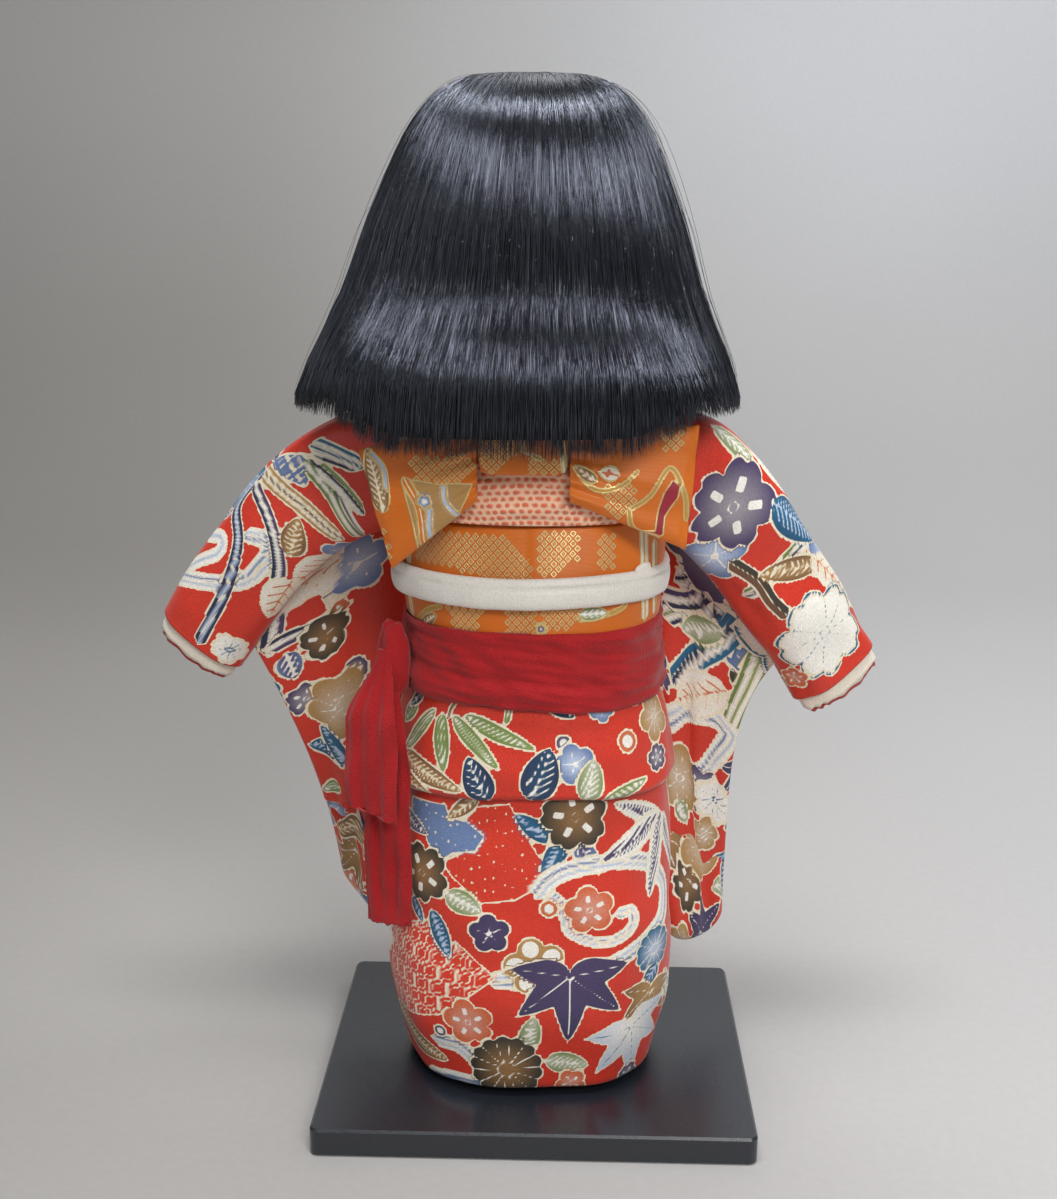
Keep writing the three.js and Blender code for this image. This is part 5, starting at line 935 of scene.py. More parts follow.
def plain_cloth(base, deep, scale, bump, distance, roughness=0.75, sheen=0.25):
    """Plain woven or crinkled cloth: a pebbled surface of one size of crinkle and slow changes of tone, with painted
    shade darkening the crinkle's pits.
    """

    def build(t):
        place = node(t, "TexCoord").outputs["Object"]
        cloud = node(t, "TexNoise", {"Vector": place, "Scale": 70.0, "Detail": 3.0})
        pits = node(t, "TexVoronoi", {"Vector": place, "Scale": scale})
        fuzz = node(t, "TexNoise", {"Vector": place, "Scale": scale * 1.7, "Detail": 2.0})
        tone = node(t, "Mix", {0: cloud, 6: colour(base), 7: colour(deep)}, **COLOURS)
        # painted shade: the colour darkens in the crinkle's pits, where the bump is lowest
        painted_pit_shade = node(t, "MapRange", {0: pits, 1: 0.05, 2: 0.55, 3: 0.78, 4: 1.04})
        tone = node(t, "Mix", {0: 1.0, 6: tone, 7: painted_pit_shade}, **DARKEN)
        low = node(t, "Bump", {"Strength": bump, "Distance": distance, "Height": pits})
        high = node(t, "Bump", {"Strength": bump * 0.5, "Distance": distance * 0.6, "Height": fuzz, "Normal": low})
        return {"Base Color": tone, "Roughness": roughness, "Normal": high, "Sheen Weight": sheen,
                "Sheen Roughness": 0.5,
                "Specular IOR Level": 0.3}

    return build


def dotted_build(t):
    """Tie-dyed silk for the scarf: rows of puckered coral dots, 3 mm apart, on pale pink."""
    cloth = node(t, "Attribute", attribute_name="cloth").outputs["Vector"]
    place = node(t, "TexCoord").outputs["Object"]
    parts = node(t, "SeparateXYZ", {0: cloth})
    wobble = node(t, "TexNoise", {"Vector": place, "Scale": 330.0, "Detail": 2.0})
    row = node(t, "Math", {0: parts.outputs[1], 1: 1 / 2.2}, operation="MULTIPLY")
    row_index = node(t, "Math", {0: row}, operation="FLOOR")
    odd = node(t, "Math", {0: row_index, 1: 0.5}, operation="MULTIPLY")
    column = node(t, "Math", {0: parts.outputs[0], 1: 1 / 3.0}, operation="MULTIPLY")
    column = node(t, "Math", {0: column, 1: odd}, operation="ADD")
    column = node(t, "Math", {0: column, 1: wobble}, operation="ADD")
    x = node(t, "Math", {0: column}, operation="FRACT")
    x = node(t, "Math", {0: x, 1: 0.5}, operation="SUBTRACT")
    y = node(t, "Math", {0: row}, operation="FRACT")
    y = node(t, "Math", {0: y, 1: 0.5}, operation="SUBTRACT")
    x2 = node(t, "Math", {0: x, 1: x}, operation="MULTIPLY")
    y2 = node(t, "Math", {0: y, 1: y}, operation="MULTIPLY")
    far = node(t, "Math", {0: x2, 1: y2}, operation="ADD")
    far = node(t, "Math", {0: far}, operation="SQRT")
    dot = node(t, "MapRange", {0: far, 1: 0.5, 2: 0.05}, **SMOOTHLY)
    dye = node(t, "Math", {0: dot, 1: wobble}, operation="MULTIPLY")
    dye = node(t, "MapRange", {0: dye, 1: 0.0, 2: 0.32})
    tone = node(t, "Mix", {0: dye, 6: colour("#EDBE9E"), 7: colour("#DB6C46")}, **COLOURS)
    pucker = node(t, "Bump", {"Strength": 0.7, "Distance": 0.0006, "Height": dot})
    grain = node(t, "TexNoise", {"Vector": place, "Scale": 1800.0})
    crepe = node(t, "Bump", {"Strength": 0.4, "Distance": 0.0002, "Height": grain, "Normal": pucker})
    return {"Base Color": tone, "Roughness": 0.72, "Normal": crepe, "Sheen Weight": 0.3, "Sheen Roughness": 0.5}


def lacquer_build(t):
    """Black urushi lacquer, polished to a satin: near-black with a clear top coat, faint ripple and rubbed specks."""
    place = node(t, "TexCoord").outputs["Object"]
    slow = node(t, "TexNoise", {"Vector": place, "Scale": 26.0, "Detail": 2.0})
    fine = node(t, "TexNoise", {"Vector": place, "Scale": 900.0, "Detail": 2.0})
    tone = node(t, "Mix", {0: slow, 6: colour("#191C22"), 7: colour("#20242C")}, **COLOURS)
    gloss = node(t, "MapRange", {0: fine, 1: 0.3, 2: 0.7, 3: 0.27, 4: 0.36})
    skin = node(t, "Bump", {"Strength": 0.05, "Distance": 0.0003, "Height": fine})
    return {"Base Color": tone, "Roughness": gloss, "Normal": skin, "Coat Weight": 0.35, "Coat Roughness": 0.2,
            "Specular IOR Level": 0.6}


def hair_build(t):
    """Black silk-fibre wig hair: near-black strands with a bluish gloss along them."""
    place = node(t, "TexCoord").outputs["Object"]
    tone = node(t, "TexNoise", {"Vector": place, "Scale": 400.0, "Detail": 1.0})
    shade = node(t, "Mix", {0: tone, 6: colour("#08090C"), 7: colour("#15171D")}, **COLOURS)
    return {"Base Color": shade, "Roughness": 0.23, "IOR": 1.75, "Specular IOR Level": 1.0,
            "Specular Tint": colour("#D3DAEC")}


def skin_build(t):
    """Polished shell white over moulded composition, with painted brows, lips and a breath of pink on the cheeks."""
    paint = node(t, "Attribute", attribute_name="paint")
    place = node(t, "TexCoord").outputs["Object"]
    fine = node(t, "TexNoise", {"Vector": place, "Scale": 700.0, "Detail": 2.0})
    speck = node(t, "MapRange", {0: fine, 1: 0.3, 2: 0.7, 3: 0.97, 4: 1.01})
    tone = node(t, "Mix", {0: 1.0, 6: paint, 7: speck}, **DARKEN)
    skin = node(t, "Bump", {"Strength": 0.08, "Distance": 0.0003, "Height": fine})
    return {"Base Color": tone, "Roughness": 0.42, "Normal": skin, "Subsurface Weight": 0.08,
            "Subsurface Radius": (0.004, 0.002, 0.0015), "Coat Weight": 0.15, "Coat Roughness": 0.3}


def eye_build(t):
    """Glass over a painted iris."""
    paint = node(t, "Attribute", attribute_name="paint")
    place = node(t, "TexCoord").outputs["Object"]
    fine = node(t, "TexNoise", {"Vector": place, "Scale": 1500.0, "Detail": 2.0})
    speck = node(t, "MapRange", {0: fine, 1: 0.3, 2: 0.7, 3: 0.9, 4: 1.1})
    tone = node(t, "Mix", {0: 1.0, 6: paint, 7: speck}, **DARKEN)
    return {"Base Color": tone, "Roughness": 0.12, "Coat Weight": 1.0, "Coat Roughness": 0.03}


def solid_of(base, deep, roughness, scale=300.0, bump=0.1, metallic=0.0, stretch=(1, 1, 1)):
    """A worked solid material with a grain of one scale, stretched along the way that it runs."""

    def build(t):
        place = node(t, "TexCoord").outputs["Object"]
        run = node(t, "Mapping", {"Vector": place, "Scale": stretch})
        grain = node(t, "TexNoise", {"Vector": run, "Scale": scale, "Detail": 4.0})
        tone = node(t, "Mix", {0: grain, 6: colour(base), 7: colour(deep)}, **COLOURS)
        gloss = node(t, "MapRange", {0: grain, 3: roughness - 0.06, 4: roughness + 0.08})
        skin = node(t, "Bump", {"Strength": bump, "Distance": 0.0003, "Height": grain})
        return {"Base Color": tone, "Roughness": gloss, "Normal": skin, "Metallic": metallic}

    return build


KIMONO = finish_material("printed_crepe_silk", silk_of(RED, colour("#C92D1A"), 0.42, 0.12, 0.5))
UNDER = finish_material("under_kimono_silk", plain_cloth("#B02018", "#9A1812", 1500, 0.3, 0.0003))
LINING = finish_material("red_lining_silk", plain_cloth("#C23420", "#A82818", 1800, 0.25, 0.0002, 0.55))
IVORY = finish_material("ivory_lining_silk", plain_cloth("#EFE6D6", "#E2D6C2", 1700, 0.25, 0.0002, 0.6))
BROCADE = finish_material("gold_figured_brocade", brocade_build)
SCARF = finish_material("tie_dyed_silk", dotted_build)
CREPE = finish_material("crimson_crepe", plain_cloth("#B0191D", "#941116", 1500, 0.6, 0.0004, 0.85, 0.15))
CORD_SILK = finish_material("white_padded_silk", plain_cloth("#E6E1D8", "#D6D0C6", 1900, 0.2, 0.0002, 0.55))
LACQUER = finish_material("black_lacquer", lacquer_build)
HAIR = finish_material("black_silk_fibre", hair_build)
HAIR_INNER = finish_material("packed_black_fibre", solid_of("#0B0C10", "#050608", 0.75, 900, 0.5, 0.0, (1, 1, 0.1)))
SKIN = finish_material("shell_white", skin_build)
EYE_GLASS = finish_material("painted_glass_eye", eye_build)
LIMB = finish_material("limb_shell_white", solid_of("#F3E8DC", "#EADCCB", 0.45, 500, 0.06))
COTTON = finish_material("cotton_wadding", plain_cloth("#EDE9E0", "#DDD8CC", 900, 0.5, 0.0006, 0.95))
TABI = finish_material("tabi_cotton", plain_cloth("#F2EFE9", "#E6E2DA", 1600, 0.35, 0.0003, 0.9))
ZORI = finish_material("zori_silk_cover", plain_cloth("#C8321E", "#AE2817", 1500, 0.3, 0.0003, 0.5))
WOOD = finish_material("turned_post_wood", solid_of("#C29A66", "#9E7444", 0.6, 500, 0.2, 0.0, (1, 1, 0.08)))
STEEL = finish_material("screw_steel", solid_of("#B4B4B4", "#8E8E90", 0.35, 900, 0.1, 1.0, (1, 1, 0.2)))
COMPOSITION = finish_material("moulded_composition", solid_of("#E6D6C0", "#D2BE9F", 0.8, 500, 0.3))
FAN_PAPER = finish_material("gilt_fan_paper", solid_of("#D9B24C", "#B98A2C", 0.38, 600, 0.2, 0.6, (1, 1, 0.1)))


# ---------------------------------------------------------------- stage
def add_stage():
    """A pale sweep: a floor that turns up into a backdrop on a quarter circle, its colour painted darker towards +X and
    on the floor and lighter towards -X and up the backdrop, as painted light and shade.
    """
    x = spread(-2600, 2600, 9)
    run = spread(0, 1, 60)
    floor_end, bend, top = -900.0, 700.0, 3200.0
    arc = bend * math.pi / 2
    total = (1600 - floor_end) + arc + (top - bend)
    s = run * total
    turn = np.clip((s - (1600 - floor_end)) / bend, 0, math.pi / 2)
    y = np.where(s < 1600 - floor_end, 1600 - s, floor_end - bend * np.sin(turn))
    z = np.where(s < 1600 - floor_end, 0, bend * (1 - np.cos(turn)) + np.clip(s - (1600 - floor_end) - arc, 0, None))
    grid = np.stack(np.broadcast_arrays(x[None], y[:, None], z[:, None]), -1)

    def build(t):
        place = node(t, "TexCoord").outputs["Object"]
        fibre = node(t, "TexNoise", {"Vector": place, "Scale": 260.0, "Detail": 3.0})
        slow = node(t, "TexNoise", {"Vector": place, "Scale": 2.2, "Detail": 1.0})
        parts = node(t, "SeparateXYZ", {0: place})
        # painted light and shade: darker towards +X and on the floor, lighter towards -X and higher up the backdrop
        across = node(t, "MapRange", {0: parts.outputs[0], 1: 0.5, 2: -0.5}, **SMOOTHLY)
        up = node(t, "MapRange", {0: parts.outputs[2], 1: 0.0, 2: 0.7}, **SMOOTHLY)
        low = node(t, "Mix", {0: across, 6: colour("#8F8C88"), 7: colour("#B9B8B8")}, **COLOURS)
        high = node(t, "Mix", {0: across, 6: colour("#B4B3B1"), 7: colour("#DCDEE2")}, **COLOURS)
        blend = node(t, "Mix", {0: up, 6: low, 7: high}, **COLOURS)
        grain = node(t, "MapRange", {0: fibre, 1: 0.3, 2: 0.7, 3: 0.98, 4: 1.02})
        blend = node(t, "Mix", {0: 1.0, 6: blend, 7: grain}, **DARKEN)
        tone = node(t, "MapRange", {0: slow, 1: 0.3, 2: 0.7, 3: 0.97, 4: 1.03})
        blend = node(t, "Mix", {0: 1.0, 6: blend, 7: tone}, **DARKEN)
        return {"Base Color": blend, "Roughness": 0.9, "Specular IOR Level": 0.2}

    surface("backdrop", grid, finish_material("backdrop_paper_painted_light", build), body=None, place=np.zeros(3),
                     faces_turned=False)


def area_light(name, place, aim, size, power, tint="#FFFFFF"):
    """A soft box at a place in millimetres, turned to face its aim."""
    data = bpy.data.lights.new(name, "AREA")
    data.shape, data.size, data.size_y = "RECTANGLE", size[0], size[1]
    data.energy = power
    data.color = colour(tint)[:3]
    light = bpy.data.objects.new(name, data)
    bpy.context.scene.collection.objects.link(light)
    back = unit(np.array(place, float) - np.array(aim, float))
    right = unit(np.cross([0, 0, 1], back))
    up = np.cross(back, right)
    matrix = Matrix.Identity(4)
    for row in range(3):
        matrix[row][0], matrix[row][1], matrix[row][2], matrix[row][3] = right[row], up[row], back[row], place[row] * MM
    light.matrix_world = matrix


def add_lights():
    """A soft box high behind the camera's right, one over the crown, a weak fill at the left, one over the front, and a
    dim even sky."""
    area_light("key_box", (-420, 1120, 1050), (0, 0, 240), (0.6, 0.4), 13)
    area_light("fill_box", (1050, 900, 600), (0, 0, 200), (0.9, 0.9), 2.2)
    area_light("top_box", (0, 330, 1550), (0, 0, 300), (0.8, 0.35), 17)
    area_light("front_box", (200, -900, 1400), (0, 0, 220), (1.0, 0.8), 7)
    area_light("backdrop_box", (-1300, -300, 1700), (-900, -1600, 300), (0.8, 0.8), 9)
    world = bpy.data.worlds.new("even_sky")
    bpy.context.scene.world = world
    world.use_nodes = True
    world.node_tree.nodes.clear()
    sky = node(world.node_tree, "Background", {"Color": colour("#DADCE0"), "Strength": 0.2})
    node(world.node_tree, "OutputWorld", {"Surface": sky})
    bpy.context.scene.view_settings.view_transform = "Standard"


# ---------------------------------------------------------------- kimono skirt and waist fold
def back_run(level):
    """Distances round the body from the middle of the back, over even angles, positive towards -X."""
    angle = spread(-math.pi, 1.5 * math.pi + math.pi, 4000)
    p = on_body(angle, np.full(4000, float(level)), SILK_OUT)
    run = length_of(p)
    return angle, run - np.interp(math.pi / 2, angle, run)


ANGLES, RUNS = back_run(90.0)


def run_of(angle):
    """Distance round the body of an angle from 0 to a turn: 0 in the middle of the back, positive towards -X."""
    return np.interp(np.where(angle > math.pi * 1.5, angle - TURN, angle), ANGLES, RUNS)




SKIRT_START = math.radians(-90 + 33.75)
SKIRT_SWEEP = math.radians(427.5)


def hanging_waves(angle):
    """Folds that hang from the sash: two cosines round the body, 5 and 9 to a turn."""
    return 0.6 * np.cos(5 * angle + 1) + 0.4 * np.cos(9 * angle)


def skirt_out(angle, along, level):
    """How far the silk stands off its layer: the climb where the left front laps, hanging folds and creases."""
    laps = smooth(TURN - math.radians(42), TURN - 0.007, SKIRT_SWEEP * along)
    calm = 1 - (1 - smooth(0, math.radians(80), off_front(angle)))
    fade = 1 - smooth(KNEE, FOLD_FOOT, level)
    waves = hanging_waves(angle)
    creases = 0.35 * ripple(angle * 44, level * 0.6, 11, 26) * smooth(-5, 30, level)
    return CLIMB * laps + 1.1 * waves * fade * calm + creases


def hem_level(angle):
    return HEM + 9.5 * (1 - smooth(0, math.radians(64), off_front(angle)))


def skirt_grid():
    """One length of silk from the hidden right front round the back to the outer edge: its outer face in fine rows, the
    hem turned in, and its inner face in a few rows."""
    along = spread(0, 1, 400)[None]
    angle = SKIRT_START - SKIRT_SWEEP * along
    foot = hem_level(angle)
    share = spread(0, 1, 176)[:, None]
    level = foot + (SKIRT_TOP - foot) * share
    a, s = np.broadcast_to(angle, level.shape), np.broadcast_to(along, level.shape)
    roll = -0.5 * (1 - smooth(0, 0.012, share))
    outer = on_body(a, level, SILK_OUT + skirt_out(a, s, level) + roll)
    low = foot + 0.2 + (SKIRT_TOP - foot) * np.array([0.0, 0.004, 0.06, 0.3, 0.65, 1.0])[:, None]
    a, s = np.broadcast_to(angle, low.shape), np.broadcast_to(along, low.shape)
    inner = on_body(a, low, SILK_OUT - 1.2 + skirt_out(a, s, low))
    run = np.interp(angle + TURN, ANGLES, RUNS)
    u = np.concatenate([np.broadcast_to(run, level.shape), np.broadcast_to(run + INNER, low.shape)])
    return both_sides(outer, inner), u, np.concatenate([level, low[::-1]])


def add_skirt():
    grid, u, v = skirt_grid()
    dye, seen = Dye(u, v), Seen(grid[:176], u[:176], v[:176])
    scatter(dye, (-172, 4), (176, 168), 5, seen=seen)
    draw(dye, seen, SKIRT_MOTIFS, SKIRT_VIEW)
    piece = surface("kimono_skirt_silk", grid, KIMONO, dye.fields(), round_rows=True, sewn_ends=176)
    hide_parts("kimono_skirt")


def waist_fold_grid():
    """The tuck of spare length: it hangs from under the sash and turns in at its lower edge."""
    angle = round_in(370)[None]
    level = spread(FOLD_FOOT, FOLD_TOP, 50)[:, None] + 0 * angle
    a = np.broadcast_to(angle, level.shape)
    u = run_of(a)
    dip = -0.7 * np.cos(a * 2 + 0.6) - 0.5 * ripple(u, 0 * u, 4, 60)
    roll = -1.1 * (1 - smooth(0, 2.2, level - FOLD_FOOT)) ** 2
    crease = 0.3 * ripple(u, level, 21, 22)
    outer = on_body(a, level + dip * (1 - smooth(0, 30, level - FOLD_FOOT)), FOLD_OUT - 0.4 + roll + crease)
    low = np.array([FOLD_FOOT + 0.3, 128.0, 140.0, FOLD_TOP])[:, None] + 0 * angle
    a2 = np.broadcast_to(angle, low.shape)
    dip2 = np.broadcast_to(dip[:1], low.shape) * (1 - smooth(0, 30, low - FOLD_FOOT))
    inner = on_body(a2, low + dip2, FOLD_OUT - 1.9)
    u2 = np.broadcast_to(u[:1], low.shape)
    return both_sides(outer, inner), np.concatenate([u, u2 + INNER]), np.concatenate([level, low[::-1]])


def add_waist_fold():
    grid, u, v = waist_fold_grid()
    dye, seen = Dye(u, v), Seen(grid[:50], u[:50], v[:50])
    scatter(dye, (-146, 122), (146, 168), 8, seen=seen)
    draw(dye, seen, WAIST_MOTIFS, SKIRT_VIEW)
    piece = surface("waist_fold_silk", grid, KIMONO, dye.fields(), round_rows=True, round_columns=True)
    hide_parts("kimono_waist_fold")


def add_under_kimono():
    """The red silk under the skirt, seen inside the hem and between the skirt's fronts."""
    angle = round_in(180)[None]
    foot = hem_level(angle) + 3
    outer_level = foot + (164 - foot) * spread(0, 1, 60)[:, None]
    inner_level = foot + (164 - foot) * np.array([0.0, 0.02, 0.5, 1.0])[:, None]
    faces = []
    for level, out in ((outer_level, UNDER_OUT), (inner_level, UNDER_OUT - 0.9)):
        a = np.broadcast_to(angle, level.shape)
        fade = (1 - smooth(KNEE, FOLD_FOOT, level)) * smooth(0, 1.4, off_front(a))
        faces.append(on_body(a, level, out + 1.1 * (hanging_waves(a) * fade)))
    piece = surface("under_kimono_silk", both_sides(*faces), UNDER, round_rows=True, round_columns=True)
    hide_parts("under_kimono")


# ---------------------------------------------------------------- bodice and collars
BODICE = [[189.3, 0, 0], [209.25, 0, 0], [229.5, 0, 0]]
for row in BODICE:
    row[1:] = (follow(BODY, np.array(row[0])) + SILK_OUT).tolist()
BODICE += [[OBI_TOP + 37 * rise, CHEST_HALF_WIDTH * wide, CHEST_HALF_DEPTH * deep] for rise, wide, deep in
           [(0.3, 0.98, 1), (0.52, 1, 0.95), (0.75, 1, 0.776), (0.9, 0.97, 0.632), (1, 0.78, 0.489)]]
BODICE += [[SHOULDER + YOKE * 0.7, CHEST_HALF_WIDTH + (NECK_HALF_WIDTH - CHEST_HALF_WIDTH) * 0.6, 16.7],
           [SHOULDER + YOKE, NECK_HALF_WIDTH, NECK_HALF_DEPTH]]
BARE = np.array([row for row in BODICE if row[0] >= OBI_TOP])
BARE_RUN = length_of(BARE[:, :2])
BARE_SLOPE = np.gradient(BARE, axis=0)
BARE_TURN = BARE_SLOPE / np.hypot(BARE_SLOPE[:, 0], BARE_SLOPE[:, 1])[:, None]
BODICE_BY_RUN = np.concatenate([BARE_RUN[:, None], BARE, BARE_TURN[:, :1], -BARE_TURN[:, 1:2]], 1)


def along_rows(rows, level):
    """Straight lines through rows [level, values]."""
    rows = np.asarray(rows, float)
    return np.stack([np.interp(level, rows[:, 0], rows[:, k]) for k in range(1, rows.shape[1])], -1)


def on_bodice(angle, run, away):
    """A point that far along the bodice's side and away from it; past the neck hole it stands up."""
    r = along_rows(BODICE_BY_RUN, np.clip(run, 0, BARE_RUN[-1]))
    past = np.maximum(run - BARE_RUN[-1], 0)
    wide = np.maximum(r[..., 1] + away * r[..., 3], NECK_HALF_WIDTH + away)
    deep = np.maximum(r[..., 2] + away * r[..., 3], NECK_HALF_DEPTH + away)
    return on_oval(wide, deep, angle, r[..., 0] + past + away * r[..., 4])


def add_bodice():
    """Closed silk from under the obi over the shoulders to the neck hole, by the smooth curve through its rows."""
    rows = np.array(BODICE)
    run = length_of(rows[:, :2])
    by_run = np.concatenate([run[:, None], rows], 1)
    s = spread(0, run[-1], 90)[:, None]
    angle = round_in(300)[None]
    half = follow(by_run, s[:, 0])
    a = np.broadcast_to(angle, (90, 300))
    u = run_of(a)
    crease = 0.35 * ripple(u, np.broadcast_to(s, a.shape), 31, 24) * smooth(45, 60, s)
    outer = on_oval(half[:, 1:2] + crease, half[:, 2:3] + crease * 0.5, a, half[:, 0:1])
    inner = on_oval(half[::12, 1:2] - 1.2, half[::12, 2:3] - 1.2, a[::12], half[::12, 0:1] - 0.6)
    grid = both_sides(outer, inner)
    v = np.broadcast_to(s, a.shape)
    dye = Dye(both_sides(u, np.broadcast_to(u[:1] + INNER, inner.shape[:2])), both_sides(v, v[::12]))
    scatter(dye, (-146, 30), (146, 110), 12)
    piece = surface("bodice_silk", grid, KIMONO, dye.fields(), round_rows=True, round_columns=True)
    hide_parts("kimono_bodice")


def collar_grid(low, high, thick, away):
    """A band along the neck hole that crosses in front, left over right: a pillow section, thin at both edges."""
    start, sweep = math.radians(-90 + 13), math.radians(386)
    top = BARE_RUN[-1] - 11 * 0.55
    along = spread(0, 1, 260)[None]
    angle = start - sweep * along
    neck = smooth(0, math.radians(78), off_front(angle)) ** 0.7
    base = 10.8 + (top - 10.8) * neck
    laps = smooth(TURN - math.radians(30), TURN - 0.007, sweep * along)
    share = spread(0, 1, 22)[:, None]
    crown = 1 - 0.35 * np.abs(2 * share - 1) ** 5
    run = base + low + (high - low) * share
    a = np.broadcast_to(angle, run.shape)
    outer = on_bodice(a, run, away + thick * crown + (thick + 0.4) * laps)
    inner = on_bodice(a[::3], run[::3], away + (thick + 0.4) * laps + 0 * run[::3])
    u = np.broadcast_to(along * 150, run.shape)
    v = np.broadcast_to(share * (high - low), run.shape)
    grid = both_sides(outer, inner)
    return grid, np.concatenate([u, u[::3] + INNER]), np.concatenate([v, v[::3][::-1]])


def add_collars():
    for name, node_name, slot, material, shape, seed in (
        ("under_collar_silk", "under_collar", "white_silk", IVORY, (0.3, 14, 1.0, 1.5), None),
        ("collar_silk", "kimono_collar", "kimono_silk", KIMONO, (0, 11, 1.8, 4.7), 17),
    ):
        grid, u, v = collar_grid(*shape)
        fields = None
        if seed:
            dye = Dye(u, v)
            scatter(dye, (-4, -2), (154, 12), seed, 19)
            fields = dye.fields()
        piece = surface(name, grid, material, fields, round_rows=True, sewn_ends=22)
        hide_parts(node_name)


# ---------------------------------------------------------------- sleeves
SLEEVES = {
    "left": {"side": 1, "elbow": (38, 9, 2), "cuff": (84, 28, 74.5), "bag_in": (4, 24, 208.5),
             "bag_out": (32.5, 44, 187.5),
             "thick": 9, "flare": 1.6},
    "right": {"side": -1, "elbow": (20, 6, 4), "cuff": (70, 28, 85), "bag_in": (5, 23, 210), "bag_out": (30, 40, 208),
              "thick": 8, "flare": 6},
}
SLEEVE_MOTIFS = {"left": (LEFT_SLEEVE_MOTIFS, LEFT_VIEW), "right": (RIGHT_SLEEVE_MOTIFS, RIGHT_VIEW)}
SLEEVE_SIZES = [[0, 23, 12], [0.38, 21, 12.5], [1, 19.4, 11]]


def sleeve_point(s, place):
    """A place out, ahead and down from the middle of the sleeve's seam."""
    return np.array([s["side"] * (SEAM_OUT + place[0]), -place[1], SEAM_LEVEL - place[2]], float)


def sleeve_path(s, shares):
    """Places and headings at shares of the length of the curve from the seam past the elbow to the cuff."""
    a, b, c = (sleeve_point(s, place) for place in ((0, 0, 0), s["elbow"], s["cuff"]))
    t = spread(0, 1, 600)[:, None]
    q = a * (1 - t) ** 2 + 2 * b * t * (1 - t) + c * t * t
    run = length_of(q)
    at = np.clip(shares, 0, 1) * run[-1]
    place = np.stack([np.interp(at, run, q[:, k]) for k in range(3)], -1)
    heading = headings_of(q)
    heading = unit(np.stack([np.interp(at, run, heading[:, k]) for k in range(3)], -1))
    past = (np.asarray(shares) - np.clip(shares, 0, 1)) * run[-1]
    return place + heading * past[:, None], heading, run[-1]


def tube_rings(s, shares, inset, columns, folds=0.0):
    """Rings of the sleeve round the arm, from its top edge round the side that looks back, pinched at its lower one."""
    place, heading, length = sleeve_path(s, shares)
    size = follow(SLEEVE_SIZES, shares) - inset
    t = spread(0, 1, columns + 1)[:-1]
    angle = math.pi / 2 + s["side"] * t * TURN
    ring = sections(place, heading, np.array([0, 0, 1.0]), size[:, 0], size[:, 1], angle, 2.6)
    if folds:
        out = unit(ring - place[:, None])
        run, around = np.broadcast_arrays(shares[:, None] * length, t[None] * 112)
        wave = ripple(run * 0.55 + around * 0.25, around, 41 + s["side"], 30)
        held = smooth(0, 0.12, shares)[:, None], 1 - 0.5 * smooth(0.9, 1, shares)[:, None]
        ring = ring + out * (wave * folds * held[0] * held[1])[..., None]
        pinch = np.exp(-(((t - 0.5) / 0.05) ** 2))[None] * smooth(0.1, 0.5, shares)[:, None]
        raised = np.cross(unit(np.cross(heading, [0, 0, 1.0])), heading)
        ring = ring - raised[:, None] * (1.6 * pinch)[..., None]
    return ring, length


def ring_runs(ring):
    """Distances round each ring from its first point, and its whole length."""
    steps = np.linalg.norm(np.roll(ring, -1, 1) - ring, axis=-1)
    runs = np.cumsum(steps, 1)
    return np.concatenate([np.zeros((len(ring), 1)), runs[:, :-1]], 1), runs[:, -1:]


def add_sleeve(name):
    s = SLEEVES[name]
    shares = np.concatenate([spread(0, 1, 130), [1.006, 1.004, 0.985]])
    ring, length = tube_rings(s, shares, 0.0, 132, 0.75)
    shrunk, _ = tube_rings(s, shares, 1.3, 132, 0.75)
    ring[-2:] = shrunk[-2:]
    ring[0, :, 0] = s["side"] * SEAM_OUT
    runs, whole = ring_runs(ring[:1] * 0.5 + ring[129:130] * 0.5)
    around = np.broadcast_to(np.where(runs > whole / 2, runs - whole, runs), ring.shape[:2])
    u = np.broadcast_to((shares * length)[:, None], around.shape)
    dye, seen = Dye(u, around), Seen(ring[:130], u[:130], around[:130])
    scatter(dye, (4, -58), (130, 58), 60 + s["side"], seen=seen)
    draw(dye, seen, *SLEEVE_MOTIFS[name])
    piece = surface(f"{name}_sleeve_silk", ring, KIMONO, dye.fields(), round_columns=True, body=f"{name}_arm")
    bag, u, v = bag_grid(s)
    dye, seen = Dye(u, v), Seen(bag, u, v)
    scatter(dye, (2, 2), (90, 214), 70 + s["side"], 19, seen)
    draw(dye, seen, *SLEEVE_MOTIFS[name])
    fall = surface(f"{name}_sleeve_fall", bag, KIMONO, dye.fields(), round_columns=True, caps=True, body=f"{name}_arm")
    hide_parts(f"{name}_sleeve")
    add_cuff(name, s)


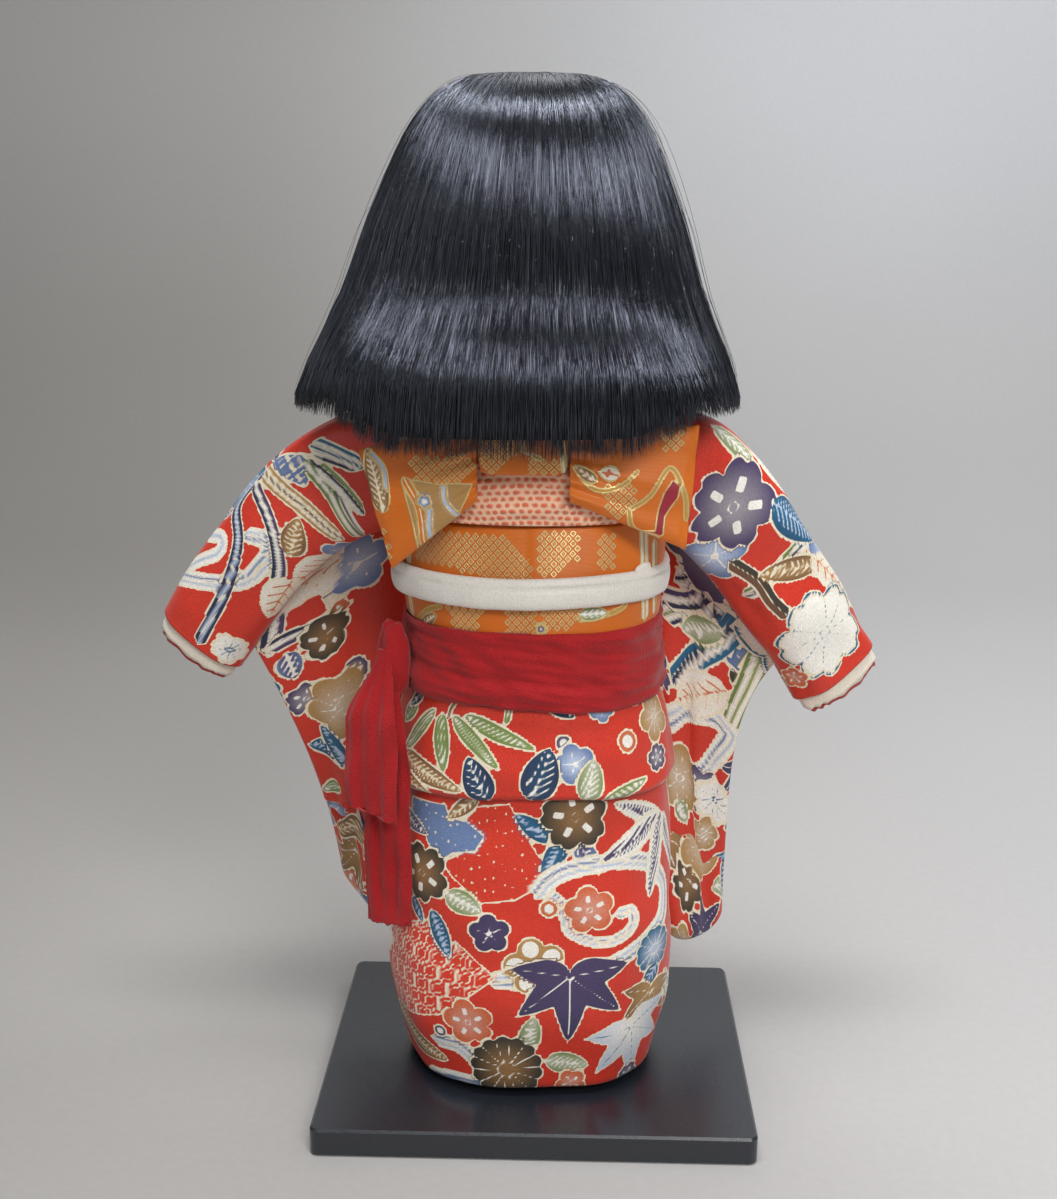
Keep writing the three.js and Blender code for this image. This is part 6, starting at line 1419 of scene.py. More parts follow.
def bag_grid(s):
    """The long part that hangs from the tube: rings round a flat fold of cloth from its inner edge, outer face first,
    with long waves across it and a rounded foot."""
    share = spread(0, 1, 210)
    low_in, low_out = sleeve_point(s, s["bag_in"]), sleeve_point(s, s["bag_out"])
    high_in, high_out = sleeve_point(s, (2.5, 7, 7.5)), sleeve_path(s, np.array([0.84]))[0][0]
    inner = low_in + (high_in - low_in) * share[:, None]
    tucked = follow([[0, s["bag_in"][0], s["bag_in"][1]], [0.6, 0, 27], [0.84, -3.5, 28], [1, 2.5, 9]], share)
    inner[:, 0], inner[:, 1] = s["side"] * (SEAM_OUT + tucked[:, 0]), -tucked[:, 1]
    outer = low_out + (high_out - low_out) * share[:, None]
    outer[:, 0] = low_out[0] + (high_out[0] - low_out[0]) * share ** s["flare"]
    centre, along = (inner + outer) / 2, (outer - inner) / 2
    facing = np.array([s["side"] * math.cos(math.radians(22)), -math.sin(math.radians(22)), 0])
    across = facing - along * ((along @ facing) / (along * along).sum(1))[:, None]
    across = unit(across)
    ring_angle = math.pi - spread(0, 1, 97)[:-1] * TURN
    x = signed_power(np.cos(ring_angle), 2 / 2.5)[None]
    y = signed_power(np.sin(ring_angle), 2 / 2.2)[None]
    calm = ((1 - share**2) * smooth(0, 0.1, share))[:, None]
    height = share[:, None] * 200
    wave = 2.1 * calm * np.cos(2.5 * math.pi * x + 0.012 * height) * (1 - x**4)
    wave = wave + 0.9 * calm * ripple(x * 30, height * 0.35, 51 + s["side"], 24) * (1 - x**6)
    thick = (s["thick"] * (1 - 0.3 * share))[:, None] / 2
    tuck = np.sqrt(np.clip(1 - (1 - np.minimum(share / 0.065, 1)) ** 2, 0.03, 1))[:, None]
    grid = centre[:, None] + along[:, None] * (x * tuck)[..., None] + across[:, None] * (y * thick * tuck + wave)[...,
                                                                                                                  None]
    runs, _ = ring_runs(grid[60:61])
    u = np.broadcast_to(runs, grid.shape[:2])
    v = np.broadcast_to((share * np.linalg.norm(high_out - low_out))[:, None], grid.shape[:2])
    return grid, u, v


def add_cuff(name, s):
    """Ivory lining that stands past the sleeve's end, with a narrow red facing inside it."""
    for piece_name, peep, inset, material, back in (("cuff_lining", 7.4, 1.7, IVORY, 15),
                                                    ("cuff_facing", 9.4, 2.9, LINING, 12)):
        length = sleeve_path(s, np.array([0.0]))[2]
        low, high = 1 - back / length, 1 + peep / length
        outer, _ = tube_rings(s, spread(low, high, 16), inset, 132, 0.75)
        inner, _ = tube_rings(s, spread(low, high, 6), inset + 0.7, 132, 0.75)
        ragged = 0.35 * ripple(np.arange(132) * 0.9, np.zeros(132), 77 + s["side"], 6)
        heading = sleeve_path(s, np.array([1.0]))[1][0]
        outer[-1] += heading * ragged[:, None]
        inner[-1] += heading * ragged[:, None]
        grid = both_sides(outer, inner)
        piece = surface(f"{name}_{piece_name}", grid, material, round_rows=True, round_columns=True, body=f"{name}_arm")
        if piece_name == "cuff_lining":
            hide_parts(f"{name}_sleeve_lining")


# ---------------------------------------------------------------- obi, scarf, cord and sash
def brocade_fields(grid, u, v, front_rows, areas, shapes):
    """Fields of woven silk: 1 in the lozenge cells whose middle lies in one of the areas, and the shapes' dyes."""
    dye = Dye(u, v)
    seen = Seen(grid[:front_rows], u[:front_rows], v[:front_rows])
    i, j = np.floor((dye.u + dye.v) / LOZENGE) + 0.5, np.floor((dye.u - dye.v) / LOZENGE) + 0.5
    x, y = (i + j) * LOZENGE / 2, (i - j) * LOZENGE / 2
    best = np.full(dye.u.size, -9.0)
    for corners in areas:
        flat = [seen.place(OBI_VIEW[0] + a / OBI_VIEW[2], OBI_VIEW[1] + b / OBI_VIEW[2])[0] for a, b in corners]
        best = np.maximum(best, inside_of(x, y, flat))
    best = np.where(np.abs(x) > 84, np.abs(x % 44 - 22) - 9, best)
    draw(dye, seen, shapes, OBI_VIEW)
    fields = dye.fields()
    fields["lozenges"] = (best > 0).astype(float)
    return fields


def add_obi():
    """Stiff brocade wound twice round the waist: the outer turn ends in an edge down the middle of the back."""
    angle = round_in(460)[None]
    share = spread(0, 1, 64)[:, None]
    level = OBI + (OBI_TOP - OBI) * share
    a = np.broadcast_to(angle, level.shape[:1] + angle.shape[1:])
    u = run_of(a) * 0.98
    half = along_rows(BODY, level[:, 0])
    edge = 1.0 * (1 - smooth(0, 0.03, share)) + 1.0 * smooth(0.97, 1, share)
    step = 0.55 * smooth(-0.25, 0.25, u) * (1 - smooth(60, 120, np.abs(u)))
    out = OBI_OUT - 0.5 + 0.8 * 4 * share * (1 - share) - edge + step + 0.18 * ripple(u, level, 61, 30)
    outer = on_oval(half[:, 0:1] + out, half[:, 1:2] + out, a, level)
    low = share[::21]
    inner = on_oval(half[::21, 0:1] + 3.7, half[::21, 1:2] + 3.7, a[::21], OBI + 0.3 + (OBI_TOP - OBI - 0.6) * low)
    v = np.broadcast_to(level, a.shape)
    grid = both_sides(outer, inner)
    fields = brocade_fields(grid, np.concatenate([u, u[::21][::-1] + INNER]), np.concatenate([v, v[::21][::-1]]), 64,
                            OBI_LOZENGES, OBI_MOTIFS)
    piece = surface("obi_brocade", grid, BROCADE, fields, round_rows=True, round_columns=True)
    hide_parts("obi_band")


def add_pillow():
    """A small wadded roll on the back, under the scarf, that carries the bow."""
    half = along_rows(BODICE, OBI_TOP)
    rows = [[-1, 0.06], [-0.97, 0.35], [-0.86, 0.75], [-0.5, 1], [0, 1], [0.5, 1], [0.86, 0.75], [0.97, 0.35],
            [1, 0.06]]
    share = spread(-1, 1, 60)
    size = follow(rows, share)[:, 0]
    span = 44 / (2 * half[0]) * 0.96
    path = on_oval(half[0] + 3.3, half[1] + 3.3, math.pi / 2 - share * span, OBI_TOP + 0.3 + 8.5)
    around = round_in(40)
    grid = sections(path, headings_of(path), np.array([0, 0, 1.0]), 8.5 * size, 2.7 * size, around)
    piece = surface("bow_pillow_wadding", grid, COTTON, round_columns=True, caps=True)
    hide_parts("bow_pillow")


def add_scarf():
    """Tie-dyed silk pulled round the pillow: soft gathers run across it and its edges roll in."""
    angle = round_in(420)[None]
    a = np.broadcast_to(angle, (56, 420))
    share = spread(0, 1, 56)[:, None]
    tall = 22 - 13 * smooth(math.radians(40), math.radians(80), off_back(a))
    level = OBI_TOP + 0.3 + tall * share
    over = 1 - smooth(math.radians(30.6), math.radians(56.6), off_back(a))
    half = along_rows(BODICE, level)
    deep = half[..., 1] + (along_rows(BODICE, OBI_TOP)[1] - half[..., 1]) * over
    u = run_of(a)
    gathers = 0.55 * ripple(u * 0.22, level, 71, 6.5) * smooth(0, 0.12, share) * (1 - smooth(0.9, 1, share))
    away = 0.8 + 6.3 * over
    under_fan = bump(half[..., 0] * np.cos(a), 23, 9) * (np.sin(a) < 0)
    out = (2.3 * (1 - 0.5 * np.abs(2 * share - 1) ** 4) + gathers) * (1 - 0.62 * under_fan)
    outer = on_oval(half[..., 0] + away + out, deep + away + out, a, level)
    inner = on_oval((half[..., 0] + away)[::11], (deep + away)[::11], a[::11], level[::11] + 0.2 - 0.4 * share[::11])
    v = level - OBI_TOP + 1.2 * ripple(u, 0 * u, 72, 40)
    fields = {"cloth": np.concatenate([np.stack([u, v], -1), np.stack([u, v], -1)[::11][::-1]])}
    piece = surface("scarf_silk", both_sides(outer, inner), SCARF, fields, round_rows=True, round_columns=True)
    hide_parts("obi_scarf")


def cord_section(angle, away, rise, share, around, high=11.4, thick=4.4):
    """Rings of the padded cord round the obi, raised and thickened by rows."""
    half = along_rows(BODY, CORD_LEVEL)
    p = on_oval(half[0] + CORD_OUT, half[1] + CORD_OUT, angle, np.zeros_like(angle))
    out = unit(p * np.array([1 / half[0] ** 2, 1 / half[1] ** 2, 0]))
    x = thick / 2 * share[:, None] * signed_power(np.cos(around), 2 / 2.6)[None] + away
    z = high / 2 * share[:, None] * signed_power(np.sin(around), 2 / 2.6)[None]
    ring = p[:, None] + out[:, None] * x[..., None]
    ring[..., 0] += 2.2 * smooth(0, 1, -np.cos(angle))[:, None]
    ring[..., 2] = CORD_LEVEL + rise + z
    return ring


def add_cord():
    """A round of white silk padded with wadding, flattened to a band, tied in front; one end is tucked in behind."""
    around = round_in(44)
    angle = round_in(360)
    u = run_of(angle)
    dents = 0.22 * ripple(u, 0 * u, 81, 14)
    ring = cord_section(angle, 0, 0.45 * ripple(u, 0 * u, 82, 90)[:, None], 1 + 0.02 * dents, around)
    crease = 0.8 * np.exp(-(((np.sin(around) - 0.3) / 0.1) ** 2)) * (np.cos(around) > 0)
    half = along_rows(BODY, CORD_LEVEL)
    out = unit(np.stack([ring[..., 0] / half[0] ** 2, ring[..., 1] / half[1] ** 2, 0 * ring[..., 0]], -1))
    ring = ring - out * (crease[None] * (1 + 0.6 * ripple(u, 0 * u, 83, 25)[:, None]) - dents[:, None] * 0.4)[..., None]
    round_piece = surface("cord_round", ring, CORD_SILK, round_rows=True, round_columns=True)
    knot_span = 17 / (2 * (half[0] + CORD_OUT))
    share = spread(-1, 1, 50)
    rows = [[-1, 0.1], [-0.94, 0.67], [-0.7, 1.12], [0, 1.23], [0.7, 1.12], [0.94, 0.67], [1, 0.1]]
    knot = cord_section(-math.pi / 2 + share * knot_span, 1.7, 0, follow(rows, share)[:, 0], around)
    knot_piece = surface("cord_knot", knot, CORD_SILK, round_columns=True, caps=True)
    end_span = 11 / (half[0] + CORD_OUT)
    ends = [("cord_tucked_end", math.radians(142)), ("cord_left_end", -math.pi / 2 + knot_span * 1.5),
            ("cord_right_end", -math.pi / 2 - knot_span * 1.5)]
    rows = [[-0.5, 0.05], [-0.46, 0.3], [-0.3, 0.45], [0, 0.5], [0.3, 0.45], [0.46, 0.3], [0.5, 0.05]]
    share = spread(-0.5, 0.5, 26)
    for name, middle in ends:
        rise = (10.4 * (0.52 + 0.1 * share))[:, None]
        end = surface(name, cord_section(middle + share * end_span, 0, rise, follow(rows, share)[:, 0], around),
                      CORD_SILK,
                      round_columns=True, caps=True)
    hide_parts("obi_cord")


KNOT_ANGLE = math.radians(24)
KNOT_PLACE = on_body(np.array(KNOT_ANGLE), np.array(188.7), SASH_OUT + 0.3 + 0.6 + 6)


def add_sash():
    """Crimson crepe, folded soft and wound round below the obi: shallow gathers run along it."""
    angle = round_in(400)[None]
    a = np.broadcast_to(angle, (60, 400))
    share = spread(0, 1, 60)[:, None]
    level = SASH + (OBI + 1.6 - SASH) * share
    u = run_of(a)
    half = along_rows(BODY, level[:, 0])
    gathers = 0.5 * ripple(u * 0.12, level, 91, 9) + 0.3 * ripple(u * 0.3, level, 92, 5)
    edge = 1.4 * (1 - smooth(0, 0.07, share)) ** 2 + 1.2 * smooth(0.93, 1, share) ** 2
    out = SASH_OUT + gathers - edge + 0.5 * np.sin(math.pi * share)
    sag = 1.2 * ripple(u, 0 * u, 93, 110) * (1 - share)
    outer = on_oval(half[:, 0:1] + out, half[:, 1:2] + out, a, level + sag)
    inner = on_oval(half[::12, 0:1] + 8.1, half[::12, 1:2] + 8.1, a[::12], level[::12] + sag[::12])
    piece = surface("sash_crepe_band", both_sides(outer, inner), CREPE, round_rows=True, round_columns=True)
    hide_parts("sash_band")
    # the knot: one turn of the sash pulled over itself, with its folds running over it
    along = np.array([-math.sin(KNOT_ANGLE), math.cos(KNOT_ANGLE), 0])
    rows = [[-1, 0.06], [-0.97, 0.3], [-0.7, 0.86], [-0.2, 1], [0.1, 0.9], [0.4, 1], [0.8, 0.8], [0.97, 0.3], [1, 0.06]]
    share = spread(-1, 1, 70)
    size = follow(rows, share)[:, 0]
    around = round_in(64)
    path = KNOT_PLACE + along * (share * 7.2)[:, None] + np.array([0, 0, -14.0])
    ring = sections(path, np.broadcast_to(along, path.shape), np.array([0, 0, 1.0]), 14.5 * size, 5.4 * size, around,
                    2.3)
    centre = ring.mean(1, keepdims=True)
    folds = 1 + 0.035 * np.cos(6 * around + 3 * share[:, None]) + 0.015 * np.cos(11 * around - 5 * share[:, None])
    piece = surface("sash_crepe_knot", centre + (ring - centre) * folds[..., None], CREPE, round_columns=True,
                    caps=True)
    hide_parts("sash_knot")


def sash_end(name, width, length, aside, behind, slant, seed):
    """An end of the sash: two layers of crepe that open out of the knot, hang in shallow waves and end frayed."""
    share = spread(0, 1, 120)
    open_out = smooth(0, 0.45, share)
    half = width / 2 * (0.24 + 0.76 * open_out)
    along = np.array([math.cos(math.radians(-23)), math.sin(math.radians(-23)), 0])
    facing = np.array([-along[1], along[0], 0])
    top = KNOT_PLACE + np.array([aside / 3, behind / 2, -9.0])
    centre = top + np.stack([aside * open_out * 2 / 3, behind * open_out / 2, -length * share], -1)
    around = round_in(72)
    x = signed_power(np.cos(around), 2 / 3)[None]
    y = signed_power(np.sin(around), 2 / 2.2)[None]
    thick = 1.25 + 0.35 * (1 - open_out)[:, None]
    wave = open_out[:, None] * np.cos(3 * math.pi * x) * (1 - x**4) * 0.9
    wave = wave + 0.5 * ripple(x * 10, share[:, None] * length * 0.3, seed, 9) * open_out[:, None]
    body = centre[:, None] + along * (half[:, None] * x)[..., None] + facing * (thick * y + wave)[..., None]
    ragged = slant * x[0] + 0.5 * ripple(x[0] * 12, 0 * x[0], seed + 1, 2.5)
    body[..., 2] += ragged * smooth(0.9, 1, share)[:, None] * 0.6
    piece = surface(f"sash_{name}_tail", body, CREPE, round_columns=True, caps=True)
    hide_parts(f"sash_{name}_end")


# ---------------------------------------------------------------- bow
BOW_FACE = 45.8


def add_bow_knot():
    """The band over the bow's middle: brocade folded square, drawn in a little at both ends."""
    share = spread(0, 1, 50)
    rows = [[0, 0.8, 0.7], [0.08, 0.94, 1], [0.5, 1, 1.12], [0.92, 0.94, 1], [1, 0.8, 0.7]]
    size = follow(rows, share)
    around = round_in(120)
    level = 266.5 - 17.5 * (1 - share)
    grid = on_oval(15.75 * size[:, :1], 3 * size[:, 1:2], around[None], level[:, None], 4) + [2.4, BOW_FACE + 3.36, 0]
    u = np.broadcast_to(-grid[..., 0] + 2.5, grid.shape[:2])
    u = np.where(np.sin(around)[None] > -0.2, u, u + INNER)
    fields = brocade_fields(grid, u, np.broadcast_to(level[:, None], u.shape), 50, KNOT_LOZENGES, KNOT_MOTIFS)
    piece = surface("bow_knot_brocade", grid, BROCADE, fields, round_columns=True, caps=True)
    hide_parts("obi_bow_knot")


WINGS = {
    "left": {"side": 1, "tip_low": -16.5, "tip_high": 26.5, "low_out": 31, "tip_out": 42, "sink": 8},
    "right": {"side": -1, "tip_low": -9, "tip_high": 35.5, "low_out": 41.5, "tip_out": 45, "sink": 10.8},
}


def wing_grid(w):
    """A folded wing: it leaves the knot gathered, opens out and ends in a soft folded edge."""
    share = spread(0, 1, 90)
    root = 2.4 + w["side"] * 16.05
    low = OBI_TOP + 10 + (w["tip_low"] - 10) * share
    high = OBI_TOP + 36 + (w["tip_high"] - 36) * share
    y = BOW_FACE + 3 - w["sink"] * share
    inner = np.stack([root + w["side"] * w["low_out"] * share, y, low], -1)
    outer = np.stack([root + w["side"] * w["tip_out"] * share, y, high], -1)
    centre, along = (inner + outer) / 2, (outer - inner) / 2
    facing = np.array([0, 1.0, 0])
    across = unit(facing - along * ((along @ facing) / (along * along).sum(1))[:, None])
    around = round_in(160)
    x, y2 = signed_power(np.cos(around), 2 / 2.6)[None], signed_power(np.sin(around), 2 / 2.6)[None]
    swell = np.where(share < 0.92, 0.8 + 0.2 * np.sin(math.pi * share), 0)
    edge = 0.8 + 0.2 * np.sin(math.pi * 0.92)
    swell = np.where(share < 0.92, swell, edge + (0.5 - edge) * smooth(0.92, 1, share))
    wave = share[:, None] * np.cos(2 * math.pi * x) * (1 - x**4)
    pleats = (1 - share[:, None]) ** 2 * 0.8 * np.cos(5 * math.pi * x) * (1 - x**6)
    grid = centre[:, None] + along[:, None] * x[..., None]
    grid = grid + across[:, None] * (3 * swell[:, None] * y2 + wave + pleats)[..., None]
    back = np.sin(around)[None] > -0.15
    return grid, np.where(back, -grid[..., 0], INNER - grid[..., 0]), grid[..., 2]


def add_wing(name):
    grid, u, v = wing_grid(WINGS[name])
    fields = brocade_fields(grid, u, v, 90, WING_LOZENGES[name], WING_MOTIFS[name])
    piece = surface(f"bow_{name}_brocade", grid, BROCADE, fields, round_columns=True, caps=True)
    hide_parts(f"obi_bow_{name}")


# ---------------------------------------------------------------- head
HEAD_PLACE = np.array([1.5, 2.0, 0])
HEAD_ROWS = [
    [0, 0.3, 0.62, 0.1], [0.035, 0.5, 0.83, 0.25], [0.075, 0.63, 0.9, 0.38], [0.12, 0.74, 0.935, 0.52],
    [0.155, 0.81, 0.95, 0.61], [0.195, 0.87, 0.96, 0.7], [0.24, 0.925, 0.968, 0.775], [0.285, 0.965, 0.97, 0.83],
    [0.33, 0.988, 0.965, 0.88], [0.38, 1, 0.965, 0.925], [0.43, 1, 0.97, 0.955], [0.48, 1, 0.975, 0.975],
    [0.56, 0.995, 0.97, 1], [0.66, 0.97, 0.94, 1], [0.76, 0.9, 0.87, 0.94], [0.86, 0.76, 0.74, 0.82],
    [0.93, 0.58, 0.57, 0.64], [0.98, 0.32, 0.32, 0.36], [1, 0.02, 0.02, 0.03],
]


def bump(value, centre, width):
    return np.exp(-(((value - centre) / width) ** 2))


def features(x, rise):
    """Nose, lips, cheeks and eye hollows as a distance forward."""
    ridge = smooth(37.6, 24.5, rise) * smooth(20.9, 23.4, rise)
    nose = 3.6 * ridge * bump(x, 0, 2.2 + 1.1 * ridge)
    upper = 1.5 * bump(rise, 16, 1.5) * (1 - 0.25 * bump(x, 0, 0.9))
    lips = (upper + 1.5 * bump(rise, 13, 1.5)) * bump(x, 0, 5)
    side = np.abs(x)
    cheek = bump(side, 16, 9) * bump(rise, 19.5, 9)
    hollow = 1.3 * bump(side, EYE_ASIDE, 7) * bump(rise, EYE_RISE, 5.4)
    lid = 0.5 * bump(side, EYE_ASIDE, 6.4) * bump(rise, 38.6, 1.2)
    groove = 0.25 * bump(side, 0, 1.1) * bump(rise, 19, 1.6)
    return nose + lips + cheek + lid - hollow - groove


def paint_face(x, rise, front):
    """Colours over the head: arched brows, lashes, small red lips, a breath of pink on the cheeks."""
    paint = np.tile(colour("#F3E8DC"), (x.size, 1))
    side = np.abs(x)
    near = smooth(0.1, 0.4, front)

    def lay(amount, tint):
        paint[:] = paint * (1 - (amount * near)[:, None]) + tint * (amount * near)[:, None]

    lay(0.35 * bump(side, 18, 9) * bump(rise, 20, 8), colour("#E59A8C"))
    brow = rise - (43.6 - 0.022 * (side - 14) ** 2)
    lay(smooth(0.9, 0.2, np.abs(brow) / (1.15 - 0.05 * np.abs(side - 12))) * smooth(5.5, 7.5, side)
        * smooth(22.5, 19, side),
        colour("#2A2420"))
    lid = np.hypot((side - EYE_ASIDE) / 6.0, (rise - EYE_RISE) / 3.7)
    lay(smooth(1.12, 1.02, lid) * smooth(0.86, 0.94, lid) * smooth(33.2, 34.5, rise), colour("#1D1714"))
    lips = np.maximum(bump(rise, 15.6, 1.5) * (1 - 0.2 * bump(x, 0, 0.8)), bump(rise, 13, 1.5)) * bump(x, 0, 3.9)
    lay(smooth(0.42, 0.6, lips), colour("#B5222C"))
    lay(0.8 * bump(rise, 14.3, 0.28) * smooth(4.6, 3.6, side), colour("#5E0F16"))
    lay(0.7 * bump(side, 1.4, 0.5) * bump(rise, 22.2, 0.5), colour("#B77A6C"))
    return paint


def add_head():
    around = round_in(240)
    angle = (-math.pi / 2 + (around - math.pi) - 0.5 * np.sin(around - math.pi))[None]
    share = np.concatenate([spread(0, 0.94, 150), spread(0.945, 1, 22)])
    rows = along_rows(HEAD_ROWS, share)
    for _ in range(3):
        rows[1:-1] = (rows[:-2] + 2 * rows[1:-1] + rows[2:]) / 4
    depth = np.where(np.sin(angle) < 0, rows[:, 1:2], rows[:, 2:3])
    level = CHIN + HEAD_HEIGHT * share[:, None]
    a = np.broadcast_to(angle, depth.shape)
    p = on_oval(HEAD_HALF * rows[:, :1], HEAD_HALF * depth, a, np.broadcast_to(level, depth.shape), 2.15)
    rise = np.broadcast_to(HEAD_HEIGHT * share[:, None], depth.shape)
    forward = np.maximum(-np.sin(a), 0) ** 2
    p[..., 1] -= forward * features(p[..., 0], rise)
    paint = paint_face(p[..., 0].ravel(), rise.ravel(), forward.ravel())
    piece = surface("head_shell", p + HEAD_PLACE, SKIN, {"paint": paint}, round_columns=True, caps=True, body="head")
    skin = colour("#F3E8DC")
    rings = round_in(60)
    level = spread(249.8, CHIN + 25, 12)
    radius = 12.5 + 1.2 * smooth(262, 252, level)
    neck = on_oval(radius[:, None], radius[:, None], rings[None], level[:, None], 2) + HEAD_PLACE
    plain = {"paint": np.tile(skin, (neck.shape[0] * 60, 1))}
    neck_piece = surface("neck", neck, SKIN, plain, round_columns=True, caps=True, body="head")
    for name, side in (("left", 1), ("right", -1)):
        up = spread(-math.pi / 2 + 0.05, math.pi / 2 - 0.05, 40)[:, None]
        ring = rings[None]
        fold = 1 - 0.28 * np.exp(-((np.cos(up) * np.sin(ring) + 0.1) ** 2 / 0.08)) * (np.cos(ring) * side > 0)
        x, y, z = np.cos(up) * np.cos(ring) * fold, np.cos(up) * np.sin(ring), np.sin(up) + 0 * ring
        ear = np.stack([3.2 * x, 4.16 * y, 6.5 * z], -1) + [1.5 + side * HEAD_HALF, 5.2, 323.7]
        plain = {"paint": np.tile(skin, (ear.shape[0] * 60, 1))}
        surface(f"{name}_ear", ear, SKIN, plain, round_columns=True, caps=True, body="head")
        add_eye(name, side)
    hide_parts("head")


def add_eye(name, side):
    """A glass eye with a dark brown iris, and its glassy white."""
    up = spread(-math.pi / 2 + 0.03, math.pi / 2 - 0.03, 60)[:, None]
    ring = round_in(80)[None]
    x, y, z = np.cos(up) * np.cos(ring), np.cos(up) * np.sin(ring), np.sin(up) + 0 * ring
    place = np.array([1.5 + side * EYE_ASIDE, eye_face() + 3.92, CHIN + EYE_RISE])
    grid = np.stack([5.4 * x, 4.32 * y, 3.02 * z], -1) + place
    far = np.hypot(5.4 * x - side * 0.1, 3.02 * z - 0.1)
    front = y < 0
    paint = np.empty(x.shape + (4,))
    paint[:] = colour("#E8E6E0")
    iris = (smooth(2.75, 2.55, far) * front)[..., None]
    paint = paint * (1 - iris) + colour("#2B1710") * iris
    pupil = (smooth(1.35, 1.15, far) * front)[..., None]
    paint = paint * (1 - pupil) + colour("#060404") * pupil
    fields = {"paint": paint.reshape(-1, 4)}
    piece = surface(f"{name}_glass_eye", grid, EYE_GLASS, fields, round_columns=True, caps=True, body="head")
    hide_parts(f"{name}_eye")


def eye_face():
    """Depth of the face's middle at the eyes' level."""
    ahead = along_rows(HEAD_ROWS, EYE_RISE / HEAD_HEIGHT)[1]
    return 2 - HEAD_HALF * ahead - features(np.array(0.0), np.array(EYE_RISE))


# ---------------------------------------------------------------- hair
HAIR_ROWS = [[0, 1, 1], [0.115, 0.937, 0.975], [0.18, 0.892, 0.95], [0.325, 0.8, 0.885], [0.53, 0.702, 0.83],
             [0.716, 0.598, 0.765],
             [0.843, 0.512, 0.68], [0.92, 0.43, 0.57], [0.965, 0.345, 0.44], [0.988, 0.24, 0.3], [1, 0.005, 0.007]]
HAIR_HALF_WIDTH, HAIR_HALF_DEPTH = 80.5, 55.5


def hair_point(angle, share, out=0.0):
    """A place on the hair's outside: a bell with its widest ring at the hem, lifted where it lies over the bow."""
    size = follow(HAIR_ROWS, np.clip(share, 0, 1))
    low = np.clip(share, 0, 1)
    drop = 12 * (1 - smooth(math.radians(25), math.radians(55), off_back(angle))) * np.clip(1 - low / 0.115, 0, 1)
    level = HAIR_HEM + (HAIR_TOP - HAIR_HEM) * share - drop
    swell = hair_swell(angle, share)
    wide = np.maximum(HAIR_HALF_WIDTH * size[..., 0] + out + swell * 0.4, 0.3)
    deep = np.maximum(HAIR_HALF_DEPTH * size[..., 1] + out + swell, 0.3)
    p = on_oval(wide, deep, angle, level, 2.2)
    p[..., 0] += 1.5 + 4.5 * (1 - low)
    p[..., 1] += 2 + 7 * (1 - low)
    return p


def hair_swell(angle, share):
    """How the falling hair lifts over the bow, more to the right of the back, with shallow hollows above it."""
    u = (angle - math.pi / 2) * 60
    ridge = 0.075 - 0.0009 * u + 0.02 * np.sin(u / 17)
    over = 1 - smooth(math.radians(42), math.radians(75), off_back(angle))
    return over * (3.6 * bump(share, ridge, 0.09) - 4.2 * bump(share, ridge + 0.25, 0.12))


def add_hair_base():
    """The dense inner hair: a dark shell under the strands, with an opening for the face."""
    middle, reach = -math.pi / 2, math.radians(49)
    share = np.concatenate([spread(0.0, 0.9, 70), spread(0.905, 1, 24)])
    side = spread(middle + reach, middle - reach + TURN, 200)
    grids = []
    for inset, low in ((1.3, 0.012), (7.2, 0.03)):
        s = low + (1 - low) * share
        grids.append(hair_point(side[None], s[:, None], -inset))
    outer, inner = grids
    inner = inner[:70]
    inner_top = np.minimum(inner[..., 2:], CROWN + 1.0)
    inner = np.concatenate([inner[..., :2], inner_top], -1)
    back = surface("hair_fall", both_sides(outer, inner), HAIR_INNER, round_rows=True, body="head", sewn_ends=94)
    front = spread(middle - reach * 1.06, middle + reach * 1.06, 90)
    fringe_share = (FRINGE_END - HAIR_HEM) / (HAIR_TOP - HAIR_HEM)
    s = fringe_share + (1 - fringe_share) * spread(0, 1, 60)
    outer = hair_point(front[None], s[:, None], -1.3)
    inner = hair_point(front[None], s[::6, None], -3.2)
    fringe = surface("hair_fringe_base", both_sides(outer, inner), HAIR_INNER, round_rows=True, body="head",
                     sewn_ends=60)
    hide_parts("hair")
    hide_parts("hair_fringe")


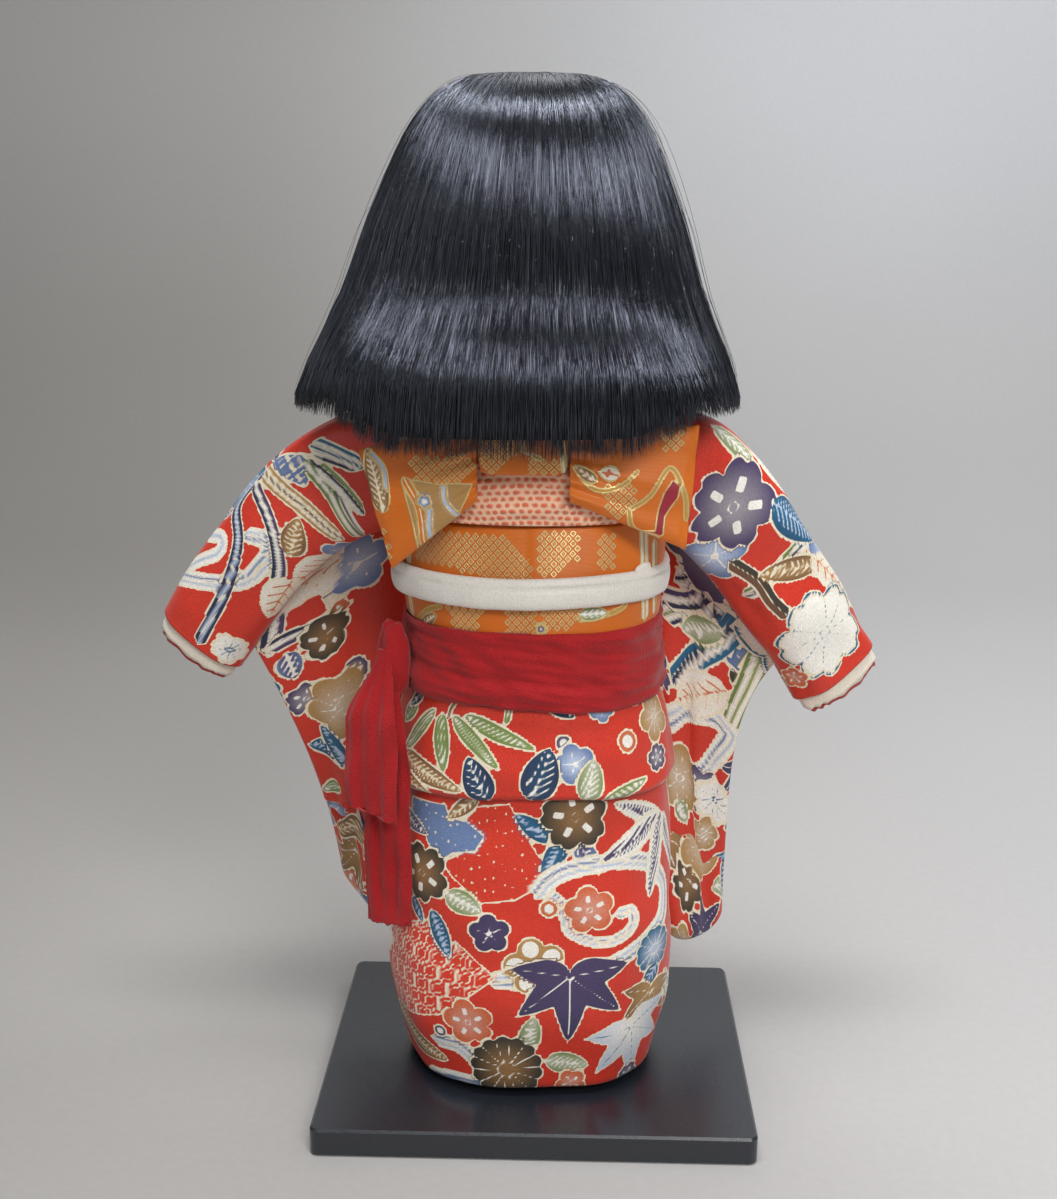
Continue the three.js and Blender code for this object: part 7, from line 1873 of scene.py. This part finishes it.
def add_strands(name, count, seed, out, thick, loose=0.0, stop=0.0):
    """Fibres that fall from the crown: three-sided and tapered, drifting a little to the side and cut unevenly. Loose
    ones bow away from the rest, and a stop ends them at that height."""
    rng = np.random.default_rng(seed)
    steps = 15
    angle = rng.uniform(0, TURN, count)
    front = off_front(angle) < math.radians(52)
    root = np.where(rng.uniform(0, 1, count) < 0.6, 1 - 0.035 * rng.uniform(0, 1, count) ** 1.5,
                    rng.uniform(0.3, 0.99, count))
    fringe_end = (FRINGE_END - HAIR_HEM) / (HAIR_TOP - HAIR_HEM)
    root = np.where(front, np.maximum(root, 0.8), root)
    end = np.where(front, fringe_end, 0.0) - 0.012 + np.maximum(rng.normal(0, 0.012, count), -0.022)
    if stop:
        root, end = np.maximum(root, stop + 0.1), stop + rng.normal(0, 0.04, count)
    t = spread(0, 1, steps)[None]
    s = root[:, None] + (end - root)[:, None] * t**1.7
    drift = rng.normal(0, 0.02, count)[:, None] * t
    sway = rng.normal(0, 0.011, count)[:, None]
    drift = drift + sway * np.sin(t * 5 + rng.uniform(0, 6, count)[:, None])
    clump = 0.012 * np.sin(angle * 31 + 2 * np.sin(angle * 7))[:, None] * t
    a = angle[:, None] + drift + clump
    lift = out * rng.uniform(-0.6, 1, count)[:, None]
    lift = lift + loose * np.abs(rng.normal(0, 1, count))[:, None] * np.sin(math.pi * t) ** 0.7
    lift = lift + 0.25 * np.sin(a * 57 + s * 9)
    path = hair_point(a, s, lift)
    path[..., 2] -= np.maximum(-s, 0) * 30
    heading = unit(np.gradient(path, axis=1))
    axis = np.stack([1.5 + 4.5 * (1 - s), 2 + 7 * (1 - s), path[..., 2]], -1)
    outward_way = unit(path - axis)
    side = unit(np.cross(heading, outward_way))
    normal = np.cross(side, heading)
    twist = rng.uniform(0, TURN, count)[:, None, None] + np.arange(3)[None, None] * TURN / 3
    taper = thick * rng.uniform(0.75, 1.25, count)[:, None] * np.clip(np.minimum(t * 30 + 0.15, (1 - t) * 9 + 0.3), 0,
                                                                      1)
    ring = side[:, :, None] * np.cos(twist)[..., None] + normal[:, :, None] * np.sin(twist)[..., None]
    points = (path[:, :, None] + ring * taper[..., None, None]).reshape(-1, 3)
    base = (np.arange(count) * steps * 3)[:, None, None]
    i, j = np.arange(steps - 1)[None, :, None] * 3, np.arange(3)[None, None]
    j1 = (j + 1) % 3
    quads = np.stack(np.broadcast_arrays(base + i + j, base + i + j1, base + i + 3 + j1, base + i + 3 + j),
                     -1).reshape(-1, 4)
    first = base[:, 0, 0]
    last = first + (steps - 1) * 3
    caps = np.concatenate([np.stack([first, first + 2, first + 1, first + 1], -1),
                           np.stack([last, last + 1, last + 2, last + 2], -1)])
    p = points[quads[0]]
    way = np.cross(p[1] - p[0], p[3] - p[0]) @ (p[0] - points[:3].mean(0))
    faces = np.concatenate([quads, caps]) if way > 0 else np.concatenate([quads, caps])[:, ::-1]
    turned = faces[:, 0] == faces[:, 1]
    faces = np.where(turned[:, None], faces[:, [1, 2, 3, 3]], faces)
    piece = mesh_piece(name, points + FIGURE, faces, HAIR, None, "head")


def add_hair():
    add_hair_base()
    for k in range(4):
        add_strands(f"hair_strands_{k + 1}", 2300, 300 + k, 0.9, 0.165)
    add_strands("hair_loose_strands", 240, 310, 1.5, 0.08, 1.5)
    add_strands("hair_crown_wisps", 110, 311, 1.0, 0.07, 2.0, 0.78)


# ---------------------------------------------------------------- soft pieces inside, feet and arms
def add_padding():
    """Cotton wadding wound round the torso under the kimono."""
    angle = round_in(180)[None]
    level = spread(150.3, 229.5, 50)[:, None] + 0 * angle
    a = np.broadcast_to(angle, level.shape)
    lumps = 0.35 * ripple(a * 40, level, 101, 12) - 0.4
    outer = on_body(a, level, lumps)
    torso = [[150.3, 25.4, 18.4], [165, 30, 20], [200, 27.5, 19.3], [229.5, 29, 19]]
    half = along_rows(torso, level[::7, 0])
    inner = on_oval(half[:, :1] + 1.2, half[:, 1:2] + 1.2, a[::7], level[::7])
    piece = surface("waist_wadding", both_sides(outer, inner), COTTON, round_rows=True, round_columns=True)
    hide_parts("waist_padding")


LEG_Y, SOLE_TOP, ANKLE = -5.0, 4.9, 17.2


def add_foot(name, side):
    """A split-toe sock on its sandal: the sock's big toe parts from the others, and the strap runs into the cleft."""
    x = side * 14.0
    heel = LEG_Y + 19 - 16
    rows = [[0, 0.2, 0.4], [0.02, 0.45, 0.7], [0.12, 0.86, 1], [0.42, 0.82, 0.94], [0.7, 1, 0.66], [0.9, 0.88, 0.5],
            [0.98, 0.5, 0.36],
            [1, 0.15, 0.25]]
    share = spread(0, 1, 90)
    size = follow(rows, share)
    around = round_in(64)
    p = on_oval(7.5 * size[:, :1], 6.0 + 0 * size[:, :1], around[None], 0, 2.6)
    slit_x = -side * 15 * 0.12
    cleft = bump(p[..., 0], slit_x, 0.7) * smooth(0.84, 0.9, share)[:, None] * smooth(-1, 1, p[..., 1])
    z = SOLE_TOP + 0.3 + (p[..., 1] + 6.0) * size[:, 1:2] * (1 - 0.5 * cleft)
    grid = np.stack([x + p[..., 0], np.broadcast_to((heel - share * 38)[:, None], z.shape), z], -1)
    sock = surface(f"{name}_sock", grid, TABI, round_columns=True, caps=True)
    level = spread(SOLE_TOP + 5, ANKLE + 6, 20)[:, None]
    ring = np.broadcast_to(round_in(60)[None], (20, 60))
    outer = on_oval(7.8 + 0 * level, 7.8, ring, level, 2) + [x, LEG_Y, 0]
    inner = on_oval(7.0 + 0 * level[::6], 7.0, ring[::6], level[::6], 2) + [x, LEG_Y, 0]
    cuff = surface(f"{name}_sock_cuff", both_sides(outer, inner), TABI, round_rows=True, round_columns=True)
    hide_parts(f"{name}_tabi")
    half = 9.1
    heel_y, toe_y = heel + 1.6, heel + 1.6 - 41.2
    t = round_in(120)
    y = (heel_y + toe_y) / 2 + 20.6 * signed_power(np.cos(t), 0.85)
    wide = half * (0.93 - 0.07 * np.cos(t)) - 0.9 * bump(y, (heel_y + toe_y) / 2 + 3, 7)
    outline = np.stack([x + wide * signed_power(np.sin(t), 0.8), y], -1)
    centre = outline.mean(0)
    rings = [[0.0, 0.94], [0.35, 0.985], [0.9, 1.0], [2.2, 0.985], [3.6, 1.0], [4.25, 0.985], [4.6, 0.94]]
    sole = np.stack([np.concatenate([centre + (outline - centre) * size, np.full((120, 1), 0.3 + up)], 1) for up,
                     size in rings])
    piece = surface(f"{name}_sole", sole, ZORI, round_columns=True, caps=True)
    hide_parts(f"{name}_zori_sole")
    low, over = SOLE_TOP + 1, 12 * 0.66 + SOLE_TOP + 2.6
    places = [(1, 0.36, 0), (0.92, 0.48, 0.8), (0.42, 0.62, 1), (0, 0.7, 1)]
    route = [(x - 8.8 * a, heel - 38 * b, low + (over - low) * c) for a, b, c in places]
    route += [(x + 8.8 * a, heel - 38 * b, low + (over - low) * c) for a, b, c in places[-2::-1]]
    path = curve_through(route, 70)
    radius = np.full(70, 1.0)
    grid = sections(path, headings_of(path), np.array([0, 0.2, 1.0]), radius, radius * 1.05, round_in(16))
    strap = surface(f"{name}_thong", grid, ZORI, round_columns=True, caps=True)
    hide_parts(f"{name}_zori_strap")


def add_upper_arm(name):
    """A cloth tube of wadding from the shoulder to the wooden forearm."""
    s = SLEEVES[name]
    share = spread(0, 0.38, 40)
    place, heading, _ = sleeve_path(s, share)
    arm_level = SHOULDER - 14.8
    lift = (arm_level - SEAM_LEVEL) * (1 - smooth(0, 1, share) * 0.72)
    raised = np.cross(unit(np.cross(heading, [0, 0, 1.0])), heading)
    path = place + raised * lift[:, None]
    root = np.array([s["side"] * 33.3, 0, arm_level])
    start = root + (path[0] - root) * spread(0, 0.93, 12)[:, None]
    path = np.concatenate([start, path])
    radius = np.concatenate([np.full(12, 7.4), 7.4 + (6.4 - 7.4) * smooth(0, 0.38, share)])
    radius = radius - 0.25
    grid = sections(path, headings_of(path), np.array([0, 0, 1.0]), radius, radius, round_in(48))
    piece = surface(f"{name}_arm_cotton", grid, COTTON, round_columns=True, caps=True, body=f"{name}_arm")
    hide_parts(f"{name}_upper_arm")


# ---------------------------------------------------------------- pieces that keep their modelled solid
def dress_nodes():
    """Gives the solids that stay their worked materials."""
    kept = {"base_board": LACQUER, "support_post": WOOD, "post_screw": STEEL, "torso": COMPOSITION,
            "hand_fan": FAN_PAPER}
    for side in ("left", "right"):
        for part in ("thigh", "lower_leg", "forearm"):
            kept[f"{side}_{part}"] = LIMB
    for name, material in kept.items():
        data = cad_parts[name].data if hasattr(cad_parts[name], "data") else bpy.data.objects[name].data
        for k in range(len(data.materials)):
            data.materials[k] = material


add_stage()
add_lights()
add_skirt()
add_waist_fold()
add_under_kimono()
add_bodice()
add_collars()
for arm in ("left", "right"):
    add_sleeve(arm)
    add_upper_arm(arm)
    add_foot(arm, SLEEVES[arm]["side"])
    add_wing(arm)
add_padding()
add_pillow()
add_scarf()
add_obi()
add_cord()
add_sash()
sash_end("long", 20, 111, 3, 5, -1.5, 401)
sash_end("short", 22, 63, 8, 11, 4.5, 411)
add_bow_knot()
add_head()
add_hair()
dress_nodes()
